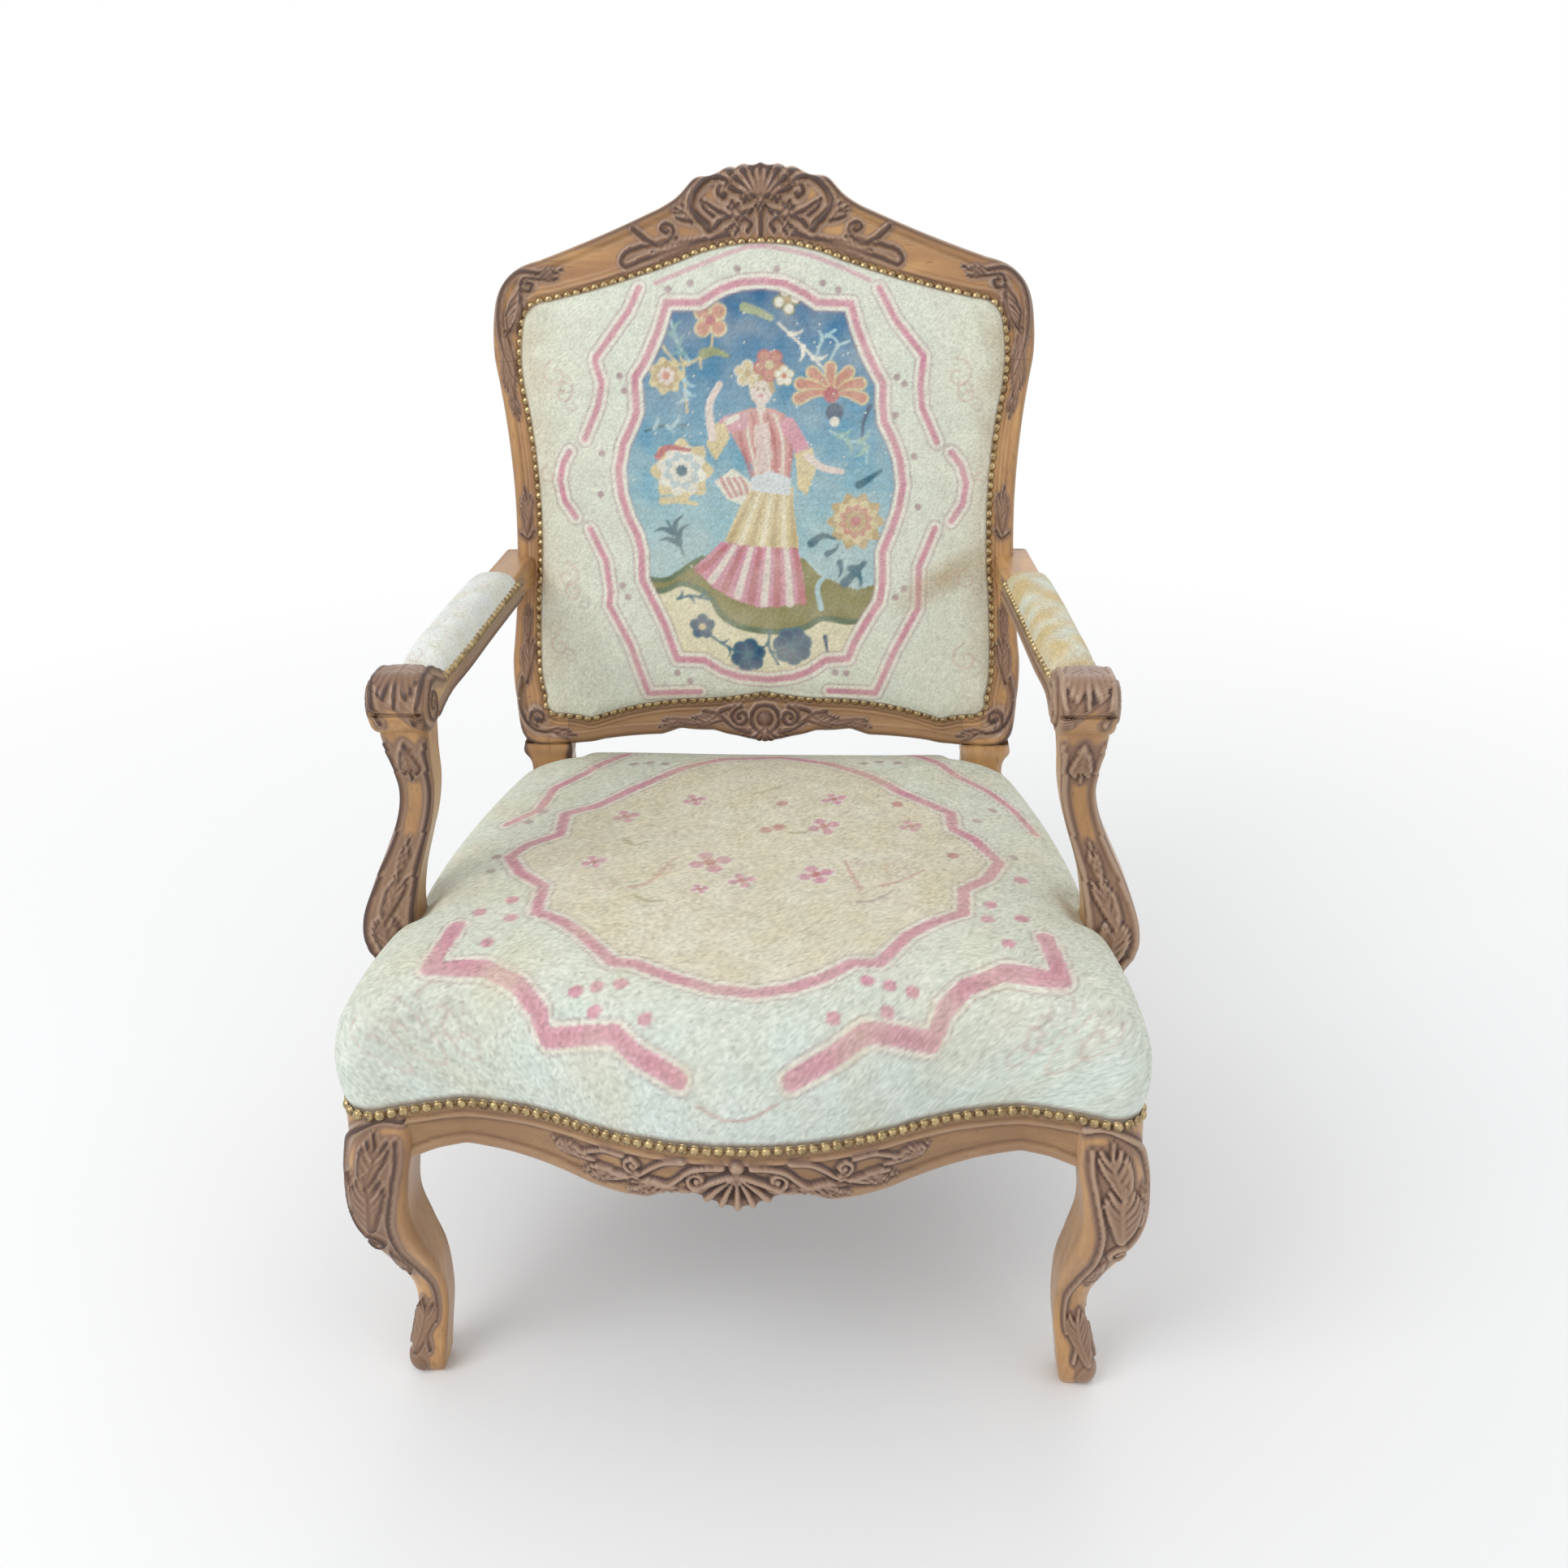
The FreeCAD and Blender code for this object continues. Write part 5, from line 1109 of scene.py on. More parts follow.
def console():
    """Scrolled support of the arm at +x."""
    levels = np.arange(346.0, 626.1, 2.0)
    points = []
    around = []
    for z, x1, width, y0, depth in stations_at(CONSOLE_STATIONS, levels):
        line = rounded_box(x1 - width, x1, y0, y0 + depth, (5.0, 6.0, 8.0, 6.0), 92)
        points.append(level(line, z))
        around.append(along_from(line, x1 - width / 2, y0))
    grid = Grid(np.array(points), wrap_cols=True, caps=True)
    z = grid.points[..., 2]
    height = console_carving(np.array(around), z)
    height *= np.clip((612.0 - z) / 6.0, 0, 1) * np.clip((z - 364.0) / 6.0, 0, 1)
    return grid.raised(height)


# Upholstery


def ring_sides(half, corners, count=400):
    """The four sides of a closed outline between its corners, each from the low end up.

    The corners are given as (x, y) of the +x side: near the foot of the outline, then near
    its top. The sides come as foot, right, top and left.
    """
    line = outline(half, 2400, 6)
    (foot_x, foot_y), (top_x, top_y) = corners

    def nearest(x, y):
        return int(np.argmin((line[:, 0] - x) ** 2 + (line[:, 1] - y) ** 2))

    top_right, foot_right = nearest(top_x, top_y), nearest(foot_x, foot_y)
    top_left, foot_left = nearest(-top_x, top_y), nearest(-foot_x, foot_y)

    def run(a, b):
        part = line[a:b + 1] if a <= b else np.concatenate([line[a:], line[:b + 1]])
        return spaced(part, count=count, closed=False)

    right = run(top_right, foot_right)[::-1]
    foot = run(foot_right, foot_left)[::-1]
    left = run(foot_left, top_left)
    top = run(top_left, top_right)
    return foot, right, top, left


def cushion_grid(half, corners, centre, count):
    """Square grid over an outline: for each point the place on the outline and its share r."""
    foot, right, top, left = ring_sides(half, corners)
    v, u = np.meshgrid(np.linspace(-1, 1, count), np.linspace(-1, 1, count), indexing="ij")
    share = np.maximum(np.abs(u), np.abs(v))
    safe = np.where(share < 1e-9, 1.0, share)
    place = np.zeros(u.shape + (2,))
    for side, on, at in (
        (right, u >= np.abs(v), v / safe), (left, -u >= np.abs(v), v / safe),
        (top, v > np.abs(u), u / safe), (foot, -v > np.abs(u), u / safe),
    ):
        where = (at[on] + 1) / 2 * (len(side) - 1)
        for axis in (0, 1):
            place[..., axis][on] = np.interp(where, np.arange(len(side)), side[:, axis])
    return place - centre, share


# Profiles of the cloth: share of the way in, how far in, and z or depth

SEAT_CENTRE = np.array([0.0, -46.5])
SEAT_PROFILE = [
    (0.0, 1.0, 319.6),
    (0.03, 0.8, 325.0),
    (0.07, -1.6, 338.0),
    (0.12, -3.0, 352.0),
    (0.17, -3.2, 366.0),
    (0.22, -2.0, 380.0),
    (0.27, 0.6, 393.0),
    (0.32, 6.0, 408.0),
    (0.37, 16.0, 421.5),
    (0.43, 32.0, 431.0),
    (0.52, 62.0, 439.5),
    (0.64, 110.0, 446.0),
    (0.80, 190.0, 450.5),
    (1.0, 341.0, 452.0),
]
PANEL_CENTRE = np.array([0.0, 268.0])
BACK_PROFILE = [
    (0.0, -3.0, 5.0),
    (0.03, -2.0, 0.5),
    (0.07, 0.0, -4.0),
    (0.12, 5.0, -8.0),
    (0.20, 15.0, -12.0),
    (0.32, 34.0, -15.5),
    (0.5, 70.0, -18.5),
    (0.72, 130.0, -20.0),
    (1.0, 245.0, -20.6),
]


def profiled(profile, share, count=400):
    """Inset and height at each share of the way in, and the length of the way."""
    table = np.array(profile)
    fine = curve(table, 0.02)
    at = np.linspace(0, 1, count)
    keys = fine[:, 0]
    inset = np.interp(at, keys, fine[:, 1])
    height = np.interp(at, keys, fine[:, 2])
    run = np.hypot(np.diff(inset), np.diff(height))
    length = np.concatenate([[0], np.cumsum(run)])
    where = np.interp(share, length / length[-1], at)
    return np.interp(where, at, inset), np.interp(where, at, height), length[-1]


def pucker(place, share, depth):
    """How far the cloth is drawn in between the nails near its edge."""
    turn = np.arctan2(place[..., 1], place[..., 0])
    near = np.exp(-(((1 - share) / 0.035) ** 2))
    return depth * near * (0.6 + 0.4 * np.sin(turn * 190.0) + 0.5 * np.sin(turn * 47.0))


# Where posts and console feet press the seat: middles and half widths, depths and reaches

CONSOLE_FOOT_X = (320.0, 22.0)
CONSOLE_FOOT_Y = (-107.0, 23.0)
POST_DENT = (14.0, 13.0)
FOOT_DENT = (9.0, 12.0)
DENTED_FROM_Z = 392.0


def beyond(values, middle, half):
    """How far values lie outside a span about its middle."""
    return np.maximum(np.abs(values - middle) - half, 0)


def dent(away, depth, reach):
    """How deep the cloth is pressed in, for the way from what presses it."""
    return depth * np.exp(-((away / reach) ** 2))


def seat_surface(count):
    """Points of the seat's cloth, their places on the cloth laid flat, and ways to its edge."""
    place, share = cushion_grid(SEAT_HALF, ((334.0, -275.0), (266.0, 232.0)), SEAT_CENTRE, count)
    inset, z, length = profiled(SEAT_PROFILE, 1 - share)
    inset = inset + pucker(place, share, 0.9)
    flat = place * (1 - inset / SEAT_HALF_WIDTH)[..., None] + SEAT_CENTRE
    x, y = flat[..., 0], flat[..., 1]
    from_post = np.hypot(np.maximum(POST_INNER_X - np.abs(x), 0), np.maximum(POST_FRONT_Y - y, 0))
    high = np.clip((z - DENTED_FROM_Z) / 30.0, 0, 1)
    z = z - dent(from_post, *POST_DENT) * high
    from_foot = np.hypot(beyond(np.abs(x), *CONSOLE_FOOT_X), beyond(y, *CONSOLE_FOOT_Y))
    z = z - dent(from_foot, *FOOT_DENT) * high
    worn = np.sin(x * 0.013 + 0.7) * np.sin(y * 0.017 + 0.4)
    worn = worn + 0.5 * np.sin(x * 0.031) * np.sin(y * 0.027 + 1.0)
    sat_in = 3.0 * np.exp(-((x / 190.0) ** 2) - (((y + 40.0) / 150.0) ** 2))
    z = z + 1.5 * worn * high - sat_in
    cloth = place * share[..., None] * (length / SEAT_HALF_WIDTH) + SEAT_CENTRE
    return np.stack([x, y, z], -1), cloth, (1 - share) * length


def back_surface(count):
    """Points of the back's cloth as x, depth and s, and their ways to its edge."""
    place, share = cushion_grid(PANEL_HALF, ((232.0, 36.0), (238.0, 447.0)), PANEL_CENTRE, count)
    inset, depth, length = profiled(BACK_PROFILE, 1 - share)
    inset = inset + pucker(place, share, 0.7)
    flat = place * (1 - inset / PANEL_HALF_WIDTH)[..., None] + PANEL_CENTRE
    x, s = flat[..., 0], flat[..., 1]
    worn = np.sin(x * 0.017 + 0.3) * np.sin(s * 0.015 + 0.9)
    depth = depth + 1.2 * worn * share.clip(0, 1) * (depth < -8.0)
    return np.stack([x, depth, s], -1), (1 - share) * length


PAD_REAR_Y = 172.0
PAD_FRONT_Y = -84.0
PAD_HALF_WIDTH = 21.6
PAD_FOOT_Z = 636.5
PAD_HEIGHT = 27.5


def arm_x(y):
    """Middle of the arm in plan."""
    table = np.array(ARM_STATIONS)
    return np.interp(y, table[:, 0], table[:, 1])


def pad_surface(rows=190, columns=64):
    """Arm pad at +x: rows along the arm, columns over it from its outer edge to its inner."""
    along = np.linspace(0, 1, rows)
    over = np.linspace(-1, 1, columns)
    rise = np.clip(1 - np.abs(2 * along - 1) ** 7, 0, 1) ** 0.45
    swell = rise * (0.94 + 0.06 * np.sin(along * math.pi))
    y = PAD_FRONT_Y + (PAD_REAR_Y - PAD_FRONT_Y) * along
    end = 1 - 0.12 * (1 - rise)
    across = np.sign(over) * (1 - (1 - np.abs(over)) ** 1.5)
    crown = (1 - np.abs(across) ** 3.4) ** 0.62
    half = (PAD_HALF_WIDTH * end)[:, None]
    x = arm_x(y)[:, None] - half * across[None] * (1 + 0.05 * crown[None])
    z = PAD_FOOT_Z + (PAD_HEIGHT * swell)[:, None] * crown[None]
    return np.stack([x, y[:, None] + np.zeros_like(x), z], -1)


# Needlework: colours painted over the cloth, in millimetres of cloth


def srgb(r, g, b):
    """Linear colour from the usual 0 to 255."""
    value = np.array((r, g, b)) / 255.0
    return np.where(value <= 0.04045, value / 12.92, ((value + 0.055) / 1.055) ** 2.4)


PINK = srgb(206, 146, 156)
ROSE = srgb(184, 108, 110)
MAUVE = srgb(150, 112, 124)
CREAM = srgb(226, 222, 196)
SAGE = srgb(214, 219, 192)
AQUA = srgb(168, 200, 196)
TEAL = srgb(50, 104, 122)
NAVY = srgb(36, 76, 112)
OCHRE = srgb(186, 162, 114)
OLIVE = srgb(134, 128, 74)
CORAL = srgb(196, 138, 116)
STRAW = srgb(210, 194, 142)
SKIN = srgb(222, 206, 186)
MOSS = srgb(84, 108, 78)
# Dark brown line painted along the cloth's edge, under the nails.
EDGE_LINE_BROWN = srgb(118, 88, 62)
EDGE_LINE_WIDTH = 12.5
EDGE_LINE_FADE = 2.4
EDGE_LINE_COVER = 0.8
SOFT_EDGE = 1.5


def distance_to(u, v, line, reach):
    """Distance of each point to a line, and how far along it that is; far points get reach."""
    away = np.full(u.shape, float(reach))
    along = np.zeros(u.shape)
    low = line.min(0) - reach
    high = line.max(0) + reach
    near = (u > low[0]) & (u < high[0]) & (v > low[1]) & (v < high[1])
    p = np.stack([u[near], v[near]], 1)
    best = np.full(len(p), float(reach))
    place = np.zeros(len(p))
    for k in range(len(line) - 1):
        run = line[k + 1] - line[k]
        share = np.clip(((p - line[k]) @ run) / (run @ run + 1e-9), 0, 1)
        gap = np.linalg.norm(p - line[k] - share[:, None] * run, axis=1)
        closer = gap < best
        best = np.where(closer, gap, best)
        place = np.where(closer, (k + share) / (len(line) - 1), place)
    away[near] = best
    along[near] = place
    return away, along


FADED = np.array((1.02, 1.03, 1.17))
BRIGHTEST = 0.84


class Needlework:
    """A field of stitches, painted layer over layer."""

    def __init__(self, u, v, ground, seed):
        self.u = u
        self.v = v
        self.dice = np.random.default_rng(seed)
        self.colour = np.zeros(u.shape + (3,)) + ground

    def lay(self, cover, colour):
        """Colour over what is there, where the cover is over 0."""
        self.colour += (colour - self.colour) * cover[..., None]

    def line(self, points, half, colour, end=None, curved=True, amount=1.0):
        """A line whose half width goes from half to end."""
        line = curve(points, 3.0) if curved else np.array(points, float)
        end = half if end is None else end
        away, along = distance_to(self.u, self.v, line, max(half, end) + 3.0)
        width = half + (end - half) * along
        self.lay(amount * np.clip((width - away) / SOFT_EDGE + 0.5, 0, 1), colour)

    def band(self, points, half, closed=False):
        """Pink border between two fine mauve lines with cream beside it."""
        if closed:
            points = list(points) + list(points[:1])
        self.line(points, half + 5.8, MAUVE, curved=False, amount=0.5)
        self.line(points, half + 3.9, CREAM, curved=False)
        self.line(points, half, PINK, curved=False)
        self.line(points, half * 0.35, ROSE, curved=False, amount=0.25)

    def inside(self, points):
        """Which stitches lie inside a closed outline."""
        corners = np.array(points, float)
        hit = np.zeros(self.u.shape, bool)
        for (x0, y0), (x1, y1) in zip(corners, np.roll(corners, -1, 0)):
            crosses = (y0 > self.v) != (y1 > self.v)
            at = x0 + (self.v - y0) * (x1 - x0) / (y1 - y0 + 1e-12)
            hit ^= crosses & (self.u < at)
        return hit

    def area(self, points, colour, amount=1.0):
        """A filled outline."""
        self.lay(self.inside(points) * amount, colour)

    def spot(self, centre, radius, colour, squash=1.0, amount=1.0):
        """A round or oval spot."""
        away = np.hypot(self.u - centre[0], (self.v - centre[1]) / squash)
        self.lay(amount * np.clip((radius - away) / SOFT_EDGE + 0.5, 0, 1), colour)

    def flower(self, centre, radius, petal, heart, edge, petals=5, turn=0.3):
        """Round petals about a heart."""
        for k in range(petals):
            angle = turn + k * 2 * math.pi / petals
            out = (
                centre[0] + radius * 0.6 * math.cos(angle), centre[1] + radius * 0.6 * math.sin(angle),
            )
            self.spot(out, radius * 0.46, edge)
            self.spot(out, radius * 0.34, petal)
        self.spot(centre, radius * 0.28, heart)

    def rose(self, centre, radius, tones, lobes=9):
        """Lobed rings, one inside the other."""
        away = np.hypot(self.u - centre[0], self.v - centre[1]) / radius
        turn = np.arctan2(self.v - centre[1], self.u - centre[0])
        for k, tone in enumerate(tones):
            size = 1 - k / len(tones)
            edge = size * (0.9 + 0.1 * np.cos(lobes * turn + 2.1 * k))
            self.lay(np.clip((edge - away) * radius / SOFT_EDGE + 0.5, 0, 1), tone)

    def sprig(self, points, leaves, stem, leaf_colour, size=9.0):
        """A stem with leaves, each given by its share of the stem and its side."""
        self.line(points, 1.3, stem)
        line = curve(points, 3.0)
        for share, side in leaves:
            k = int(share * (len(line) - 2))
            run = line[k + 1] - line[k]
            run /= np.linalg.norm(run) + 1e-9
            aside = np.array([-run[1], run[0]]) * side
            tip = line[k] + run * size * 0.6 + aside * size
            middle = (line[k] + tip) / 2 + run * size * 0.2
            self.line([tuple(line[k]), tuple(middle), tuple(tip)], size * 0.24, leaf_colour, 0.6)

    def folds(self, left, right, count, half, end, tones, sag):
        """Lines between the two sides of a skirt, the middle ones reaching lower."""
        sides = [spaced(curve(side), count=5, closed=False) for side in (left, right)]
        for k in range(count):
            share = k / (count - 1)
            line = sides[0] * (1 - share) + sides[1] * share
            line[:, 1] -= sag * math.sin(share * math.pi) * np.linspace(0, 1, 5) ** 2
            self.line(line, half, tones[k % 2], end, amount=0.8)

    def curl(self, centre, radius, colour, hand=1, amount=0.5):
        """A small scroll of tracery."""
        line = spiral(centre, radius, radius * 0.2, 1.1, 100, hand)
        self.line([tuple(p) for p in line[::3]], 1.1, colour, amount=amount)

    def clouds(self, size):
        """Soft uneven field from 0 to 1, with patches of about the given size."""
        total = np.zeros(self.u.shape)
        for _ in range(6):
            wave = 2 * math.pi / (size * (0.6 + 0.8 * self.dice.random()))
            turn = self.dice.random() * math.pi
            phase = self.dice.random(2) * 6.28
            a = self.u * math.cos(turn) + self.v * math.sin(turn)
            b = self.v * math.cos(turn) - self.u * math.sin(turn)
            total += np.sin(a * wave + phase[0] + 1.6 * np.sin(b * wave * 0.7 + phase[1]))
        return np.clip(0.5 + total / 7.0, 0, 1)

    def aged(self, strength):
        """Wear, small colour changes from stitch to stitch, and a few missing stitches."""
        self.lay(self.clouds(46.0) * 0.18, srgb(206, 204, 180))
        self.lay(self.clouds(90.0) * 0.18, srgb(230, 220, 192))
        grain = self.dice.normal(0.0, 1.0, self.u.shape)
        self.colour *= np.clip(1 + strength * grain, 0.7, 1.3)[..., None]
        gone = self.dice.random(self.u.shape) < 0.005
        self.colour[gone] *= 0.8
        pale = np.clip(self.colour.mean(-1) / 0.6, 0, 1)[..., None]
        self.colour = np.clip(self.colour * (1 + (FADED - 1) * pale), 0, BRIGHTEST)


MEDALLION = [
    (2.2, 476), (-20.1, 474.4), (-39.2, 468.8), (-53.4, 460.4), (-61.8, 455.3), (-95.3, 455.6),
    (-98.4, 445.8), (-104, 429), (-110.8, 413.6), (-119.3, 396.6), (-129.1, 382.7), (-128.4, 360.8),
    (-128.1, 348.2), (-133.7, 334.3), (-142.8, 316.6), (-148.5, 291), (-146.9, 266.9), (-140, 242.5),
    (-130.6, 222.9), (-126.8, 206.5), (-126.9, 176.8), (-117.4, 156.8), (-104.6, 130), (-92, 92.2),
    (-63.4, 91.2), (-45, 79.3), (-24.8, 72.6), (5.5, 69.2), (32.4, 72.7), (49.3, 79.5), (66.1, 91.4),
    (89.5, 93.1), (96.1, 110), (109.2, 133.5), (122.3, 153.5), (125.4, 173.3), (125.1, 206.2),
    (133.1, 225.7), (141, 248.3), (145.6, 274), (142, 299.6), (135.3, 318.6), (125.4, 337.5),
    (123.6, 356.3), (124, 375), (116.9, 387.5), (107.2, 406.1), (97.4, 430.7), (90.9, 453.5),
    (57.6, 454.4), (43.4, 463.9), (24.4, 473.1),
]


def edge_lined(colour, to_edge):
    """The cloth with a dark brown line along its edge, under its nails."""
    cover = np.clip((EDGE_LINE_WIDTH - to_edge) / EDGE_LINE_FADE, 0, 1)[..., None] * EDGE_LINE_COVER
    return colour + (EDGE_LINE_BROWN - colour) * cover


def paint_back(x, s):
    """The back: a garden scene with a standing figure in a shaped medallion."""
    work = Needlework(x, s, SAGE, 7)
    work.lay(np.clip((np.abs(x) - 150.0) / 90.0, 0, 1) * 0.45, srgb(212, 206, 172))
    for points in (
        [
            (-123.7, 470.4), (-134, 447.6), (-168.3, 403.2), (-169.4, 397.9), (-163, 376.6),
            (-167.7, 354.7), (-182.6, 321.5),
        ],
        [(-199.5, 308.8), (-206.5, 297.6), (-210.5, 280), (-206.7, 258.9), (-195.4, 242)],
        [
            (-180.2, 229.6), (-164.7, 196.7), (-160.8, 163.5), (-162.9, 150.1), (-142.2, 109.8),
            (-124.1, 54.5), (-69.1, 56),
        ],
        [(119.3, 468.5), (135.5, 438), (164.6, 402), (161.9, 371.7), (163.8, 351.5), (179.5, 316.8)],
        [(194.5, 306.3), (205.1, 293), (210.4, 275.4), (207.6, 254.6), (196, 236.9)],
        [(179.1, 229.5), (163.1, 189.7), (162.8, 146.8), (139.5, 103.3), (119.2, 55.1), (69.5, 57.1)],
    ):
        work.band(points, 3.2)
    work.line([(-106, 474.8), (-64.3, 491.1), (-19.7, 507.2), (2.5, 510.6)], 2.4, PINK, amount=0.7)
    work.line([(2.5, 510.6), (43.4, 502.2), (75, 491.4), (109.8, 476.1)], 2.4, PINK, amount=0.7)
    for centre in [
        (-144.6, 384.3), (-140.5, 369.6), (-142.5, 158.5), (-147.8, 170.8), (137.7, 381.2),
        (145.2, 374.9), (136.6, 343.8), (138.8, 158.4), (148, 167.4), (-23.1, 487.7), (16.5, 487.4),
        (-93.4, 468.6), (-71, 474.5), (78.2, 466.7), (62.4, 473.4), (76.1, 77.9), (87.9, 76.9),
        (-92.3, 77.5), (-79, 68.3), (-165.4, 307.1), (156.5, 302.7), (-168.1, 265.3), (161.2, 251.5),
    ]:
        work.spot(centre, 3.6, MAUVE, amount=0.75)
    for centre, radius, hand in (
        ((-210.5, 386.3), 15, 1),
        ((-203.1, 367.5), 12, -1),
        ((199.9, 383.9), 16, -1),
        ((209.9, 365.2), 12, 1),
        ((-207.1, 180.1), 15, -1),
        ((-199.4, 163.5), 11, 1),
        ((214.6, 93.3), 16, 1),
        ((-216.8, 106.3), 12, 1),
        ((214.3, 176.6), 12, 1),
        ((-222.9, 284.8), 10, 1),
        ((224.7, 283.4), 10, -1),
    ):
        work.curl(centre, radius, ROSE, hand, 0.35)
        work.curl((centre[0] + 9, centre[1] - 12), radius * 0.7, MAUVE, -hand, 0.3)

    inside = work.inside(MEDALLION)
    sky = Needlework(x, s, AQUA, 8)
    high = np.clip((s - 150.0) / 330.0, 0, 1)
    streaks = sky.clouds(34.0) - 0.5
    high_up = np.clip(high + 0.07 * streaks + 0.025 * np.sin(s * 0.8), 0, 1)
    tones = (
        srgb(176, 200, 190), srgb(148, 186, 186), srgb(102, 158, 178), srgb(50, 118, 156),
        srgb(34, 98, 140),
    )
    keys = (0.0, 0.28, 0.52, 0.82, 1.0)
    for channel, values in enumerate(zip(*tones)):
        sky.colour[..., channel] = np.interp(high_up, keys, values)

    hill = [
        (-133.6, 175.1), (-106.9, 176.1), (-90, 184), (-74.9, 193.3), (-56.4, 203.1), (-23.3, 199.8),
        (42.8, 199.7), (59.3, 181.6), (79.2, 173.3), (99.1, 166.1), (132, 176.6), (132.3, 146.8),
        (95.9, 132.8), (62.7, 136.1), (42.7, 125.1), (9.2, 121.7), (-24.2, 126.7), (-44.1, 140.1),
        (-57.1, 160.1), (-83.6, 173.4), (-107.2, 165.1), (-134.1, 160.2),
    ]
    ground = [
        (-133.9, 166.8), (-107.2, 165.1), (-83.6, 173.4), (-57.1, 160.1), (-44.1, 140.1),
        (-24.2, 126.7), (9.2, 121.7), (42.7, 125.1), (62.7, 136.1), (95.9, 132.8), (132.3, 146.8),
        (133.3, 55.8), (-137, 55.2),
    ]
    sky.area(ground, srgb(222, 214, 172))
    sky.area(hill, OLIVE)
    sky.line(
        [
            (-133.9, 166.8), (-107.2, 165.1), (-83.6, 172.8), (-57.1, 160.1), (-44.1, 140.1),
            (-24.2, 127.4), (9.2, 122), (42.7, 126.1), (62.7, 136.1), (95.9, 132.8), (132.3, 146.8),
        ],
        3.2, MOSS,
    )
    sky.line([(-123.5, 178.4), (-100.2, 177.4), (-74.9, 193.3), (-63.1, 199.8)], 2.6, MOSS)

    sky.sprig(
        [(-48.9, 422.5), (-53, 408.6), (-79, 394.8), (-94.9, 406.7), (-99.5, 413.6)],
        ((0.35, 1), (0.6, -1)), STRAW, STRAW, 10,
    )
    sky.flower((-50.9, 438.4), 19, CORAL, ROSE, STRAW, 4, 0.8)
    sky.line([(-57.8, 405.6), (-46.6, 407.7), (-33.8, 403.2)], 5.5, srgb(150, 158, 110), 2.0)
    sky.sprig(
        [(-72.5, 397.9), (-85, 416.5), (-90.9, 438.1)], ((0.3, 1), (0.5, -1), (0.7, 1), (0.85, -1)),
        AQUA, srgb(110, 160, 160), 11,
    )
    sky.rose((-97, 384.1), 19, (STRAW, OCHRE, SKIN, CORAL), 7)
    sky.sprig(
        [(-79, 394.8), (-77.8, 373), (-76.1, 347.9)], ((0.4, 1), (0.6, 1), (0.75, -1)), STRAW, AQUA, 10,
    )
    sky.sprig(
        [(17.8, 434.9), (43.3, 411.1), (64.1, 389.3)], ((0.25, 1), (0.55, -1), (0.8, 1)), CREAM, CREAM,
        12,
    )
    sky.line([(-16.5, 450.4), (-4.4, 446.7), (10.2, 439.8)], 5.0, srgb(160, 172, 130), 3.0)
    sky.flower((26.8, 457.1), 14, CREAM, OCHRE, OLIVE, 4, 0.2)
    sky.sprig([(56, 401.8), (62.4, 418.6), (75.2, 427.8)], ((0.6, 1), (0.85, -1)), AQUA, AQUA, 9)
    sky.sprig([(70.4, 398.6), (78.4, 412.4), (89.5, 416.9)], ((0.7, 1),), AQUA, AQUA, 8)
    for turn in np.linspace(-0.2, math.pi + 0.2, 7):
        foot = (70.5, 366)
        tip = (foot[0] + 33 * math.cos(turn), foot[1] + 25 * math.sin(turn))
        middle = ((foot[0] + tip[0]) / 2, (foot[1] + tip[1]) / 2 + 3)
        sky.line([foot, middle, tip], 3.0, STRAW, 7.0)
        sky.line([foot, middle, tip], 1.8, CORAL, 4.8)
    sky.spot((71.5, 364.4), 8, ROSE)
    sky.spot((74.7, 347.2), 9, NAVY)
    sky.spot((74.8, 337.8), 5, CREAM)
    sky.line([(110.8, 353.3), (104.5, 337.6), (102.9, 321.9)], 2.4, NAVY, 1.0)
    sky.sprig(
        [(70.6, 328.3), (88.4, 318.8), (106.2, 315.6), (108, 296.5)],
        ((0.2, 1), (0.4, -1), (0.6, 1), (0.8, -1)), AQUA, srgb(150, 186, 170), 13,
    )
    sky.line([(100, 274.2), (109.7, 279.9), (122.7, 288.5)], 4.2, TEAL, 1.5)
    sky.rose((97, 237.1), 30, (OCHRE, STRAW, CORAL, OCHRE, ROSE), 10)
    sky.line([(51.1, 214.4), (62.6, 222.6), (75.7, 219.3)], 4.5, TEAL, 1.5)
    sky.sprig(
        [(51.1, 194.8), (67.6, 203.6), (85.7, 191.5), (113.9, 176.6)],
        ((0.3, 1), (0.5, -1), (0.7, 1), (0.85, -1)), AQUA, TEAL, 14,
    )
    sky.line([(61, 146.8), (57.7, 170.1), (70.9, 185.9)], 3.0, AQUA, 2.0)
    sky.line([(85.8, 173.3), (98.9, 186.5), (107.1, 194.7)], 5.0, TEAL, 2.0)
    sky.rose((-82.8, 289.2), 33, (STRAW, CREAM, srgb(180, 196, 188), CREAM, TEAL), 8)
    sky.line([(-107.1, 303.7), (-97, 312.6), (-74.2, 309.9)], 3.6, ROSE, 2.0)
    sky.sprig(
        [(-119.5, 329.2), (-103.1, 333.9), (-77, 335.3)], ((0.3, 1), (0.6, -1), (0.8, 1)), TEAL, AQUA,
        10,
    )
    sky.line([(-103.2, 258.7), (-88.4, 259.3), (-68.7, 255.3)], 4.0, STRAW, 2.0)
    sky.sprig(
        [(-83, 203.2), (-89.3, 219.6), (-98.8, 237.5)], ((0.4, 1), (0.5, -1), (0.75, 1), (0.8, -1)),
        TEAL, TEAL, 17,
    )
    sky.sprig(
        [(-90.6, 156.8), (-75.5, 160.1), (-57.2, 156.1)], ((0.2, 1), (0.5, -1), (0.8, 1)), TEAL, TEAL,
        8,
    )
    sky.sprig([(-61.2, 121.6), (-44.5, 109.9), (-27.9, 99.7)], ((0.6, 1), (0.9, -1)), TEAL, TEAL, 8)
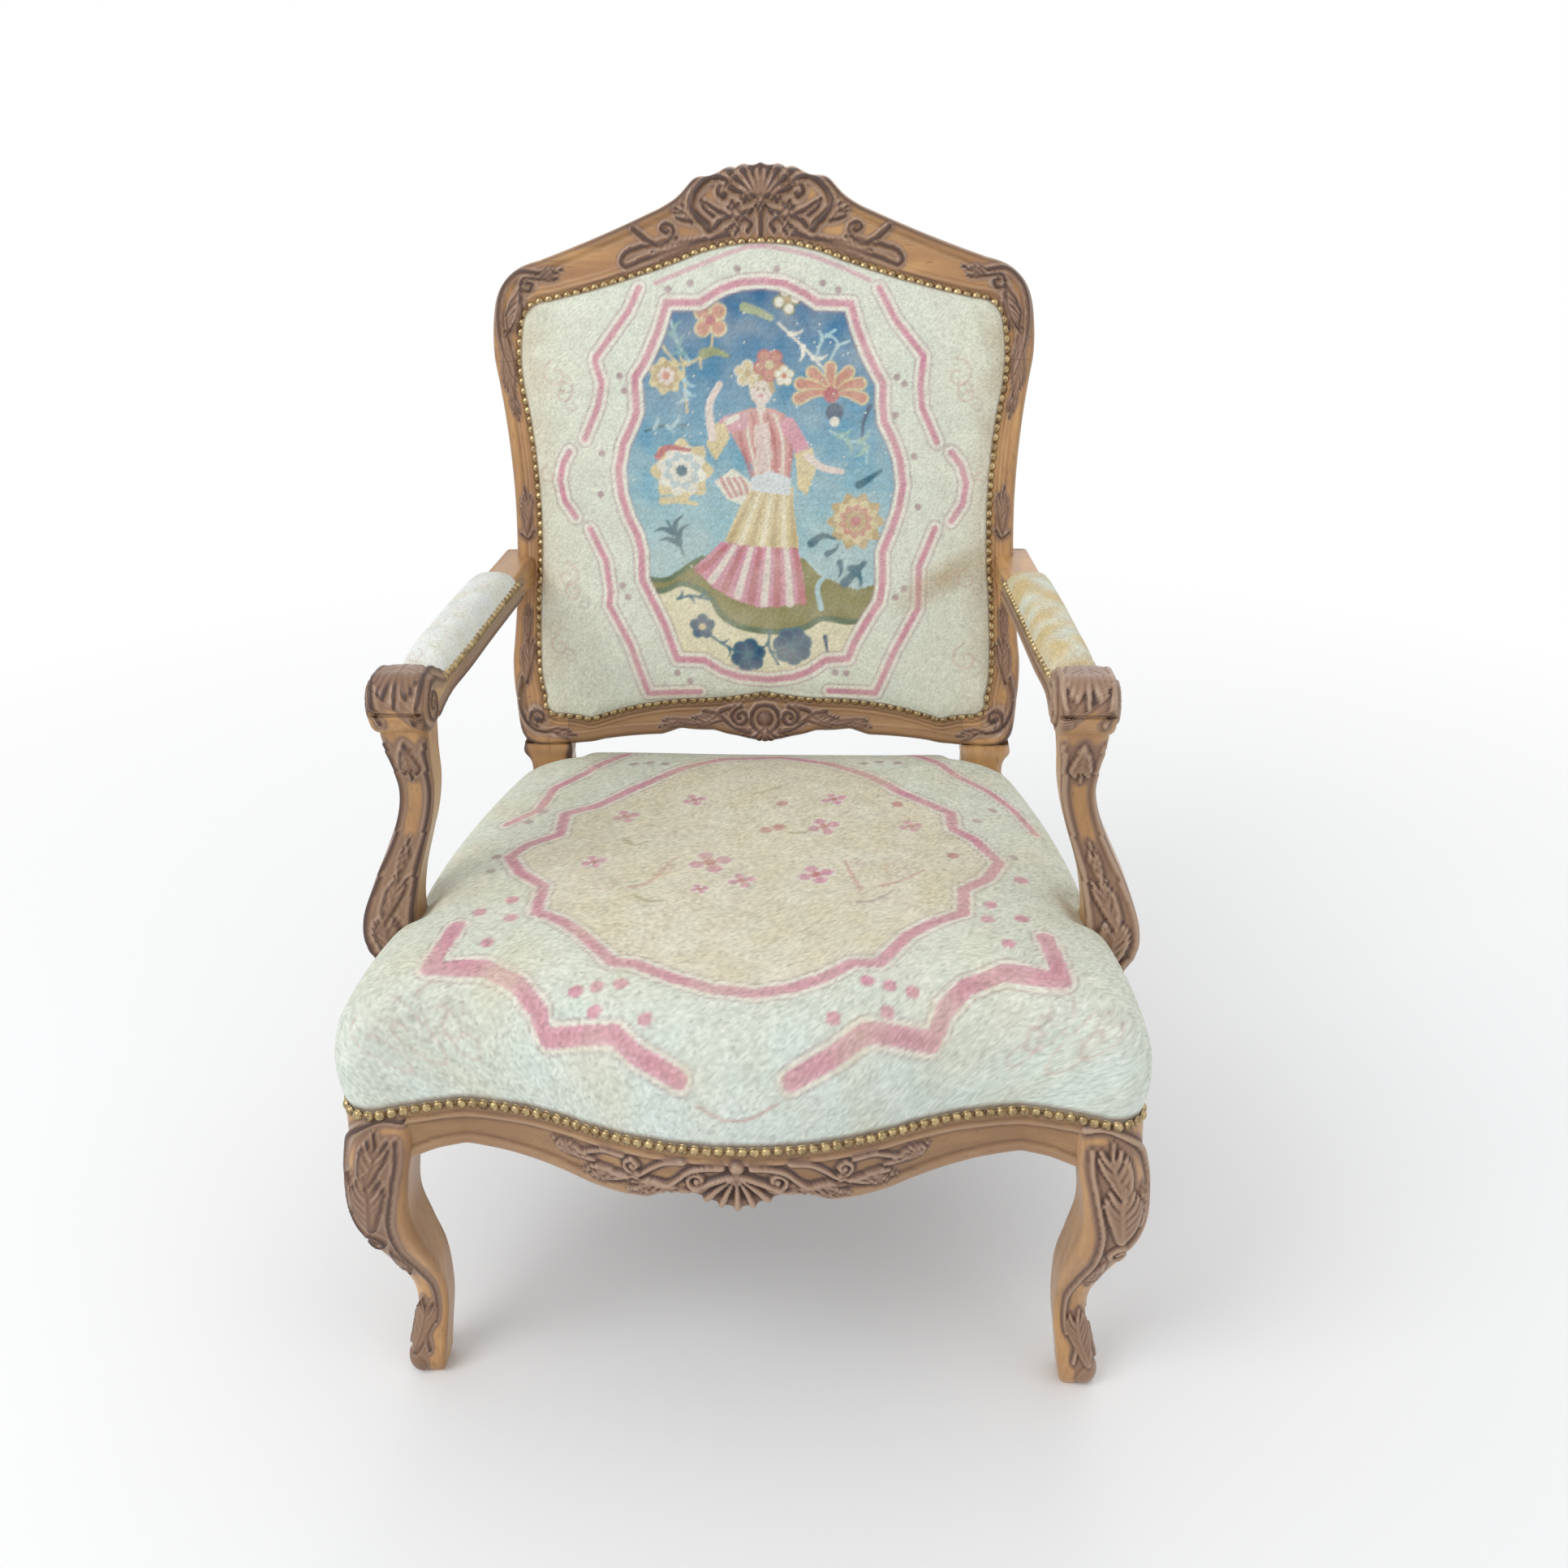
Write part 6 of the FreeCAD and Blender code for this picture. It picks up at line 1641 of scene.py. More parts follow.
    sky.flower((-64.4, 127.4), 13, NAVY, STRAW, TEAL, 5)
    sky.sprig([(7.6, 123.4), (5.8, 106.5), (15.7, 86.2)], ((0.4, -1), (0.7, 1)), TEAL, TEAL, 8)
    sky.flower((-16.2, 96.4), 18, NAVY, TEAL, TEAL, 6)
    sky.flower((30.9, 106.6), 20, NAVY, TEAL, TEAL, 7)
    sky.line([(65.3, 116.7), (67.7, 100.5)], 2.4, NAVY, 1.2)

    hem = [
        (-43, 216.9), (-3.4, 211.3), (36.9, 211.2), (42.8, 180), (45.4, 153.5), (26.1, 149.5),
        (-3.9, 147.5), (-30.5, 156.1), (-53.6, 170.1), (-72.6, 190), (-56.4, 203.1),
    ]
    sky.area(hem, PINK)
    sky.folds(
        [(-38.1, 211.3), (-53.2, 196.5), (-67.4, 186)], [(33.6, 210.2), (38.1, 183.3), (42, 153.5)], 9,
        2.6, 4.2, (ROSE, CREAM), 15.0,
    )
    skirt = [
        (-11, 272.9), (32.5, 272.8), (33.7, 245.4), (38.2, 210.2), (-3.4, 211.3), (-39.7, 216.9),
        (-26.1, 245.5),
    ]
    sky.area(skirt, STRAW)
    sky.folds(
        [(-7.8, 267.4), (-21.2, 242.3), (-33.7, 216.9)], [(29.2, 267.3), (31.1, 242.1), (33.6, 213.5)],
        7, 1.2, 3.2, (OCHRE, srgb(232, 222, 184)), 2.0,
    )
    bodice = [
        (-24.8, 347.1), (-10.2, 352.3), (9.2, 352.2), (23.1, 345.9), (34, 322.2), (30.6, 293.6),
        (27.3, 271.2), (-8.7, 272.9), (-9.8, 293.7), (-20.1, 306.5), (-32.2, 327.2),
    ]
    sky.area(bodice, srgb(206, 150, 140))
    sky.folds(
        [(-24.8, 346.1), (-20.3, 314.5), (-7.7, 276.1)], [(21.8, 344.3), (30.7, 315.9), (26, 274.4)], 7,
        1.7, 1.7, (ROSE, CREAM), 0.0,
    )
    sky.area([(-8.1, 335), (7.5, 338.1), (10.5, 303.2), (7.1, 284.1), (-5.3, 288.9)], SKIN, 0.8)
    sky.area(
        [(-10.6, 282.5), (10.4, 288.9), (30.6, 280.8), (29.2, 264.1), (3.7, 266.4), (-11.4, 269.7)],
        srgb(206, 214, 206),
    )
    sky.area([(-49.3, 277.8), (-30.1, 291.3), (-8.7, 274.5), (-20.7, 254.6), (-35.8, 259.8)], CREAM)
    sky.folds(
        [(-42, 281), (-38.2, 273), (-31.8, 262.3)], [(-22.4, 281.6), (-17.2, 274.5), (-15.3, 266.5)], 4,
        1.8, 1.8, (ROSE, ROSE), 0.0,
    )
    sky.line([(-21.7, 338.2), (-36.3, 335.1), (-44.6, 322.5)], 9.0, PINK, 7.0)
    sky.line([(-24.9, 343), (-34.7, 338.3)], 3.0, CREAM, curved=False)
    sky.area([(-54.9, 335.2), (-37.9, 337.7), (-32.3, 322.5), (-47.6, 298.3), (-55.9, 313.7)], STRAW)
    sky.line([(-50.5, 322.5), (-53.2, 354.1), (-42.5, 375.3)], 4.4, SKIN, 3.4)
    sky.line([(27.6, 334.8), (38.5, 315.8), (44.7, 303.1)], 8.0, PINK, 8.0)
    sky.area([(33.9, 306.3), (52.8, 312), (56, 290.3), (46.2, 264.1), (37.1, 271.2)], STRAW)
    sky.line([(47.9, 303.1), (62.5, 291.9), (82.1, 287.7)], 4.0, SKIN, 3.0)
    sky.line([(-0.4, 360.1), (-0.5, 350.1)], 4.5, SKIN, curved=False)
    sky.spot((-0.3, 368.9), 11.5, SKIN, 1.25)
    sky.line([(-9, 375.8), (-4.4, 381.4), (7.8, 380.4), (11, 369.4)], 4.0, OCHRE, 3.0)
    sky.flower((-14, 385.8), 13, STRAW, OCHRE, CREAM, 5)
    sky.flower((8.6, 394.3), 16, CORAL, STRAW, ROSE, 5, 0.9)
    sky.flower((23.3, 383.4), 10, CREAM, CORAL, STRAW, 5)
    for mark in [(-3.2, 370.1), (3.2, 370.1)]:
        sky.spot(mark, 1.4, OLIVE)
    sky.line([(-2, 363.9), (1.2, 363.9)], 1.1, ROSE, curved=False)

    stars = sky.dice.random(x.shape) < 0.006 * high
    sky.colour[stars] = CREAM
    work.colour = np.where(inside[..., None], sky.colour, work.colour)
    work.band(MEDALLION, 3.6, closed=True)

    stain = np.hypot((x - 190.0) / 62.0, (s - 178.0 - (x - 190.0) * 0.55) / 24.0)
    work.lay(np.clip(1 - stain, 0, 1) ** 0.8 * 0.62, srgb(158, 116, 62))
    work.lay(np.clip((np.abs(x) - 208.0) / 30.0, 0, 1) * work.clouds(60.0) * 0.5, srgb(178, 150, 104))
    work.aged(0.09)
    return work.colour


def paint_seat(u, v):
    """The seat: a shaped field of small flowers inside a broken outer border."""
    work = Needlework(u, v, SAGE, 9)
    work.lay(np.clip((-v - 230.0) / 110.0, 0, 1) * 0.6, srgb(204, 219, 206))
    field = [
        (18.7, 182.4), (70.1, 157.2), (109, 120.3), (140.6, 81.1), (191.8, 40.7), (192.4, 5.9),
        (211.7, -12.7), (231.9, -55.9), (218.2, -88.8), (194.6, -113), (192, -154.9), (160.7, -173.9),
        (142.2, -188), (117.3, -227.8), (94.9, -230.2), (70.9, -251.8), (45.3, -265.6), (15.1, -273),
        (-19.7, -267.3), (-51.9, -254.3), (-89, -233), (-107.4, -230.3), (-140.3, -191.9),
        (-156.2, -177.8), (-184.6, -161.4), (-186.2, -114.9), (-213.6, -86.2), (-230.7, -52),
        (-217.2, -28.4), (-189, -10.7), (-191.8, 35.3), (-161.8, 49.2), (-114.8, 103.3), (-85.5, 138),
        (-43.4, 169.8),
    ]
    work.area(field, srgb(222, 214, 180), 0.75)
    work.lay(work.inside(field) * work.clouds(70.0) * 0.35, srgb(206, 186, 140))
    for points in (
        [
            (-253, -175.7), (-263.1, -238.4), (-215.8, -233.5), (-186.9, -248.3), (-167.5, -273.4),
            (-165.7, -293.1), (-100.2, -303.4), (-83.4, -320.6), (-48, -342.1),
        ],
        [
            (260.6, -187.3), (269.2, -245.7), (220.8, -234), (190, -247.2), (172.6, -268.9),
            (167.9, -292.9), (108.1, -299.6), (82.7, -320.9), (48.9, -342.3),
        ],
    ):
        work.band(points, 8.0)
    for points in (
        [(-149.5, 191.7), (-185.6, 131.4), (-214, 99.4), (-221.5, 49.6), (-249.6, 26.6)],
        [(156.5, 204), (202.9, 131.3), (234.1, 106.1), (258.7, 69.6), (275.3, 24.3)],
    ):
        work.band(points, 5.0)
    work.band(field, 5.6, closed=True)
    work.line([(-34, -362.7), (-10.8, -374.4), (14.3, -372.9), (37.7, -360)], 1.4, ROSE, amount=0.6)
    for centre in [
        (-236.8, -155.6), (-210.6, -138.1), (-205.6, -169), (-219.3, -205.7), (-135.6, -260.6),
        (-117.6, -257.8), (-97.7, -256.7), (-117.6, -282.2), (-73.6, -295.4), (217.1, -137.7),
        (212.3, -163.3), (242.9, -158.6), (227.3, -201.3), (249.5, -84.2), (107.1, -251),
        (125.6, -253.8), (144.6, -257.6), (123.8, -280.5), (79.6, -293.2),
    ]:
        work.spot(centre, 6.4, PINK)
    for centre in [
        (-138.2, 154.1), (-121.9, 158.4), (-104.2, 154.3), (106.7, 157.4), (123.4, 161.7),
        (142.9, 158.5), (-243.2, -78.1), (-244.5, -48.5), (247.1, -41.2), (217.3, 27.8), (-215.1, 45.7),
        (-227.4, 24.9), (235.5, 57.5),
    ]:
        work.spot(centre, 5.0, MAUVE, amount=0.7)
    for centre, radius in (
        ((-129.2, 23.9), 15),
        ((-64.3, 60.5), 13),
        ((-38, -68.2), 22),
        ((-6.3, -100.6), 14),
        ((-43.6, -118.6), 9),
        ((-146.8, -69.1), 13),
        ((76.5, 59.9), 14),
        ((66.9, 2.3), 17),
        ((151.4, 7.9), 13),
        ((61, -86.5), 18),
    ):
        work.flower(centre, radius, PINK, ROSE, CREAM, 4, 0.4)
    for centre in [(24, 50.6), (139.8, 52.7), (189.2, -48.7), (10.7, -4.3), (23.3, 1.1)]:
        work.spot(centre, 6.0, ROSE, amount=0.8)
    for points, tone in (
        ([(-124, -25.9), (-112.6, -36.2), (-101.7, -27.7)], OLIVE),
        ([(-3.8, 73.5), (11.6, 81.7), (28.5, 97.9)], OLIVE),
        ([(35.3, -9.8), (46.6, -9.2), (57.9, -3.1)], OLIVE),
        ([(-102, -130.8), (-88.2, -141.3), (-74.9, -139.8)], OLIVE),
        ([(99.7, -136.7), (116, -133.8), (130.5, -118.3)], MAUVE),
        ([(-108.1, -117.8), (-90.1, -107.4), (-74.8, -68.3), (-68.1, -58.7)], ROSE),
        ([(102.2, -114.2), (92.5, -82.5), (87.6, -61)], ROSE),
        ([(121.2, -108.7), (140.4, -98.8), (160.5, -79.2)], ROSE),
    ):
        work.line(points, 2.6, tone, 1.2, amount=0.55)
    for centre, radius, hand in (
        ((-128.2, -112.5), 14, 1),
        ((-85.3, -85.1), 16, -1),
        ((138.6, -80.7), 16, 1),
        ((95, -75.6), 12, -1),
        ((-254.2, -270.6), 20, 1),
        ((-289.9, -287.3), 22, -1),
        ((-246.4, -286), 18, 1),
        ((262.2, -274), 22, -1),
        ((300.8, -290.6), 20, 1),
        ((253.2, -288.3), 16, -1),
        ((-319.2, -298.5), 18, 1),
        ((314.6, -286.3), 18, 1),
    ):
        work.curl(centre, radius, ROSE, hand, 0.32)
        work.curl((centre[0] + 10, centre[1] + 8), radius * 0.6, MAUVE, -hand, 0.3)
    work.lay(work.clouds(120.0) ** 2 * 0.35, srgb(208, 198, 152))
    work.aged(0.10)
    return work.colour


def paint_pad(u, v, stain):
    """An arm pad: the plain ground of the needlework with small faded leaves."""
    work = Needlework(u, v, SAGE, 11)
    for k, along in enumerate(range(-70, 170, 34)):
        work.curl((8.0 * (-1) ** k, along), 9.0, ROSE, (-1) ** k, 0.3)
        work.curl((-9.0 * (-1) ** k, along + 16.0), 7.0, OLIVE, -((-1) ** k), 0.3)
    work.lay(np.clip(work.clouds(50.0) * stain, 0, 1) * 0.75, srgb(206, 172, 96))
    work.aged(0.10)
    return work.colour


NAIL_RINGS = 5
NAIL_SIDES = 12
NAIL_SUNK = 1.2
NAIL_RADIUS = 4.7
NAIL_HEIGHT = 3.1
PAD_NAIL_RADIUS = 4.3


def nails(name, places, directions, material, radius=NAIL_RADIUS, height=NAIL_HEIGHT):
    """Domed nail heads, each at a place and facing a direction."""
    turn = np.linspace(0, 2 * math.pi, NAIL_SIDES, endpoint=False)
    tilt = np.linspace(0, math.pi / 2, NAIL_RINGS)
    out = np.concatenate([[1.06], np.cos(tilt)[:-1], [0.08]]) * radius
    up = np.concatenate([[-NAIL_SUNK], np.sin(tilt)[:-1] * height, [height]])
    grids = []
    for place, facing in zip(places, directions):
        facing = np.array(facing) / np.linalg.norm(facing)
        side = np.cross(facing, (0.0, 0.0, 1.0))
        if np.linalg.norm(side) < 0.2:
            side = np.cross(facing, (0.0, 1.0, 0.0))
        side /= np.linalg.norm(side)
        rise = np.cross(side, facing)
        ring = np.cos(turn)[:, None] * side + np.sin(turn)[:, None] * rise
        points = place + out[:, None, None] * ring[None] + up[:, None, None] * facing
        grids.append(Grid(points[:, ::-1], wrap_cols=True, caps=True))
    return piece(name, grids, material)


# The studio: turns in radians, places and sizes in metres, powers in watts

CAMERA_YAW = 0.045447
CAMERA_PITCH = 0.459376
CAMERA_ROLL = -0.0154
CAMERA_PLACE = (0.08935, -1.33969, 1.15457)
LENS_MM = 35.563
SENSOR_MM = 36.0
LAMPS = (
    ("key", (-1.9, -1.7, 2.7), 1.8, 36.0),
    ("fill", (2.3, -1.3, 1.9), 2.2, 4.5),
    ("rear", (0.3, 2.3, 2.4), 2.0, 9.0),
)
LIT_PLACE = (0.0, 0.0, 0.5)
WHITE = (1.0, 1.0, 1.0, 1.0)
ROOM_TINT = (0.97, 0.985, 1.0, 1.0)
ROOM_LIGHT = 0.80
FLOOR_TINT = (0.93, 0.93, 0.93, 1.0)
FLOOR_HALF = 6
FLOOR_FADE = (0.75, 2.2)


def linked(name, data, place, turn):
    """New object of the scene, at a place and turned."""
    obj = bpy.data.objects.new(name, data)
    bpy.context.scene.collection.objects.link(obj)
    obj.matrix_world = Matrix.Translation(place) @ turn
    return obj


def matched_camera():
    """Camera that stands and looks as the one of the photo."""
    ahead = Vector((-math.sin(CAMERA_YAW), math.cos(CAMERA_YAW), 0.0)) * math.cos(CAMERA_PITCH)
    ahead.z = -math.sin(CAMERA_PITCH)
    right = Vector((math.cos(CAMERA_YAW), math.sin(CAMERA_YAW), 0.0))
    up = right.cross(ahead)
    turned_right = right * math.cos(CAMERA_ROLL) + up * math.sin(CAMERA_ROLL)
    turned_up = up * math.cos(CAMERA_ROLL) - right * math.sin(CAMERA_ROLL)
    data = bpy.data.cameras.new("camera")
    data.lens = LENS_MM
    data.sensor_width = SENSOR_MM
    turn = Matrix((turned_right, turned_up, -ahead)).transposed().to_4x4()
    bpy.context.scene.camera = linked("camera", data, CAMERA_PLACE, turn)


def lamps():
    """Soft lamps that look at the middle of the chair."""
    for name, place, size, power in LAMPS:
        lamp = bpy.data.lights.new(name, "AREA")
        lamp.size = size
        lamp.energy = power
        away = Vector(LIT_PLACE) - Vector(place)
        linked(name, lamp, place, away.to_track_quat("-Z", "Y").to_matrix().to_4x4())


def white_room():
    """Even light from a pale room, which is plain white where it's seen or mirrored."""
    world = bpy.data.worlds.new("world")
    bpy.context.scene.world = world
    world.use_nodes = True
    tree = world.node_tree
    tree.nodes.clear()
    soft = added(tree, "ShaderNodeBackground", Color=ROOM_TINT, Strength=ROOM_LIGHT)
    white = added(tree, "ShaderNodeBackground", Color=WHITE, Strength=1.0)
    rays = tree.nodes.new("ShaderNodeLightPath").outputs
    seen = maths(tree, "MAXIMUM", rays["Is Glossy Ray"], rays["Is Transmission Ray"])
    seen = maths(tree, "MAXIMUM", seen, rays["Is Camera Ray"])
    mix = added(tree, "ShaderNodeMixShader", Fac=seen)
    tree.links.new(soft.outputs["Background"], mix.inputs[1])
    tree.links.new(white.outputs["Background"], mix.inputs[2])
    added(tree, "ShaderNodeOutputWorld", Surface=mix.outputs["Shader"])


def pale_floor():
    """Floor that takes the chair's shadow and passes into the white room far from it."""
    material, tree, surface, place = shader("floor", 0.9, Base_Color=FLOOR_TINT)
    glow = tree.nodes.new("ShaderNodeEmission")
    reach = tree.nodes.new("ShaderNodeVectorMath")
    reach.operation = "LENGTH"
    tree.links.new(place, reach.inputs[0])
    rays = tree.nodes.new("ShaderNodeLightPath").outputs
    far = between(tree, reach.outputs["Value"], *FLOOR_FADE)
    far = maths(tree, "MULTIPLY", far, rays["Is Camera Ray"])
    mix = added(tree, "ShaderNodeMixShader", Fac=far)
    tree.links.new(surface.outputs["BSDF"], mix.inputs[1])
    tree.links.new(glow.outputs["Emission"], mix.inputs[2])
    ending = next(node for node in tree.nodes if node.bl_idname == "ShaderNodeOutputMaterial")
    tree.links.new(mix.outputs["Shader"], ending.inputs["Surface"])
    mesh = bpy.data.meshes.new("floor")
    corners = [(x * FLOOR_HALF, y * FLOOR_HALF, 0) for x, y in ((-1, -1), (1, -1), (1, 1), (-1, 1))]
    mesh.from_pydata(corners, [], [(0, 1, 2, 3)])
    mesh.materials.append(material)
    floor = linked("floor", mesh, (0.0, 0.0, 0.0), Matrix.Identity(4))


# The chair

wood = carved_wood("waxed_beech", GRAIN_UP)
wood_across = carved_wood("waxed_beech_rails", GRAIN_ACROSS)
wood_of_rails = carved_wood("waxed_beech_aprons", GRAIN_ACROSS, RAIL_HONEY, RAIL_UMBER)
wood_along = carved_wood("waxed_beech_arms", GRAIN_ALONG)

ring, ring_line, ring_carved = back_frame_points()
ring = leaning(ring)


def crossings(values):
    """Rows after which the values change sign."""
    return [int(k) for k in np.flatnonzero(np.diff(np.sign(values)))]


def cut_at(rows, x):
    """The row after the one, of those given, that lies nearest to x."""
    return min(rows, key=lambda k: abs(ring_line[k, 0] - x)) + 1


def frame_part(start, end):
    """The rows of the back frame between two cuts."""
    mask = rows_between(ring_carved, start, end + 1)
    return Grid(rows_between(ring, start, end + 1), wrap_cols=True, caps=True, carved=mask)


def both_sides(name, grid, material, node):
    """A wooden piece on the sitter's left, given at +x, and the same on the right."""
    for side, part in (("left", grid), ("right", grid.mirrored())):
        piece(name + "_" + side, [part], material, [node + "_" + side])


top_rows = crossings(ring_line[:, 1] - CREST_FOOT)
inner_rows = crossings(np.abs(ring_line[:, 0]) - POST_INNER_X)
foot_rows = [k for k in inner_rows if ring_line[k, 1] < LOWER_RAIL_TOP]
right_top, left_top = cut_at(top_rows, SHOULDER_X), cut_at(top_rows, -SHOULDER_X)
right_foot, left_foot = cut_at(foot_rows, POST_INNER_X), cut_at(foot_rows, -POST_INNER_X)
crest = frame_part(left_top, right_top)
piece("crest", [crest], wood_across, ["crest_rail"])
low_rail = frame_part(right_foot, left_foot)
piece("lower_rail_of_back", [low_rail], wood_of_rails, ["lower_back_rail"])
post = post_below()
left_post = [frame_part(right_top, right_foot), post]
piece("post_left", left_post, wood, ["back_post_left"])
right_post = [frame_part(left_foot, left_top), post.mirrored()]
piece("post_right", right_post, wood, ["back_post_right"])
both_sides("cabriole_leg", front_leg(), wood, "front_leg")
piece("carved_front_rail", [front_rail()], wood_of_rails, ["front_seat_rail"])
both_sides("moulded_side_rail", side_rail(), wood_along, "side_seat_rail")
both_sides("scrolled_arm", arm_wood(), wood_along, "arm")
both_sides("carved_console", console(), wood, "arm_support")


def needlework_cloth():
    """Petit point: the painted colours, broken up stitch by stitch, with painted shade between the
    stitches.
    """
    material, tree, surface, place = shader("needlework", 0.88)
    specks = noise(tree, place, 760.0, 2.0)
    stitch = added(tree, "ShaderNodeTexVoronoi", Scale=860.0, Vector=place).outputs["Distance"]
    wool = noise(tree, place, 1300.0, 2.0)
    faded = noise(tree, place, 45.0, 5.0)
    # Each stitch is lighter at its middle and darker at its edge, which is painted shade between
    # stitches; wool, specks and fading add tone.
    stitch_tone_and_shade = between(tree, stitch, 0.0, 0.9, 1.04, 0.93)
    for change in (
        between(tree, wool, 0.3, 0.7, -0.05, 0.05),
        between(tree, specks, 0.66, 0.72, 0.0, -0.2),
        between(tree, faded, 0.3, 0.7, -0.05, 0.05),
    ):
        stitch_tone_and_shade = maths(tree, "ADD", stitch_tone_and_shade, change)
    shade = tree.nodes.new("ShaderNodeCombineColor")
    for channel in shade.inputs:
        tree.links.new(stitch_tone_and_shade, channel)
    painted = attribute(tree, "needlework").outputs["Color"]
    colour = blend(tree, 1.0, painted, shade.outputs["Color"], "MULTIPLY")
    tree.links.new(colour, surface.inputs["Base Color"])
    bumped(tree, surface, stitch, -0.0005, 0.5)
    return material


def antique_brass():
    """Brass of the nails, dark in patches."""
    material, tree, surface, place = shader("antique_brass", 0.32, Metallic=0.9)
    tarnish = between(tree, noise(tree, place, 160.0, 3.0), 0.35, 0.7)
    colour = blend(tree, tarnish, (0.55, 0.42, 0.22), (0.20, 0.13, 0.07))
    tree.links.new(colour, surface.inputs["Base Color"])
    return material


cloth = needlework_cloth()
brass = antique_brass()
SEAT_POINTS = 307
BACK_POINTS = 311

seat_points, seat_cloth, seat_edge = seat_surface(SEAT_POINTS)
seat_colour = edge_lined(paint_seat(seat_cloth[..., 0], seat_cloth[..., 1]), seat_edge)
seat = Grid(seat_points, colour=seat_colour)
cover = piece("tapestry_seat", [seat], cloth, ["seat_cover", "seat_stuffing"])
back_points, back_edge = back_surface(BACK_POINTS)
back_colour = edge_lined(paint_back(back_points[..., 0], back_points[..., 2]), back_edge)
back_face = Grid(leaning(back_points), colour=back_colour)
cover = piece("tapestry_back", [back_face], cloth, ["back_cover", "back_stuffing"])
pad_points = pad_surface()
pad_over = pad_points[..., 0] - arm_x(pad_points[..., 1])
pad = Grid(pad_points, colour=paint_pad(pad_over, pad_points[..., 1], 1.25))
bleached = paint_pad(pad_over, pad_points[..., 1], 0.3) * (1.16, 1.18, 1.32)
other_pad = Grid(pad_points, colour=np.clip(bleached, 0, BRIGHTEST)).mirrored()
for side, grid in (("left", pad), ("right", other_pad)):
    nodes = ["arm_pad_cover_" + side, "arm_pad_stuffing_" + side]
    cover = piece("tapestry_arm_pad_" + side, [grid], cloth, nodes)


# Nails

SIDE_NAILS_TO_Y = 190.0
REAR_NAILS_FROM_Y = 225.0
REAR_NAILS_HALF = 206.0
CONSOLE_FOOT_SIDES_Y = (-142.0, -72.0)
CONSOLE_FOOT_TOP_Z = 392.0
PAD_NAIL_Z = 640.0
PAD_NAIL_X = 21.0


def on_back(line, depth):
    """Places on the back along a line of its plane, at a depth behind its face."""
    return leaning(np.column_stack([line[:, 0], np.full(len(line), depth), line[:, 1]]))


facing_front = np.array([0.0, -math.cos(RAKE), math.sin(RAKE)])
places = on_back(spaced(PANEL_LINE + outward(PANEL_LINE) * 1.5, step=NAIL_PITCH), -1.0)
nails("back_nails", places, [facing_front] * len(places), brass)
places = on_back(spaced(PANEL_LINE - outward(PANEL_LINE) * 7.0, step=NAIL_PITCH), 32.6)
nails("outside_back_nails", places, [-facing_front] * len(places), brass)

seat_run = spaced(np.column_stack([SEAT_LINE, outward(SEAT_LINE)]), step=NAIL_PITCH)
behind = (seat_run[:, 1] > REAR_NAILS_FROM_Y) & (np.abs(seat_run[:, 0]) < REAR_NAILS_HALF)
seat_run = seat_run[(seat_run[:, 1] < SIDE_NAILS_TO_Y) | behind]
seat_places = level(seat_run[:, :2] + seat_run[:, 2:] * 0.6, NAIL_Z + 1.5)
seat_facing = [np.array([out[0], out[1], 0.0]) for out in seat_run[:, 2:]]
nails("seat_nails", seat_places, seat_facing, brass)

places = []
facing = []
reached = seat.points.reshape(-1, 3)
reached_facing = seat.normals.reshape(-1, 3)
for y in CONSOLE_FOOT_SIDES_Y:
    for z in np.arange(NAIL_Z + 14.0, CONSOLE_FOOT_TOP_Z, NAIL_PITCH):
        gap = np.hypot(reached[:, 1] - y, reached[:, 2] - z) + FAR_OFF * (reached[:, 0] < 250.0)
        k = int(np.argmin(gap))
        for hand in (1.0, -1.0):
            places.append(reached[k] * (hand, 1, 1))
            facing.append(reached_facing[k] * (hand, 1, 1))
nails("console_foot_nails", np.array(places), facing, brass)

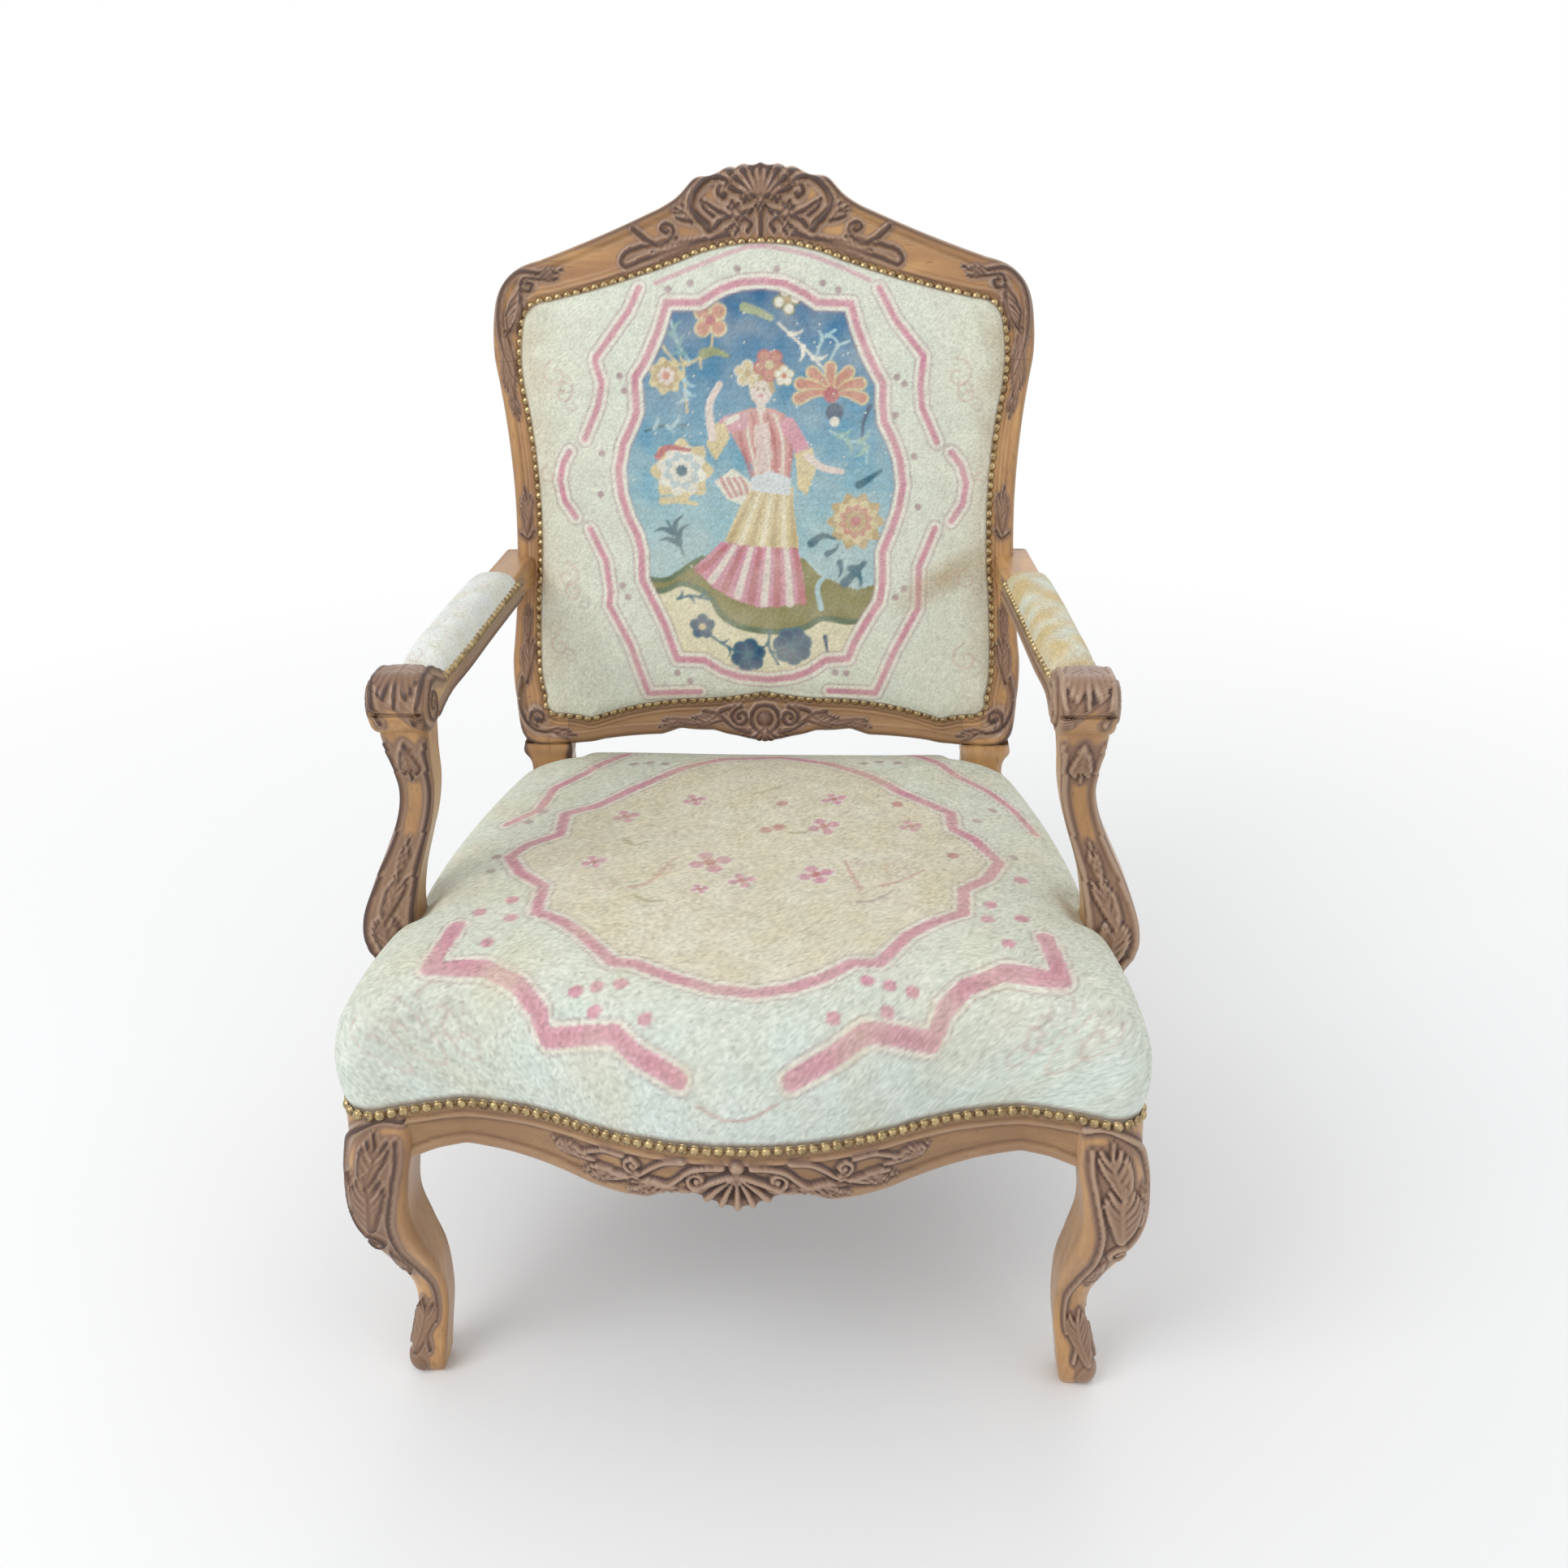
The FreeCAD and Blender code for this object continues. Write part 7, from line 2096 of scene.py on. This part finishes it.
for side, hand in (("left", 1.0), ("right", -1.0)):
    places = []
    facing = []
    for y in np.arange(PAD_FRONT_Y + 4.0, PAD_REAR_Y, NAIL_PITCH):
        for out in (1.0, -1.0):
            places.append((hand * (arm_x(y) + out * PAD_NAIL_X), y, PAD_NAIL_Z))
            facing.append((out * hand, 0.0, 0.1))
    for across in np.arange(-14.7, 15.0, NAIL_PITCH):
        x = hand * (arm_x(PAD_FRONT_Y) + across)
        places.append((x, PAD_FRONT_Y - 0.5, PAD_NAIL_Z + 6.0))
        facing.append((0.0, -1.0, 0.3))
    nails("arm_pad_nails_" + side, np.array(places), facing, brass, PAD_NAIL_RADIUS)

# Pieces whose CAD form is right

plain = carved_wood("plain_beech", GRAIN_ACROSS, (0.42, 0.27, 0.14), (0.30, 0.17, 0.08))


def woven(name, colour, dark, scale, roughness=0.9):
    """Plain cloth: threads that vary in tone and stand up a little."""
    material, tree, surface, place = shader(name, roughness)
    threads = noise(tree, place, scale, 2.0)
    stains = noise(tree, place, 6.0, 4.0)
    base = blend(tree, between(tree, threads, 0.3, 0.7), dark, colour)
    base = blend(tree, between(tree, stains, 0.5, 0.75, 0.0, 0.5), base, dark)
    tree.links.new(base, surface.inputs["Base Color"])
    bumped(tree, surface, threads, 0.0006)
    return material


def dull_steel():
    """Steel of the screws."""
    material, tree, surface, place = shader("dull_steel", 0.4, Metallic=1.0)
    tone = noise(tree, place, 300.0)
    colour = blend(tree, tone, (0.25, 0.24, 0.22), (0.5, 0.48, 0.45))
    tree.links.new(colour, surface.inputs["Base Color"])
    return material


steel = dull_steel()
jute = woven("jute_web", (0.46, 0.34, 0.18), (0.28, 0.19, 0.10), 700.0)
finishes = {
    "rear_seat_rail": wood_across,
    "corner_blocks": plain,
    "seat_frame_pegs": plain,
    "back_frame_pegs": plain,
    "arm_screws": steel,
    "arm_support_screws": steel,
    "seat_webbing": jute,
    "back_webbing": jute,
    "seat_hessian": woven("hessian", (0.42, 0.30, 0.16), (0.24, 0.16, 0.08), 500.0),
    "seat_bottom_cloth": woven("dust_cloth", (0.020, 0.019, 0.018), (0.008, 0.008, 0.008), 900.0),
    "outside_back_cover": woven("outside_back", (0.46, 0.47, 0.33), (0.36, 0.37, 0.25), 900.0),
}
for name, finish in finishes.items():
    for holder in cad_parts[name].material_slots:
        holder.material = finish

matched_camera()
lamps()
white_room()
pale_floor()
bpy.context.scene.view_settings.view_transform = "Standard"
